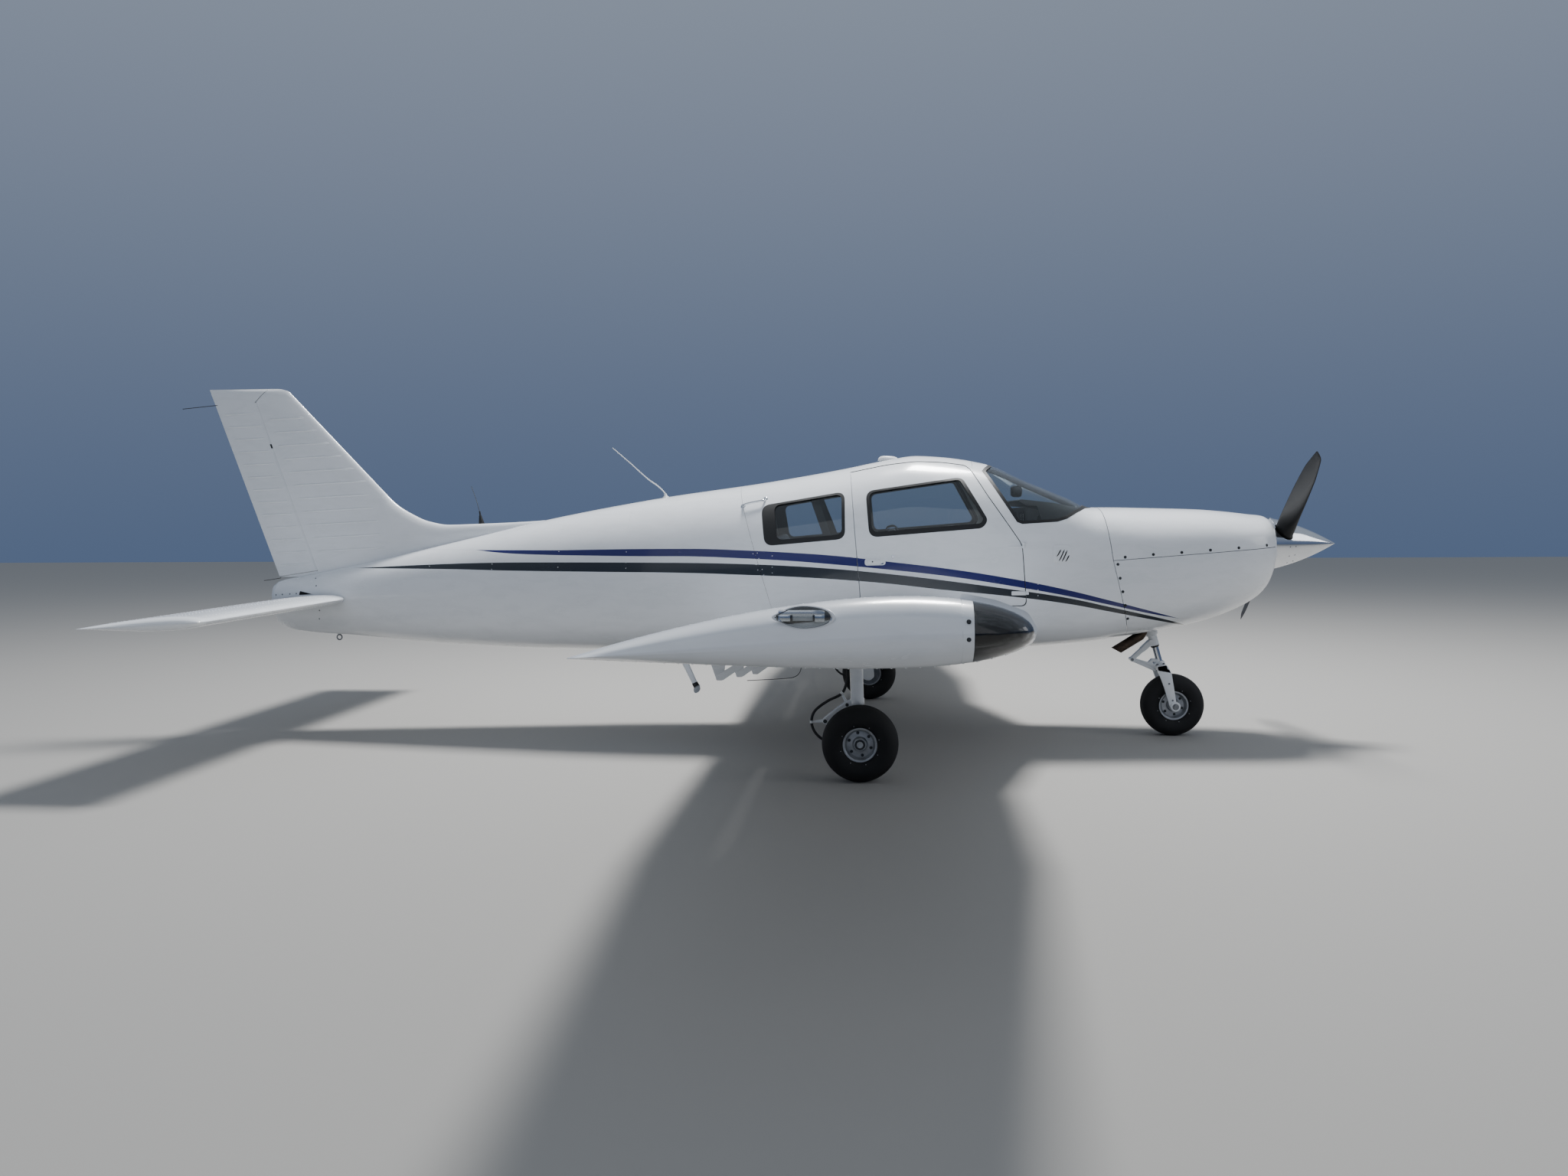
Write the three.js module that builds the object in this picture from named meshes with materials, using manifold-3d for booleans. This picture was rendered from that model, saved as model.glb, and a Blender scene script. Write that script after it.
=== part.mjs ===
// Low-wing single-engine training aeroplane on fixed tricycle landing gear.
// Units are millimetres. X points to the nose, Y to the left wing and Z up.
// The origin is on the ground, under the middle of the aeroplane's box.
// Tables are read row by row, and the comment over each one names its columns.
import * as THREE from "three";
import { mergeVertices } from "three/addons/utils/BufferGeometryUtils.js";
import Module from "manifold-3d";

const wasm = await Module();
wasm.setup();

// Driving dimensions
const TOUCH = 0.3; // gap between pieces that rest on each other
const SWING = 6; // gap round pieces that move
const CABIN_WALL = 28;
const COWL_WALL = 10;
const CONE_WALL = 14;
const FLOOR_TOP = 668;
const FIREWALL_X = 2130; // cabin side of the firewall
const FAR = 6000;

// Each axle is one tyre radius above the ground, and the nose tyre is the smaller one
const MAIN_AXLE = { x: 715, y: 1525, z: 205 };
const NOSE_AXLE = { x: 2672, z: 196 };
const TYRE = { bead: 89.8, halfWidth: 80 };
const WHEEL_SIDES = 20;
const PROP = { x: 3310, z: 1221, restDegrees: 57 };
const HUB = { back: 3260, front: 3350, radius: 78 };
const SPINNER = { back: 3256, tip: 3667, radius: 165 };
const RUDDER_TIP_X = -3667;

// Fuselage sections: X, crown Z, keel Z, half width, Z of the widest line,
// power of the upper superellipse, power of the lower one
const HULL = [
  [3246, 1332, 1100, 236, 1216, 2.1, 2.1],
  [3236, 1360, 1050, 280, 1210, 2.1, 2.1],
  [3218, 1386, 996, 324, 1202, 2.2, 2.2],
  [3190, 1399, 936, 368, 1192, 2.3, 2.4],
  [3110, 1408, 866, 430, 1172, 2.5, 2.6],
  [2980, 1424, 802, 474, 1145, 2.7, 2.8],
  [2790, 1440, 738, 504, 1110, 2.9, 3.0],
  [2500, 1450, 680, 525, 1070, 3.0, 3.3],
  [2265, 1456, 642, 538, 1040, 3.3, 3.5],
  [2126, 1457, 622, 545, 1020, 3.8, 3.7],
  [1979, 1521, 608, 553, 1010, 3.8, 3.8],
  [1741, 1624, 592, 562, 1000, 3.3, 4.0],
  [1472, 1738, 582, 566, 1000, 2.8, 4.0],
  [1209, 1783, 575, 566, 1000, 2.6, 4.0],
  [1040, 1793, 571, 565, 1000, 2.6, 4.0],
  [860, 1768, 568, 563, 1000, 2.6, 4.0],
  [560, 1710, 563, 558, 1000, 2.5, 3.9],
  [72, 1630, 560, 540, 990, 2.4, 3.7],
  [-583, 1541, 557, 500, 975, 2.3, 3.4],
  [-1274, 1420, 560, 400, 950, 2.2, 3.0],
  [-1957, 1268, 583, 296, 920, 2.2, 2.7],
  [-2664, 1116, 637, 186, 890, 2.2, 2.5],
  [-3080, 1030, 668, 118, 880, 2.2, 2.4],
  [-3215, 1000, 715, 82, 880, 2.2, 2.3],
  [-3256, 972, 790, 46, 885, 2.0, 2.0],
];
const RING_POINTS = 20;

// Seams between the fuselage's panels, as X and Z in side view
const SEAM = {
  cowlSplitRear: [2208, 1138],
  cowlSplitSlope: 0.073,
  cowlTopLean: -0.15,
  cowlLowLean: 0.24,
  coneTop: [-45, 1520],
  coneLean: -0.3016,
};

// Cabin glass and door outlines, as X and Z in side view
const WINDSHIELD = [
  [1506, 1900], [1504, 1736], [1463, 1709], [1441, 1686], [1637, 1372], [1668, 1360], [1878, 1372],
  [1936, 1389], [1998, 1424], [2063, 1451], [2122, 1455], [2136, 1475], [2136, 1900],
];
const WINDOW_FRONT = [[728, 1566], [752, 1284], [1432, 1336], [1466, 1384], [1322, 1636], [1285, 1644]];
const WINDOW_REAR = [[82, 1482], [112, 1234], [606, 1276], [600, 1566]];
const WINDOW_CORNER = 56;
const DOOR = [
  [600, 872], [1690, 872], [1664, 1235], [1464, 1532], [1372, 1690], [1340, 1721],
  [1200, 1741], [1040, 1748], [860, 1729], [600, 1678],
];
const DOOR_REAR = { bottom: [703, 872], top: [634, 1700] };
const DOOR_BEVEL = 0.42;
const DOOR_HINGE = { lower: [1696, 952], upper: [1673, 1222], proud: 9, radius: 8, length: 34 };

// Wing: its edges at the root, their rise per mm of span, and the tip; camber is a part of the chord
const WING_ROOT_Y = 560;
const GLOVE = { outerY: 1450, slope: 0.264 };
const WING_EDGE = {
  leadX: 1510, trailX: -90, leadZ: 690, trailZ: 570, leadRise: 0.0985, trailRise: 0.1103,
};
const WING_TIP = { y: 5290, leadX: 1214, trailX: 96, thickness: 172 };
const WING_BREAK_Y = 2700;
const WING_THICKNESS = 240;
const WING_CAMBER = 0.02;
// Rounded tip: |Y|, leading edge set back, trailing edge set back, share of thickness left
const TIP_RINGS = [
  [5290, 0, 0, 1], [5340, 6, 4, 0.9], [5376, 28, 16, 0.66], [5393, 56, 34, 0.4], [5398, 72, 46, 0.25],
];
const LENS = { backX: 1068, innerY: 5302 };
const NAV_LIGHT = { x: 673, z: 1200, length: 148, height: 52, reachY: 5410, depth: 40 };

const FLAP = {
  innerY: 640, outerY: 2650, frontX: 176, pivotX: 90, pivotDrop: 92,
  brackets: [900, 1700, 2480], plate: 8, bracketGap: 10, pin: 6,
};
const AILERON = { innerY: 2700, outerY: 4950, chord: 250, pin: 5, pinGap: 0.6 };

// Fin and rudder, as X and Z in side view
const FIN_LEAD = { x: -2468, z: 1582, slope: -0.947 };
const RUDDER_HINGE = { x: -2955, z: 1070, slope: -0.347 };
const FIN_TOP = 2285;
const RUDDER_TRAIL = { x: -3218, z: 1027, slope: (RUDDER_TIP_X + 3218) / (FIN_TOP - 1027) };
const FIN_ROOT = 1000;
const FIN_THICKNESS = { root: 106, top: 50 };
const HORN = { neck: [-3346, 2196], tip: [-3259, 2281] };
const RUDDER_BOTTOM = { front: 1076, rear: 1034 };
const RUDDER_PIN = { radius: 5, gap: 0.8 };
// Rounded front corner of the fin's top, cut off it
const FIN_CORNER = [
  [-3060, 2212], [-3084, 2240], [-3112, 2262], [-3160, 2280], [-3200, 2286], [-3200, 2330], [-2990, 2330],
  [-3030, 2180],
];
// Dorsal fairing: X, crest Z, half width where it meets the tail cone
const DORSAL = [
  [-1192, 1418, 14], [-1454, 1393, 30], [-1869, 1376, 44], [-2042, 1372, 50],
  [-2181, 1396, 54], [-2294, 1446, 56], [-2388, 1505, 56], [-2480, 1592, 54],
];

const STAB = {
  leadX: -2695, leadZ: 889.7, trailX: -3393, trailZ: 853, halfSpan: 1955, thickness: 74, pivotPart: 0.2378,
};
const TORQUE_TUBE = 30;
const TAB = { frontX: -3282, halfSpan: 1290 };

const NOSE_AXIS = { top: [2458, 940], lean: 0.2835 };
const NOSE_FORK_Y = 92;
const MAIN_LEG_Y = 1395;
// Brake hose: X, distance outside the leg's middle, Z, from the wing down to the brake
const HOSE_ROUTE = [
  [640, 0, 640], [644, 0, 583], [640, 0, 520], [612, 0, 454], [535, 2, 413], [466, 4, 359],
  [448, 6, 300], [466, 9, 244], [510, 10, 204], [570, 10, 192], [628, 8, 214],
];
const HOSE_CLAMP = [462, 299];

// Materials
const paint = (color, roughness, metalness) =>
  new THREE.MeshStandardMaterial({ color, roughness, metalness });
const MATERIAL = {
  white: paint(0xeff1f3, 0.28, 0.05),
  glass: paint(0x5d666b, 0.08, 0.0),
  lens: paint(0x20262d, 0.1, 0.0),
  clear: paint(0xd6dade, 0.12, 0.1),
  black: paint(0x17181a, 0.55, 0.0),
  rubber: paint(0x1c1d1f, 0.85, 0.0),
  chrome: paint(0xc9ccd0, 0.12, 1.0),
  alloy: paint(0xb9bdc2, 0.4, 0.8),
  iron: paint(0x6c6f72, 0.7, 0.5),
  leather: paint(0x4a4744, 0.6, 0.0),
  carpet: paint(0x55585c, 0.95, 0.0),
  burnt: paint(0x6a625b, 0.55, 0.8),
};

// Shape helpers
const lerp = (a, b, t) => a + (b - a) * t;
const power = (value, n) => Math.sign(value) * Math.abs(value) ** (2 / n);

function signedVolume(points, triangles) {
  let total = 0;
  for (let i = 0; i < triangles.length; i += 3) {
    const [a, b, c] = [0, 1, 2].map((k) => points.slice(triangles[i + k] * 3, triangles[i + k] * 3 + 3));
    total += a[0] * (b[1] * c[2] - b[2] * c[1]);
    total += a[1] * (b[2] * c[0] - b[0] * c[2]);
    total += a[2] * (b[0] * c[1] - b[1] * c[0]);
  }
  return total;
}

// Turns a closed geometry into a solid, facing out whichever way it was wound
function solidOf(geometry) {
  const plain = geometry.clone();
  for (const name of Object.keys(plain.attributes)) {
    if (name !== "position") plain.deleteAttribute(name);
  }
  const merged = mergeVertices(plain, 0.002);
  const vertProperties = new Float32Array(merged.attributes.position.array);
  const triVerts = new Uint32Array(merged.index.array);
  if (signedVolume(vertProperties, triVerts) < 0) {
    for (let i = 0; i < triVerts.length; i += 3) {
      [triVerts[i + 1], triVerts[i + 2]] = [triVerts[i + 2], triVerts[i + 1]];
    }
  }
  return new wasm.Manifold(new wasm.Mesh({ numProp: 3, vertProperties, triVerts }));
}

function geometryOf(solid) {
  const mesh = solid.getMesh();
  const geometry = new THREE.BufferGeometry();
  geometry.setAttribute("position", new THREE.BufferAttribute(new Float32Array(mesh.vertProperties), 3));
  geometry.setIndex(new THREE.BufferAttribute(new Uint32Array(mesh.triVerts), 1));
  return geometry;
}

const join = (...solids) => solids.reduce((whole, next) => whole.add(next));
const cut = (solid, ...tools) => tools.reduce((whole, next) => whole.subtract(next), solid);

// Skin through rings with the same number of points, closed at both ends
function loft(rings) {
  const count = rings[0].length;
  const points = rings.flat();
  const triangles = [];
  for (let r = 0; r + 1 < rings.length; r += 1) {
    for (let k = 0; k < count; k += 1) {
      const next = (k + 1) % count;
      const [a, b, c, d] = [r * count + k, r * count + next, (r + 1) * count + next, (r + 1) * count + k];
      triangles.push(a, b, c, a, c, d);
    }
  }
  for (const [ring, first] of [[rings[0], 0], [rings.at(-1), (rings.length - 1) * count]]) {
    const middle = [0, 1, 2].map((axis) => ring.reduce((sum, point) => sum + point[axis], 0) / count);
    points.push(middle);
    for (let k = 0; k < count; k += 1) {
      const edge = [first + k, first + ((k + 1) % count)];
      if (first === 0) edge.reverse();
      triangles.push(points.length - 1, ...edge);
    }
  }
  const geometry = new THREE.BufferGeometry();
  geometry.setAttribute("position", new THREE.BufferAttribute(new Float32Array(points.flat()), 3));
  geometry.setIndex(triangles);
  return solidOf(geometry);
}

function shapeOf(outline, radius = 0) {
  const shape = new THREE.Shape();
  outline.forEach(([x, y], i) => {
    const corner = new THREE.Vector2(x, y);
    const before = new THREE.Vector2(...outline[(i + outline.length - 1) % outline.length]);
    const after = new THREE.Vector2(...outline[(i + 1) % outline.length]);
    const reach = Math.min(radius, corner.distanceTo(before) / 2.2, corner.distanceTo(after) / 2.2);
    const start = corner.clone().add(before.sub(corner).setLength(reach));
    const end = corner.clone().add(after.sub(corner).setLength(reach));
    if (i === 0) shape.moveTo(start.x, start.y);
    else shape.lineTo(start.x, start.y);
    if (radius > 0) shape.quadraticCurveTo(x, y, end.x, end.y);
  });
  return shape;
}

// Prisms named for the axis that they run along, from one place on it to another
function prismY(outline, from, to, radius = 0) {
  const depth = Math.abs(to - from);
  const settings = { depth, bevelEnabled: false, curveSegments: 2 };
  const geometry = new THREE.ExtrudeGeometry(shapeOf(outline, radius), settings);
  geometry.rotateX(Math.PI / 2);
  geometry.translate(0, Math.max(from, to), 0);
  return solidOf(geometry);
}

function prismZ(outline, from, to) {
  const depth = to - from;
  const geometry = new THREE.ExtrudeGeometry(shapeOf(outline), { depth, bevelEnabled: false });
  geometry.translate(0, 0, from);
  return solidOf(geometry);
}

const slabY = (from, to) => box([-FAR, Math.min(from, to), -FAR], [FAR, Math.max(from, to), FAR]);

function box(low, high) {
  const size = high.map((value, i) => value - low[i]);
  const geometry = new THREE.BoxGeometry(...size);
  geometry.translate(...low.map((value, i) => value + size[i] / 2));
  return solidOf(geometry);
}

function rod(from, to, radius, endRadius = radius, sides = 16) {
  const start = new THREE.Vector3(...from);
  const end = new THREE.Vector3(...to);
  const way = end.clone().sub(start);
  const geometry = new THREE.CylinderGeometry(endRadius, radius, way.length(), sides);
  const upright = new THREE.Vector3(0, 1, 0);
  geometry.applyQuaternion(new THREE.Quaternion().setFromUnitVectors(upright, way.clone().normalize()));
  geometry.translate(...start.add(end).multiplyScalar(0.5).toArray());
  return solidOf(geometry);
}

function tube(route, radius, sides = 10, steps = 24) {
  const curve = new THREE.CatmullRomCurve3(route.map((point) => new THREE.Vector3(...point)));
  const circle = new THREE.Shape();
  for (let k = 0; k < sides; k += 1) {
    const angle = (2 * Math.PI * k) / sides;
    const point = [radius * Math.cos(angle), radius * Math.sin(angle)];
    if (k === 0) circle.moveTo(...point);
    else circle.lineTo(...point);
  }
  return solidOf(new THREE.ExtrudeGeometry(circle, { steps, extrudePath: curve, bevelEnabled: false }));
}

// Turned solid about an axis along Y through (x, z), from radius and Y pairs
function turned(profile, x, y, z, sides) {
  const points = profile.map(([radius, along]) => new THREE.Vector2(radius, along));
  points.push(points[0].clone());
  const geometry = new THREE.LatheGeometry(points, sides, Math.PI / sides);
  geometry.translate(x, y, z);
  return solidOf(geometry);
}

// Grows a convex outline by a distance, or shrinks it by a negative one
function grown(outline, distance) {
  const area = outline.reduce((sum, [x, y], i) => {
    const [nextX, nextY] = outline[(i + 1) % outline.length];
    return sum + x * nextY - nextX * y;
  }, 0);
  const side = Math.sign(area) * distance;
  const count = outline.length;
  const edges = outline.map(([x, y], i) => {
    const [nextX, nextY] = outline[(i + 1) % count];
    const length = Math.hypot(nextX - x, nextY - y);
    return { normal: [(nextY - y) / length, -(nextX - x) / length], point: [x, y] };
  });
  return outline.map((point, i) => {
    const [a, b] = [edges[(i + count - 1) % count], edges[i]];
    const sharp = 1 + a.normal[0] * b.normal[0] + a.normal[1] * b.normal[1];
    return [0, 1].map((axis) => point[axis] + (side * (a.normal[axis] + b.normal[axis])) / sharp);
  });
}

// Fuselage form
function hullAt(x) {
  const last = HULL.length - 1;
  let row = 0;
  while (row < last - 1 && HULL[row + 1][0] > x) row += 1;
  const [front, rear] = [HULL[row], HULL[row + 1]];
  const part = THREE.MathUtils.clamp((front[0] - x) / (front[0] - rear[0]), 0, 1);
  const [, crown, keel, half, wide, upper, lower] = front.map((value, i) => lerp(value, rear[i], part));
  return { crown, keel, half, wide, upper, lower };
}

function hullSide(x, z) {
  const { crown, keel, half, wide, upper, lower } = hullAt(x);
  const [reach, n] = z > wide ? [crown - wide, upper] : [wide - keel, lower];
  const part = Math.min(Math.abs(z - wide) / reach, 1);
  return half * (1 - part ** n) ** (1 / n);
}

function hullRing(x, inset) {
  const { crown, keel, half, wide, upper, lower } = hullAt(x);
  return Array.from({ length: RING_POINTS }, (_, k) => {
    const angle = (2 * Math.PI * k) / RING_POINTS;
    const [sine, cosine] = [Math.sin(angle), Math.cos(angle)];
    const [reach, n] = sine > 0 ? [crown - wide - inset, upper] : [wide - keel - inset, lower];
    return [x, (half - inset) * power(cosine, n), wide + reach * power(sine, n)];
  });
}

function hullSolid(inset, front = HULL[0][0], rear = HULL.at(-1)[0]) {
  const between = HULL.map(([x]) => x).filter((x) => x < front - 4 && x > rear + 4);
  return loft([front, ...between, rear].map((x) => hullRing(x, inset)));
}

const splitZ = (x) => SEAM.cowlSplitRear[1] + (x - SEAM.cowlSplitRear[0]) * SEAM.cowlSplitSlope;
const coneSeamX = (z) => SEAM.coneTop[0] + (z - SEAM.coneTop[1]) * SEAM.coneLean;
const cowlSeamX = (z) => {
  const rise = z - SEAM.cowlSplitRear[1];
  return SEAM.cowlSplitRear[0] + (rise > 0 ? rise * SEAM.cowlTopLean : -rise * SEAM.cowlLowLean);
};

const TOP = 2000;
const LOW = 300;
const hull = hullSolid(0);
const hullSkin = hullSolid(-TOUCH, HULL[0][0] + TOUCH, HULL.at(-1)[0] - TOUCH);
const [splitX, splitRearZ] = SEAM.cowlSplitRear;

const cowlUpperRegion = prismY(
  [[splitX, splitRearZ], [cowlSeamX(TOP), TOP], [FAR, TOP], [FAR, splitZ(FAR)]], -FAR, FAR);
const cowlLowerRegion = prismY(
  [[splitX, splitRearZ - TOUCH], [FAR, splitZ(FAR) - TOUCH], [FAR, LOW], [cowlSeamX(LOW), LOW]], -FAR, FAR);
const cabinRegion = prismY(
  [[cowlSeamX(TOP) - TOUCH, TOP], [splitX - TOUCH, splitRearZ], [cowlSeamX(LOW) - TOUCH, LOW],
    [coneSeamX(LOW), LOW], [coneSeamX(TOP), TOP]], -FAR, FAR);
const coneRegion = prismY(
  [[coneSeamX(LOW) - TOUCH, LOW], [-FAR, LOW], [-FAR, TOP], [coneSeamX(TOP) - TOUCH, TOP]], -FAR, FAR);

// Door opening: its rear edge flares outwards, so that the door swings clear of the post behind it
function doorRegion(gap) {
  const front = prismY(grown(DOOR, gap), -FAR, -120, 36);
  const { bottom, top } = DOOR_REAR;
  const rings = [700, 872, 1000, 1120, 1240, 1360, 1460, 1560, 1640, 1712, 1850].map((z) => {
    const edgeX = lerp(bottom[0], top[0], (z - bottom[1]) / (top[1] - bottom[1])) - gap;
    const edgeY = -hullSide(edgeX, Math.min(z, top[1]));
    const [outer, inner] = [-900, -60];
    const backX = (y) => edgeX + DOOR_BEVEL * (y - edgeY);
    return [[backX(outer), outer, z], [2600, outer, z], [2600, inner, z], [backX(inner), inner, z]];
  });
  return front.intersect(loft(rings));
}

const hingePoint = ([x, z]) => new THREE.Vector3(x, -hullSide(x, z) - DOOR_HINGE.proud, z);
const hingeLow = hingePoint(DOOR_HINGE.lower);
const hingeHigh = hingePoint(DOOR_HINGE.upper);
const hingeWay = hingeHigh.clone().sub(hingeLow).normalize();

// One knuckle of a door hinge and the leaf that ties it to the skin
function hingeKnuckle(centre, shift, leafWay) {
  const middle = centre.clone().addScaledVector(hingeWay, shift);
  const half = DOOR_HINGE.length / 2;
  const ends = [-half, half].map((along) => middle.clone().addScaledVector(hingeWay, along).toArray());
  const leaf = (reach, depth) => {
    const [near, far] = [middle.x + Math.sign(leafWay) * reach, middle.x + leafWay];
    const [lowZ, highZ] = [middle.z - half + 2, middle.z + half - 2];
    return box([Math.min(near, far), middle.y - 3, lowZ], [Math.max(near, far), middle.y + depth, highZ]);
  };
  const barrel = rod(...ends, DOOR_HINGE.radius, DOOR_HINGE.radius, 12);
  return join(barrel, leaf(0, DOOR_HINGE.proud - 0.6), leaf(16, 24));
}

const knuckleStep = DOOR_HINGE.length + 2 * TOUCH;
const doorKnuckles = [hingeLow, hingeHigh].map((point) => hingeKnuckle(point, 0, -44));
const bodyKnuckles = [hingeLow, hingeHigh].map((point) => hingeKnuckle(point, knuckleStep, 34));

const windshieldPrism = prismY(WINDSHIELD, -FAR, FAR);
const sidePrism = (outline, side, shrink) =>
  prismY(grown(outline, shrink), side * 200, side * FAR, WINDOW_CORNER);

function fuselageCabin() {
  const shell = cut(hull.intersect(cabinRegion), hullSolid(CABIN_WALL, FIREWALL_X, -800), windshieldPrism);
  const holes = [
    sidePrism(WINDOW_FRONT, 1, 0), sidePrism(WINDOW_REAR, 1, 0), sidePrism(WINDOW_REAR, -1, 0),
    doorRegion(SWING),
  ];
  return join(cut(shell, ...holes), ...bodyKnuckles);
}

function cabinDoor() {
  const wall = cut(hull, hullSolid(CABIN_WALL));
  const panel = cut(wall.intersect(doorRegion(0)), sidePrism(WINDOW_FRONT, -1, 0));
  return join(panel, ...doorKnuckles);
}

const glassLayer = cut(hullSolid(7), hullSolid(13));

// Wing form
const gloveX = (y) => WING_EDGE.leadX + Math.max(0, GLOVE.outerY - y) * GLOVE.slope;

function wingChord(y) {
  const part = THREE.MathUtils.clamp((y - WING_BREAK_Y) / (WING_TIP.y - WING_BREAK_Y), 0, 1);
  const baseX = lerp(WING_EDGE.leadX, WING_TIP.leadX, part);
  const trailX = lerp(WING_EDGE.trailX, WING_TIP.trailX, part);
  const baseZ = WING_EDGE.leadZ + WING_EDGE.leadRise * (y - WING_ROOT_Y);
  const trailZ = WING_EDGE.trailZ + WING_EDGE.trailRise * (y - WING_ROOT_Y);
  const leadX = y < GLOVE.outerY ? gloveX(y) : baseX;
  const leadZ = baseZ + ((baseZ - trailZ) / (baseX - trailX)) * (leadX - baseX);
  const thickness = lerp(WING_THICKNESS, WING_TIP.thickness, part);
  return { leadX, leadZ, trailX, trailZ, thickness };
}

// Half thickness and camber of a smooth section, as parts of its thickness and chord
function halfThickness(f) {
  const open = 0.2969 * Math.sqrt(f) - 0.126 * f - 0.3516 * f ** 2 + 0.2843 * f ** 3 - 0.1036 * f ** 4;
  return 5 * open + 0.008 * f;
}
const camberOf = (f) => 4 * WING_CAMBER * f * (1 - f);
const SECTION = [1, 0.84, 0.66, 0.48, 0.3, 0.16, 0.07, 0.02, 0.004];

// Closed ring of chord fractions and heights: over the top to the leading edge, then back below
function sectionRing(thickness, chord, camber) {
  const height = (f, up) => up * thickness * halfThickness(f) + chord * camber * camberOf(f);
  const upper = SECTION.map((f) => [f, height(f, 1)]);
  const lower = SECTION.map((f) => [f, height(f, -1)]).reverse();
  return [...upper, [0, 0], ...lower];
}

function wingRing(y, side, { frontSet = 0, backSet = 0, share = 1 } = {}) {
  const { leadX, leadZ, trailX, trailZ, thickness } = wingChord(Math.min(y, WING_TIP.y));
  const over = Math.max(0, y - WING_TIP.y);
  const chord = leadX - trailX;
  const zAt = (x) => leadZ + ((trailZ - leadZ) * (leadX - x)) / chord + over * WING_EDGE.leadRise;
  const [from, to] = [leadX - frontSet, trailX + backSet];
  return sectionRing(thickness * share, chord, share).map(([f, height]) => {
    const x = lerp(from, to, f);
    return [x, side * y, zAt(x) + height];
  });
}

function wingSurface(y, x, up) {
  const { leadX, leadZ, trailX, trailZ, thickness } = wingChord(y);
  const f = (leadX - x) / (leadX - trailX);
  return lerp(leadZ, trailZ, f) + camberOf(f) * (leadX - trailX) + up * thickness * halfThickness(f);
}

const wingBlank = (side) => cut(
  loft([330, 900, GLOVE.outerY, WING_BREAK_Y, WING_TIP.y - TOUCH].map((y) => wingRing(y, side))), hullSkin);
const tipBlank = (side) => loft(
  TIP_RINGS.map(([y, frontSet, backSet, share]) => wingRing(y, side, { frontSet, backSet, share })));

// Flap with its pivots hung below the wing
const flapLine = [GLOVE.outerY, WING_BREAK_Y].map((y) => wingSurface(y, FLAP.pivotX, -1) - FLAP.pivotDrop);
const flapPivotZ = (y) => lerp(...flapLine, (y - GLOVE.outerY) / (WING_BREAK_Y - GLOVE.outerY));
const flapPin = (side, from, to, radius) => rod(
  ...[from, to].map((y) => [FLAP.pivotX, side * y, flapPivotZ(y)]), radius, radius, 10);
const flapRegion = (side, frontX, innerY, outerY) => prismZ(
  [[-500, side * innerY], [frontX, side * innerY], [frontX, side * outerY], [-500, side * outerY]], 0, TOP);

// Hanger on the flap, with a hole for the wing bracket's pin beside it
function flapHanger(side, y) {
  const { pivotX } = FLAP;
  const pivotZ = flapPivotZ(y);
  const [front, rear] = [pivotX + 34, pivotX - 58];
  const plate = prismY([
    [pivotX - 15, pivotZ - 14], [pivotX + 15, pivotZ - 14],
    [front, wingSurface(y, front, -1) + 30], [rear, wingSurface(y, rear, -1) + 30],
  ], side * y, side * (y + FLAP.plate));
  return cut(plate, flapPin(side, y - 20, y + 30, FLAP.pin / Math.cos(Math.PI / 10) + TOUCH));
}

function flapBracket(side, y) {
  const { pivotX, plate, bracketGap } = FLAP;
  const pivotZ = flapPivotZ(y);
  const skin = (x) => wingSurface(y, x, -1);
  const [rear, front] = [FLAP.frontX + 14, pivotX + 190];
  const from = y + plate + bracketGap;
  const arm = prismY([
    [pivotX - 15, pivotZ + 12], [pivotX - 15, pivotZ - 12], [pivotX + 15, pivotZ - 12],
    [front, skin(front) + 40], [rear, skin(rear) + 40], [rear, skin(rear) - 10],
  ], side * from, side * (from + plate));
  return join(arm, flapPin(side, y - 4, from + 2, FLAP.pin));
}

// Aileron hinge line and the section's half thickness on it
function aileronHinge(y) {
  const { trailX } = wingChord(y);
  const x = trailX + AILERON.chord - 26;
  const [upper, lower] = [wingSurface(y, x, 1), wingSurface(y, x, -1)];
  return { x, z: (upper + lower) / 2, radius: (upper - lower) / 2 - 1.5 };
}

const aileronPoint = (y, side) => [aileronHinge(y).x, side * y, aileronHinge(y).z];

// Space of the aileron with a gap all round, wider at its two ends
function aileronRegion(side, gap, endGap = gap) {
  const [innerY, outerY] = [AILERON.innerY - endGap, AILERON.outerY + endGap];
  const [inner, outer] = [aileronHinge(innerY), aileronHinge(outerY)];
  const aft = prismZ([
    [-500, side * innerY], [inner.x, side * innerY], [outer.x, side * outerY], [-500, side * outerY],
  ], 0, TOP);
  const span = [innerY - 8, outerY + 8].map((y) => aileronPoint(y, side));
  const nose = rod(...span, inner.radius + gap, outer.radius + gap, 20);
  return join(aft, nose.intersect(slabY(side * innerY, side * outerY)));
}

// Short pins on the aileron's hinge line, one at each end
function aileronPins(side) {
  const { innerY, outerY, pin, pinGap } = AILERON;
  const clear = slabY(side * (innerY - pinGap), side * (outerY + pinGap));
  const reach = 2 * SWING + 3;
  return [innerY, outerY].map((y) => cut(
    rod(aileronPoint(y - reach, side), aileronPoint(y + reach, side), pin, pin, 12), clear));
}

function wing(side) {
  const blank = wingBlank(side);
  const flapHole = flapRegion(side, FLAP.frontX + 10, FLAP.innerY - SWING, FLAP.outerY + 10);
  const fixed = FLAP.brackets.map((y) => flapBracket(side, y));
  return join(cut(blank, flapHole, aileronRegion(side, SWING, 2 * SWING)), ...fixed, ...aileronPins(side));
}

function flap(side) {
  const panel = wingBlank(side).intersect(flapRegion(side, FLAP.frontX, FLAP.innerY, FLAP.outerY));
  return join(panel, ...FLAP.brackets.map((y) => flapHanger(side, y)));
}

const aileron = (side) => wingBlank(side).intersect(aileronRegion(side, 0));

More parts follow.
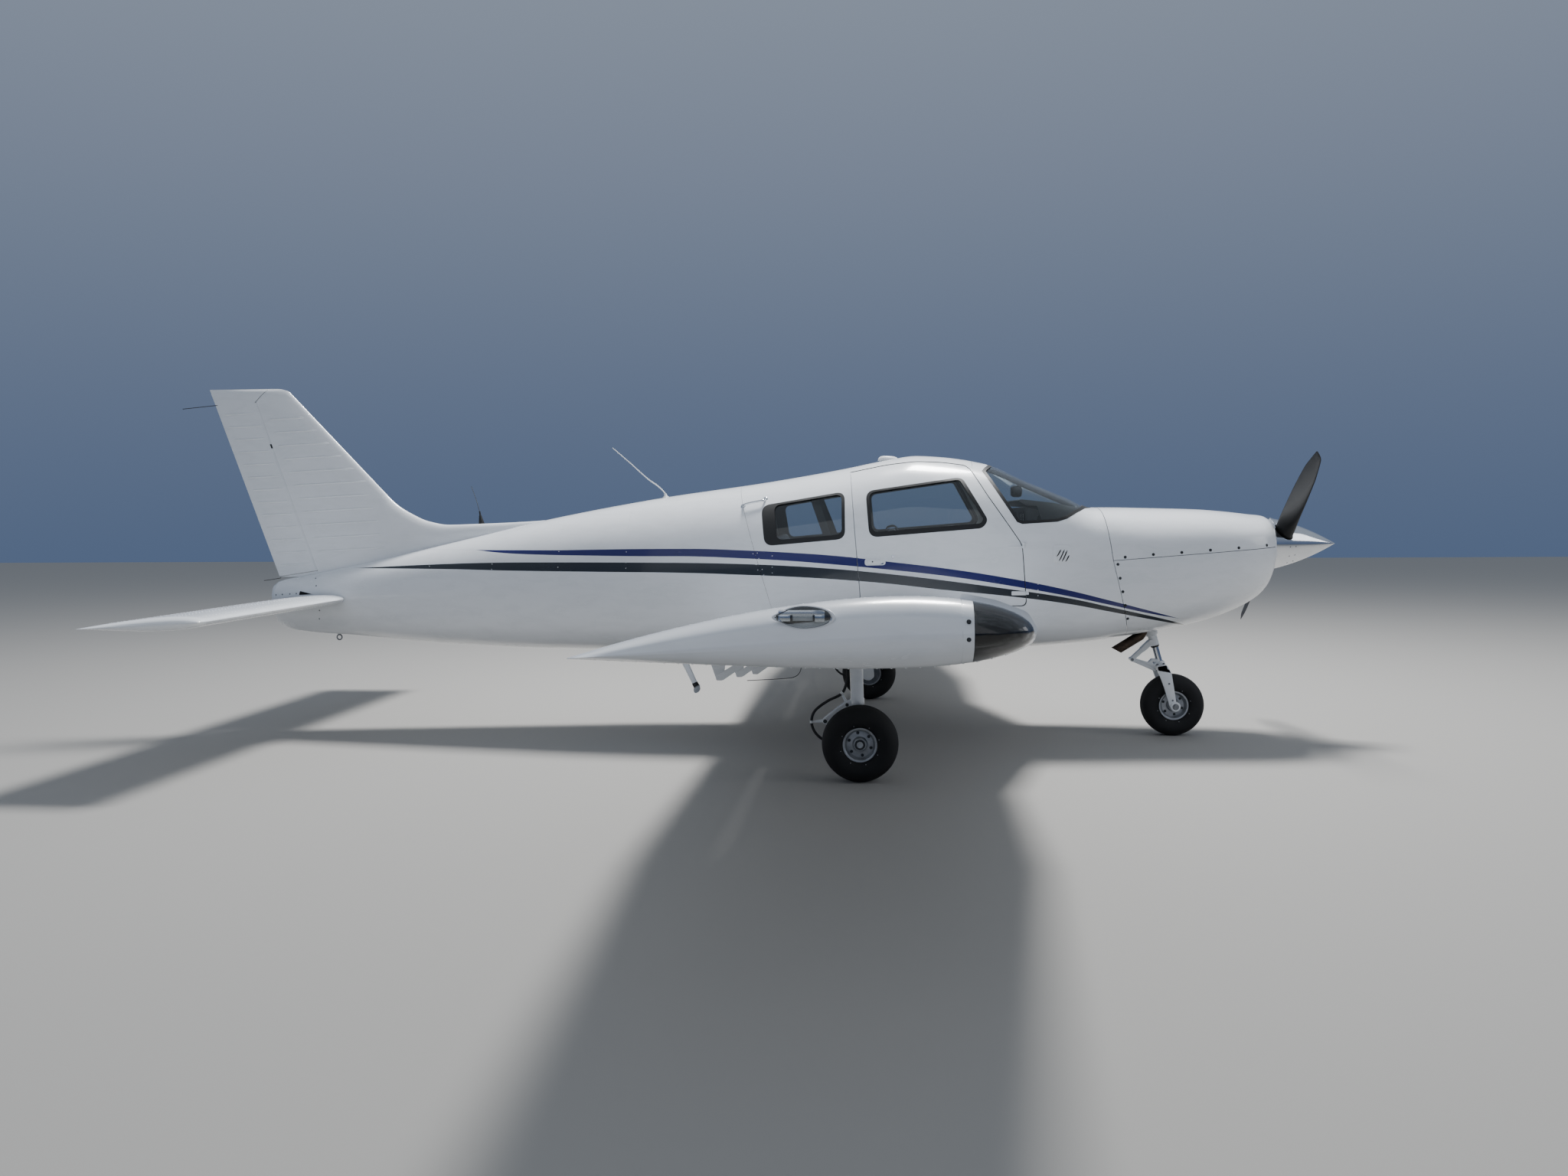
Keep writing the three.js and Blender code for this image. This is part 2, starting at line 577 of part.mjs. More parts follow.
const lensRegion = (side, gap) => prismZ(
  [[LENS.backX - gap, side * (LENS.innerY - gap)], [FAR, side * (LENS.innerY - gap)],
    [FAR, side * FAR], [LENS.backX - gap, side * FAR]], 0, TOP);

function navLight(side) {
  const globe = new THREE.SphereGeometry(1, 10, 6);
  const { x, z, length, height, reachY, depth } = NAV_LIGHT;
  globe.scale(length / 2, depth, height / 2);
  globe.translate(x, side * (reachY - depth), z);
  return cut(solidOf(globe), tipBlank(side).translate([0, side * TOUCH, 0]));
}

// Fin and rudder form
function finRing(z) {
  const part = (z - FIN_ROOT) / (FIN_TOP - FIN_ROOT);
  const leadX = FIN_LEAD.x + (z - FIN_LEAD.z) * FIN_LEAD.slope;
  const trailX = RUDDER_TRAIL.x + (z - RUDDER_TRAIL.z) * RUDDER_TRAIL.slope;
  const thickness = lerp(FIN_THICKNESS.root, FIN_THICKNESS.top, part);
  return sectionRing(thickness, 0, 0).map(([f, height]) => [lerp(leadX, trailX, f), height, z]);
}
const finHalf = (x, z) => {
  const leadX = FIN_LEAD.x + (z - FIN_LEAD.z) * FIN_LEAD.slope;
  const trailX = RUDDER_TRAIL.x + (z - RUDDER_TRAIL.z) * RUDDER_TRAIL.slope;
  const part = (z - FIN_ROOT) / (FIN_TOP - FIN_ROOT);
  return lerp(FIN_THICKNESS.root, FIN_THICKNESS.top, part) * halfThickness((leadX - x) / (leadX - trailX));
};
const rudderHingeX = (z) => RUDDER_HINGE.x + (z - RUDDER_HINGE.z) * RUDDER_HINGE.slope;

function rudderRegion(gap) {
  const hornZ = HORN.neck[1];
  const lowZ = RUDDER_BOTTOM.front - 20;
  const outline = [
    [rudderHingeX(lowZ), lowZ], [rudderHingeX(hornZ - 1.4 * gap), hornZ - 1.4 * gap],
    [HORN.tip[0] + gap, HORN.tip[1] - gap * 0.2],
    [HORN.tip[0] + gap + 6, 2400], [-4200, 2400], [-4200, lowZ - 300],
  ];
  const highZ = hornZ - 4 + gap;
  const ends = [lowZ, highZ].map((z) => [rudderHingeX(z), 0, z]);
  const radii = [lowZ, highZ].map((z) => finHalf(rudderHingeX(z), z) - 1 + gap);
  const lowerEdge = [
    [-2700, RUDDER_BOTTOM.front + 34], [RUDDER_TRAIL.x, RUDDER_BOTTOM.rear], [-4200, RUDDER_BOTTOM.rear - 140],
  ].map(([x, z]) => [x, z - gap]);
  const above = prismY([...lowerEdge, [-4200, 2400], [-2700, 2400]], -400, 400);
  return join(prismY(outline, -400, 400), rod(...ends, ...radii, 20)).intersect(above);
}

const finBlank = cut(
  loft([FIN_ROOT, 1350, 1800, FIN_TOP - 40, FIN_TOP].map(finRing)), prismY(FIN_CORNER, -200, 200));

function dorsal() {
  return loft(DORSAL.map(([x, crest, half]) => {
    const base = hullAt(x).crown - 70;
    const shoulder = lerp(base, crest, 0.72);
    return [
      [x, half, base], [x, half * 0.8, shoulder], [x, half * 0.4, crest - 7], [x, 0, crest],
      [x, -half * 0.4, crest - 7], [x, -half * 0.8, shoulder], [x, -half, base],
    ];
  }));
}

// Pin under the rudder, on its hinge line
function rudderPin(gap) {
  const [from, to] = [RUDDER_BOTTOM.front - 44, RUDDER_BOTTOM.front + 20];
  const radius = RUDDER_PIN.radius + gap;
  const pin = rod([rudderHingeX(from), 0, from], [rudderHingeX(to), 0, to], radius, radius, 12);
  return cut(pin, rudderRegion(RUDDER_PIN.gap));
}

function fin() {
  const below = prismY([[-1000, 0], [-5000, 0], [-5000, FIN_ROOT + 30], [-1000, FIN_ROOT + 30]], -500, 500);
  return cut(join(finBlank, dorsal()), rudderRegion(SWING), hullSkin, below, rudderPin(TOUCH));
}

// All-moving tailplane with a tab along its rear edge
const stabPivot = [
  lerp(STAB.leadX, STAB.trailX, STAB.pivotPart), lerp(STAB.leadZ, STAB.trailZ, STAB.pivotPart),
];
const stabAxle = (reach, radius) =>
  rod([stabPivot[0], -reach, stabPivot[1]], [stabPivot[0], reach, stabPivot[1]], radius, radius, 24);
const stabRing = (y, share) => sectionRing(STAB.thickness * share, 0, 0).map(([f, height]) => [
  lerp(STAB.leadX, STAB.trailX, f), y, lerp(STAB.leadZ, STAB.trailZ, f) + height]);
const stabBlank = loft([
  [-STAB.halfSpan, 0.45], [-STAB.halfSpan + 22, 0.85], [-STAB.halfSpan + 70, 1],
  [STAB.halfSpan - 70, 1], [STAB.halfSpan - 22, 0.85], [STAB.halfSpan, 0.45],
].map(([y, share]) => stabRing(y, share)));
const coneClearance = [[-2400, 252], [-2664, 200], [-3080, 133], [-3215, 98], [-3275, 78]];
const tailSlot = prismZ(
  [...coneClearance, [-3275, 0], [-2400, 0]], 600, 1200);
const tailSlotBoth = join(tailSlot, tailSlot.mirror([0, 1, 0]));
const tabX = TAB.frontX;
const tabZ = lerp(STAB.leadZ, STAB.trailZ, (STAB.leadX - tabX) / (STAB.leadX - STAB.trailX));
const tabRadius = (STAB.thickness * halfThickness((STAB.leadX - tabX) / (STAB.leadX - STAB.trailX))) - 0.5;

function tabRegion(gap) {
  const y = TAB.halfSpan + gap;
  const nose = rod([tabX, -y, tabZ], [tabX, y, tabZ], tabRadius + gap, tabRadius + gap, 16);
  return join(box([-3600, -y, 600], [tabX, y, 1200]), nose);
}

function stabilator() {
  const carrier = stabAxle(330, TORQUE_TUBE);
  const pins = [-1, 1].map((side) => rod(
    [tabX, side * (TAB.halfSpan + TOUCH), tabZ], [tabX, side * (TAB.halfSpan + SWING + 3), tabZ], 4, 4, 8));
  return join(cut(stabBlank, tailSlotBoth, tabRegion(SWING)), carrier, ...pins);
}

function antiservoTab() {
  return stabBlank.intersect(tabRegion(0));
}

function tailCone() {
  const aft = hullSolid(CONE_WALL, -345, -3238);
  const bay = hullSolid(CABIN_WALL, 800, -330);
  const bore = stabAxle(400, TORQUE_TUBE / Math.cos(Math.PI / 24) + 0.4);
  const shell = cut(hull.intersect(coneRegion), aft, bay, bore);
  return join(shell, rudderPin(0));
}

// Nose: cowl halves, engine, propeller and spinner
const strutAt = (z) => [NOSE_AXIS.top[0] + (NOSE_AXIS.top[1] - z) * NOSE_AXIS.lean, 0, z];
const INLET = { y: 250, z: 1228, radius: 84 };
const ENGINE_BASE = 1010;
const EXHAUST = {
  outlet: [2248, -200, 541], elbow: [2429, -200, 655], top: [2500, -200, ENGINE_BASE + 40], radius: 30,
};
// Outlet end cut off at a slant, as X and Z in side view
const EXHAUST_CUT = [[2212, 605], [2261, 578], [2310, 551], [2350, 529], [2300, 440], [2150, 480]];

const cowlHoles = [
  ...[-1, 1].map((side) => rod(
    [3000, side * INLET.y, INLET.z], [3400, side * INLET.y, INLET.z], INLET.radius, INLET.radius, 24)),
  rod([3100, 0, PROP.z], [3400, 0, PROP.z], 72, 72, 24),
  rod(strutAt(980), strutAt(500), 66, 66, 24),
  box([2150, -250, 500], [2580, 250, 720]),
];
const cowlShell = cut(hull, hullSolid(COWL_WALL, HULL[0][0] - 2 * COWL_WALL, 1500), ...cowlHoles);

function engineBlock() {
  const block = box([2440, -415, ENGINE_BASE], [3070, 415, 1345])
    .intersect(hullSolid(COWL_WALL + 14, 3150, 2000));
  const shaft = rod([3000, 0, PROP.z], [HUB.back, 0, PROP.z], 44, 44, 20);
  const mounts = [-1, 1].flatMap((side) => [1060, 1300].map((z) => rod(
    [2460, side * 300, z], [cowlSeamX(z) - 20, side * 300, z], 14, 14, 10)));
  return cut(join(block, shaft, ...mounts), cabinRegion.translate([TOUCH, 0, 0]));
}

function exhaustPipe() {
  const { outlet, elbow, top, radius } = EXHAUST;
  const above = box([-FAR, -FAR, ENGINE_BASE - TOUCH], [FAR, FAR, TOP]);
  const slant = prismY(EXHAUST_CUT, -300, -100);
  return cut(join(rod(outlet, elbow, radius, radius, 14), rod(elbow, top, radius, radius, 14)), above, slant);
}

const bladeWay = new THREE.Vector3(0, -Math.sin(THREE.MathUtils.degToRad(PROP.restDegrees)),
  Math.cos(THREE.MathUtils.degToRad(PROP.restDegrees)));
// Propeller blade: radius from the hub, chord, thickness, pitch in degrees, sweep towards the leading edge
const BLADE = [
  [60, 96, 68, 60, 6], [140, 116, 58, 50, 8], [200, 119, 42, 46, 6], [360, 125, 26, 33, 0],
  [560, 130, 18, 24, -5], [750, 123, 13, 18, -8], [850, 97, 10, 16, -8], [930, 68, 8, 15, -9],
  [952, 56, 7, 15, -12],
];
const ROOT_HOLE = [[20, 130, 80, 51, 7], [300, 130, 80, 51, 7]];
const BLADE_POINTS = 10;

function blade(sign, sections = BLADE) {
  const out = bladeWay.clone().multiplyScalar(sign);
  const forward = new THREE.Vector3(1, 0, 0);
  const turn = forward.clone().cross(out);
  const rings = sections.map(([radius, chord, thickness, pitch, sweep]) => {
    const angle = THREE.MathUtils.degToRad(pitch);
    const along = turn.clone().multiplyScalar(Math.cos(angle)).addScaledVector(forward, Math.sin(angle));
    const across = along.clone().cross(out);
    const centre = new THREE.Vector3(PROP.x, 0, PROP.z)
      .addScaledVector(out, radius).addScaledVector(along, sweep);
    return Array.from({ length: BLADE_POINTS }, (_, k) => {
      const a = (2 * Math.PI * k) / BLADE_POINTS;
      return centre.clone().addScaledVector(along, (chord / 2) * Math.cos(a))
        .addScaledVector(across, (thickness / 2) * Math.sin(a)).toArray();
    });
  });
  return loft(rings);
}

const hub = rod([HUB.back + TOUCH, 0, PROP.z], [HUB.front, 0, PROP.z], HUB.radius, HUB.radius, 16);
const propeller = join(hub, blade(1), blade(-1));

function spinner() {
  const { back, tip, radius } = SPINNER;
  const profile = [[0, 0], [radius, 0]];
  for (let k = 1; k < 7; k += 1) {
    const part = 1 - k / 7;
    profile.push([radius * (1.5 * part - 0.5 * part ** 2), (1 - part) * (tip - back)]);
  }
  profile.push([0, tip - back]);
  const geometry = new THREE.LatheGeometry(profile.map((point) => new THREE.Vector2(...point)), 20);
  geometry.rotateZ(-Math.PI / 2);
  geometry.translate(back, 0, PROP.z);
  const room = HUB.radius + 0.5 + TOUCH;
  const bore = rod([back - 20, 0, PROP.z], [HUB.front + 10, 0, PROP.z], room, room, 16);
  return cut(solidOf(geometry), bore, blade(1, ROOT_HOLE), blade(-1, ROOT_HOLE));
}

// Wheels and tyres
const RIM = [
  [12.7, -50], [36, -50], [40, -24], [72, -20], [80, -58], [89.4, -58],
  [89.4, 58], [80, 58], [72, 20], [40, 24], [36, 50], [12.7, 50],
];
const wheelAt = ({ x, z }, y) => turned(RIM, x, y, z, WHEEL_SIDES);

function tyreAt({ x, z }, y) {
  const { bead, halfWidth } = TYRE;
  const outer = z / Math.cos(Math.PI / WHEEL_SIDES);
  const half = [
    [bead, 52], [bead + 15, halfWidth - 10], [lerp(bead, z, 0.45), halfWidth], [z - 27, halfWidth - 10],
    [z - 7, 46], [outer, 16],
  ];
  const otherHalf = half.map(([radius, along]) => [radius, -along]);
  return turned([...otherHalf, ...half.reverse()], x, y, z, WHEEL_SIDES);
}

// Flat link between two points of a leg, as a plate across Y
function link(from, to, y, halfThick, width, endWidth = width) {
  const way = new THREE.Vector2(to[0] - from[0], to[1] - from[1]).normalize();
  const beside = ([x, z], reach) => [x - way.y * reach, z + way.x * reach];
  const outline = [
    beside(from, width / 2), beside(from, -width / 2), beside(to, -endWidth / 2), beside(to, endWidth / 2),
  ];
  return prismY(outline, y - halfThick, y + halfThick);
}

function noseStrut() {
  const { x, z } = NOSE_AXLE;
  const housing = join(rod(strutAt(905), strutAt(640), 36, 36, 16), rod(strutAt(660), strutAt(576), 28, 28, 16));
  const piston = rod(strutAt(600), strutAt(440), 17, 17, 14);
  const outerY = NOSE_FORK_Y + 18;
  const crown = prismY(
    [[2556, 452], [2616, 462], [2622, 436], [2634, 432], [2646, 409], [2562, 424]], -outerY, outerY);
  const arms = [-1, 1].map((side) => prismY(
    [[2556, 452], [2616, 462], [2634, 432], [2647, 406], [2662, 320], [2678, z + 20], [2640, z - 10],
      [2600, 320], [2587, 356], [2562, 420]],
    side * NOSE_FORK_Y, side * outerY));
  const bosses = [-1, 1].map((side) => rod(
    [x, side * (NOSE_FORK_Y - 2), z], [x, side * (outerY + 8), z], 31, 31, 12));
  const axle = rod([x, -NOSE_FORK_Y, z], [x, NOSE_FORK_Y, z], 12, 12, 12);
  const [upper, apex, lower] = [[2534, 597], [2416, 486], [2566, 430]];
  const lug = prismY([[2520, 464], [2543, 490], [2580, 486], [2592, 440], [2530, 438]], -24, 24);
  const scissors = [
    link(upper, apex, 0, 26, 32, 24), link(apex, lower, 0, 26, 22, 42),
    rod([apex[0], -34, apex[1]], [apex[0], 34, apex[1]], 13, 13, 12),
    rod([upper[0], -30, upper[1]], [upper[0], 30, upper[1]], 16, 16, 12),
  ];
  return join(housing, piston, crown, ...arms, ...bosses, axle, lug, ...scissors);
}

function noseGearMount() {
  const sleeve = rod(strutAt(880), strutAt(760), 52, 52, 16);
  const bore = rod(strutAt(1000), strutAt(640), 37, 37, 16);
  const stays = [-1, 1].map((side) => rod(
    [2480, side * 30, 850], [cowlSeamX(850) - 20, side * 150, 850], 14, 14, 8));
  const plate = box([cowlSeamX(940) - 60, -190, 780], [cowlSeamX(940) + 60, 190, 930]);
  const front = prismY([[cowlSeamX(LOW), LOW], [FAR, LOW], [FAR, TOP], [splitX, splitRearZ]], -FAR, FAR);
  return cut(join(sleeve, ...stays, plate.intersect(front)), bore, cabinRegion.translate([TOUCH, 0, 0]));
}

function mainLeg(side) {
  const y = side * MAIN_LEG_Y;
  const { x, z } = MAIN_AXLE;
  const housing = rod([687, y, 760], [698, y, 398], 37, 34, 16);
  const collar = rod([697, y, 426], [698, y, 394], 38, 38, 16);
  const piston = rod([698, y, 400], [706, y, z + 30], 26, 26, 14);
  const foot = prismY([[664, z + 59], [750, z + 59], [756, z - 17], [724, z - 45], [690, z - 41], [640, z - 7]],
    side * (MAIN_LEG_Y - 32), side * (MAIN_LEG_Y + 34));
  const axle = rod([x, y, z], [x, side * (MAIN_AXLE.y + 66), z], 12, 12, 12);
  const [upper, apex, lower] = [[642, 395], [523, 305], [664, z + 5]];
  const links = [
    link([700, 414], upper, y, 20, 40, 36), link(upper, apex, y, 20, 38, 32),
    link(apex, lower, y, 16, 26, 36), link(apex, HOSE_CLAMP, y, 8, 18, 12),
    rod([apex[0], y - 26, apex[1]], [apex[0], y + 26, apex[1]], 15, 15, 12),
  ];
  const flange = box([628, y - 62, 600], [772, y + 62, 760]);
  const topped = cut(join(housing, flange), wingBlank(side).translate([0, 0, -TOUCH]));
  const pieces = topped.decompose().sort((a, b) => a.boundingBox().min[2] - b.boundingBox().min[2]);
  return join(pieces[0], collar, piston, foot, axle, ...links);
}

const brakeHose = (side) => {
  const y = side * (MAIN_LEG_Y + 4);
  const route = HOSE_ROUTE.map(([x, out, z]) => [x, y + side * out, z]);
  return cut(tube(route, 7.5, 6, 20), wingBlank(side).translate([0, 0, -TOUCH]),
    mainLeg(side).translate([-TOUCH, 0, -TOUCH]));
};

// Cabin furniture
function seat(y, width) {
  const [from, to] = [y - width / 2, y + width / 2];
  const cushion = prismY([[900, 830], [1345, 850], [1360, 955], [1315, 980], [920, 940]], from, to);
  const back = prismY([[860, 880], [965, 900], [932, 1325], [905, 1352], [850, 1340]], from, to);
  const frame = box([950, from + 40, FLOOR_TOP + TOUCH], [1300, to - 40, 850]);
  return join(cushion, back, frame);
}

function rearSeat() {
  const cushion = prismY([[220, 800], [650, 820], [660, 930], [620, 955], [230, 900]], -440, 440);
  const back = prismY([[160, 820], [270, 880], [196, 1300], [170, 1322], [100, 1305]], -430, 430);
  const frame = box([250, -380, FLOOR_TOP + TOUCH], [590, 380, 820]);
  return join(cushion, back, frame);
}

function cabinFloor() {
  return box([-300, -500, FLOOR_TOP - 28], [2100, 500, FLOOR_TOP])
    .intersect(hullSolid(CABIN_WALL + TOUCH, FIREWALL_X - TOUCH, -329));
}

function instrumentPanel() {
  const board = prismY([
    [1712, 1120], [1740, 1120], [1762, 1400], [2060, 1430], [2060, 1446], [1664, 1508], [1646, 1500],
    [1694, 1462],
  ], -520, 520);
  const fitted = board.intersect(hullSolid(CABIN_WALL + TOUCH, 2100, 1500));
  const yokes = [-240, 240].flatMap((y) => [
    rod([1725, y, 1240], [1500, y, 1225], 11, 11, 8),
    rod([1500, y - 110, 1235], [1500, y + 110, 1235], 12, 12, 8),
    rod([1500, y - 106, 1225], [1480, y - 122, 1315], 11, 11, 8),
    rod([1500, y + 106, 1225], [1480, y + 122, 1315], 11, 11, 8),
  ]);
  const pedestal = box([1712, -90, FLOOR_TOP + TOUCH], [1960, 90, 1135]);
  return join(fitted, pedestal, ...yokes);
}

// Small fittings
function boardingStep() {
  const stem = rod([-470, -405, 640], [-322, -455, 352], 25, 17, 16);
  const pad = rod([-334, -380, 348], [-310, -540, 352], 24, 24, 16);
  return cut(join(stem, pad), hullSkin);
}

function grabHandle() {
  const [rearX, frontX] = [-32, 105];
  const at = (x, z, out) => [x, -hullSide(x, z) - out, z];
  const bar = tube([
    at(rearX, 1478, -20), at(rearX + 4, 1482, 26), at(rearX + 24, 1494, 34),
    at(frontX - 24, 1512, 34), at(frontX - 4, 1518, 26), at(frontX, 1520, -20),
  ], 7, 5, 12);
  return cut(bar, hullSkin);
}

const whipAntenna = () => cut(tube([
  [-583, 0, 1500], [-592, 0, 1560], [-700, 0, 1662], [-820, 0, 1770], [-934, 0, 1869],
], 5, 6, 8), hullSkin);
const locatorAntenna = () => cut(join(
  rod([-1829, 60, 1240], [-1834, 60, 1320], 16, 9, 12),
  rod([-1834, 60, 1318], [-1905, 60, 1627], 4, 3, 8),
), hullSkin);

function pitotMast() {
  const y = 2900;
  const low = wingSurface(y, 1000, -1);
  const mast = prismY([
    [1010, low + 60], [940, low + 60], [930, low - 78], [1030, low - 78], [1040, low - 60],
  ], y - 9, y + 9);
  return cut(mast, wingBlank(1).translate([0, 0, -TOUCH]));
}

const TIEDOWN_X = -2815;

function tailTiedown() {
  const [x, z] = [TIEDOWN_X, hullAt(TIEDOWN_X).keel];
  const ring = new THREE.TorusGeometry(17, 4.5, 5, 10);
  ring.rotateX(Math.PI / 2);
  ring.translate(x, 0, z - 24);
  return cut(join(solidOf(ring), rod([x, 0, z + 20], [x, 0, z - 8], 8, 8, 10)), hullSkin);
}

const aeroplane = new THREE.Group();

function add(name, solid, material) {
  const mesh = new THREE.Mesh(geometryOf(solid), material);
  mesh.name = name;
  aeroplane.add(mesh);
}

add("fuselage_cabin", fuselageCabin(), MATERIAL.white);
add("tail_cone", tailCone(), MATERIAL.white);
add("cowl_upper", cowlShell.intersect(cowlUpperRegion), MATERIAL.white);
add("cowl_lower", cowlShell.intersect(cowlLowerRegion), MATERIAL.white);
add("engine_block", engineBlock(), MATERIAL.iron);
add("cabin_floor", cabinFloor(), MATERIAL.carpet);
add("instrument_panel", instrumentPanel(), MATERIAL.black);
add("seat_front_left", seat(245, 440), MATERIAL.leather);
add("seat_front_right", seat(-245, 440), MATERIAL.leather);
add("seat_rear", rearSeat(), MATERIAL.leather);
add("cabin_door", cabinDoor(), MATERIAL.white);
add("door_window", glassLayer.intersect(sidePrism(WINDOW_FRONT, -1, -TOUCH)), MATERIAL.glass);
add("windshield", glassLayer.intersect(prismY(grown(WINDSHIELD, -TOUCH), -FAR, FAR)), MATERIAL.glass);
add("window_front_left", glassLayer.intersect(sidePrism(WINDOW_FRONT, 1, -TOUCH)), MATERIAL.glass);
add("window_rear_left", glassLayer.intersect(sidePrism(WINDOW_REAR, 1, -TOUCH)), MATERIAL.glass);
add("window_rear_right", glassLayer.intersect(sidePrism(WINDOW_REAR, -1, -TOUCH)), MATERIAL.glass);
for (const [suffix, side] of [["left", 1], ["right", -1]]) {
  add(`wing_${suffix}`, wing(side), MATERIAL.white);
  add(`wing_tip_${suffix}`, cut(tipBlank(side), lensRegion(side, TOUCH)), MATERIAL.white);
  add(`landing_lens_${suffix}`, tipBlank(side).intersect(lensRegion(side, 0)), MATERIAL.lens);
  add(`nav_light_${suffix}`, navLight(side), MATERIAL.clear);
  add(`flap_${suffix}`, flap(side), MATERIAL.white);
  add(`aileron_${suffix}`, aileron(side), MATERIAL.white);
  add(`main_leg_${suffix}`, mainLeg(side), MATERIAL.white);
  add(`main_wheel_${suffix}`, wheelAt(MAIN_AXLE, side * MAIN_AXLE.y), MATERIAL.alloy);
  add(`main_tyre_${suffix}`, tyreAt(MAIN_AXLE, side * MAIN_AXLE.y), MATERIAL.rubber);
  add(`brake_hose_${suffix}`, brakeHose(side), MATERIAL.rubber);
}
add("fin", fin(), MATERIAL.white);
add("rudder", finBlank.intersect(rudderRegion(0)), MATERIAL.white);
add("stabilator", stabilator(), MATERIAL.white);
add("antiservo_tab", antiservoTab(), MATERIAL.white);
add("propeller", propeller, MATERIAL.black);
add("spinner", spinner(), MATERIAL.chrome);
add("nose_gear_mount", noseGearMount(), MATERIAL.iron);
add("nose_strut", noseStrut(), MATERIAL.white);
add("nose_wheel", wheelAt(NOSE_AXLE, 0), MATERIAL.alloy);
add("nose_tyre", tyreAt(NOSE_AXLE, 0), MATERIAL.rubber);
add("exhaust_pipe", exhaustPipe(), MATERIAL.burnt);
add("boarding_step", boardingStep(), MATERIAL.white);
add("grab_handle", grabHandle(), MATERIAL.chrome);
add("whip_antenna", whipAntenna(), MATERIAL.white);
add("locator_antenna", locatorAntenna(), MATERIAL.black);
add("pitot_mast", pitotMast(), MATERIAL.white);
add("tail_tiedown", tailTiedown(), MATERIAL.alloy);

export default aeroplane;
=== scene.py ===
"""Looks of a low-wing training aeroplane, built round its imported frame.

Sizes in the tables are millimetres, X to the nose, Y to the left wing and Z up, as in the frame.
Every piece is made where it belongs, and its object stays at the origin.
"""
import math

import bmesh
import bpy
import numpy as np
from mathutils import Matrix, Vector


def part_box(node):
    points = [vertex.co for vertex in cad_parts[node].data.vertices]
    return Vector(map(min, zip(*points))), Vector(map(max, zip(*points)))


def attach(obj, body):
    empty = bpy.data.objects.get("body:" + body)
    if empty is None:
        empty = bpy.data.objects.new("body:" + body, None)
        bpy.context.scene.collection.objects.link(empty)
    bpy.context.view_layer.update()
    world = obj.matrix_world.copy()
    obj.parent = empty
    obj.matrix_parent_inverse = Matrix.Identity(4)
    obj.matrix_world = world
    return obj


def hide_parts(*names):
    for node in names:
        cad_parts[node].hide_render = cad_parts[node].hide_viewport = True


bl_info = {
    "name": "Training aeroplane",
    "version": (1, 0, 0),
    "blender": (4, 5, 0),
    "location": "View3D > Sidebar > Aeroplane",
    "description": "Builds a low-wing training aeroplane with its finishes round a packed frame",
    "category": "Object",
}

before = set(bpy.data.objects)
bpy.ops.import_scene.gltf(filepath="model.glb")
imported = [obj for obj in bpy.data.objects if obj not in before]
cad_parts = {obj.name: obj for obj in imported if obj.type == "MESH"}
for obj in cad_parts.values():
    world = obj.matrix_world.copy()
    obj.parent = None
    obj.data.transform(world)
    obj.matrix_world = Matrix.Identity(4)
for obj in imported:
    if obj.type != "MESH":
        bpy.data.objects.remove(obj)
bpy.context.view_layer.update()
MM = 0.001
FAR = 6000.0
# How far over a surface the lines of its fastenings are drawn
LINE_LIFT = 4.0
SIDES = ((1, "left"), (-1, "right"))


# Sizes and colours that a user would change

def tyre_reach(name):
    """Outer radius of a tyre of the frame"""
    low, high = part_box(name)
    return (high[2] - low[2]) / 2


def length_property(name, text, metres):
    return bpy.props.FloatProperty(name=name, description=text, default=metres, unit="LENGTH")


class AeroplaneSizes(bpy.types.PropertyGroup):
    """Sizes of the visible build, in metres"""
    skin: length_property("Skin", "Thickness of the sheet skins", 0.004)
    seam: length_property("Cowl seam", "Gap between the cowl panels", 0.0032)
    lap: length_property("Lap seam", "Gap drawn at a lapped skin joint", 0.0018)
    door_gap: length_property("Door gap", "Gap round the cabin door", 0.005)
    rivet_pitch: length_property("Rivet pitch", "Distance between rivets", 0.034)
    rivet_radius: length_property("Rivet radius", "Radius of a rivet head", 0.0026)
    bead_radius: length_property("Bead radius", "Radius of the pressed stiffening beads", 0.0075)
    bead_proud: length_property("Bead height", "Height of a bead over the sheet", 0.0034)
    main_tyre: length_property("Main tyre", "Outer radius of the main tyres", tyre_reach("main_tyre_left"))
    nose_tyre: length_property("Nose tyre", "Outer radius of the nose tyre", tyre_reach("nose_tyre"))
    groove: length_property("Tread groove", "Width of a tread groove", 0.006)
    hose_radius: length_property("Hose radius", "Radius of the brake hoses", 0.0075)
    cushion_puff: length_property("Cushion puff", "Furthest that a seat cushion may swell", 0.016)


def linear(code):
    """Linear RGBA of an sRGB hex colour"""
    parts = [int(code[i:i + 2], 16) / 255 for i in (1, 3, 5)]
    return (*[p / 12.92 if p <= 0.04045 else ((p + 0.055) / 1.055) ** 2.4 for p in parts], 1.0)


def colour_property(name, text, code):
    return bpy.props.FloatVectorProperty(
        name=name, description=text, default=linear(code)[:3], subtype="COLOR", size=3, min=0.0, max=1.0)


class AeroplaneColours(bpy.types.PropertyGroup):
    """Main paint colours"""
    white: colour_property("White", "Main enamel", "#eceff2")
    blue: colour_property("Blue", "Upper stripe", "#0a1260")
    grey: colour_property("Grey", "Lower stripe", "#1b242d")


def size(name):
    """A size of the scene's properties, in millimetres"""
    return getattr(bpy.context.scene.aeroplane_sizes, name) / MM


def paint_colour(name):
    return (*getattr(bpy.context.scene.aeroplane_colours, name), 1.0)


# Node trees

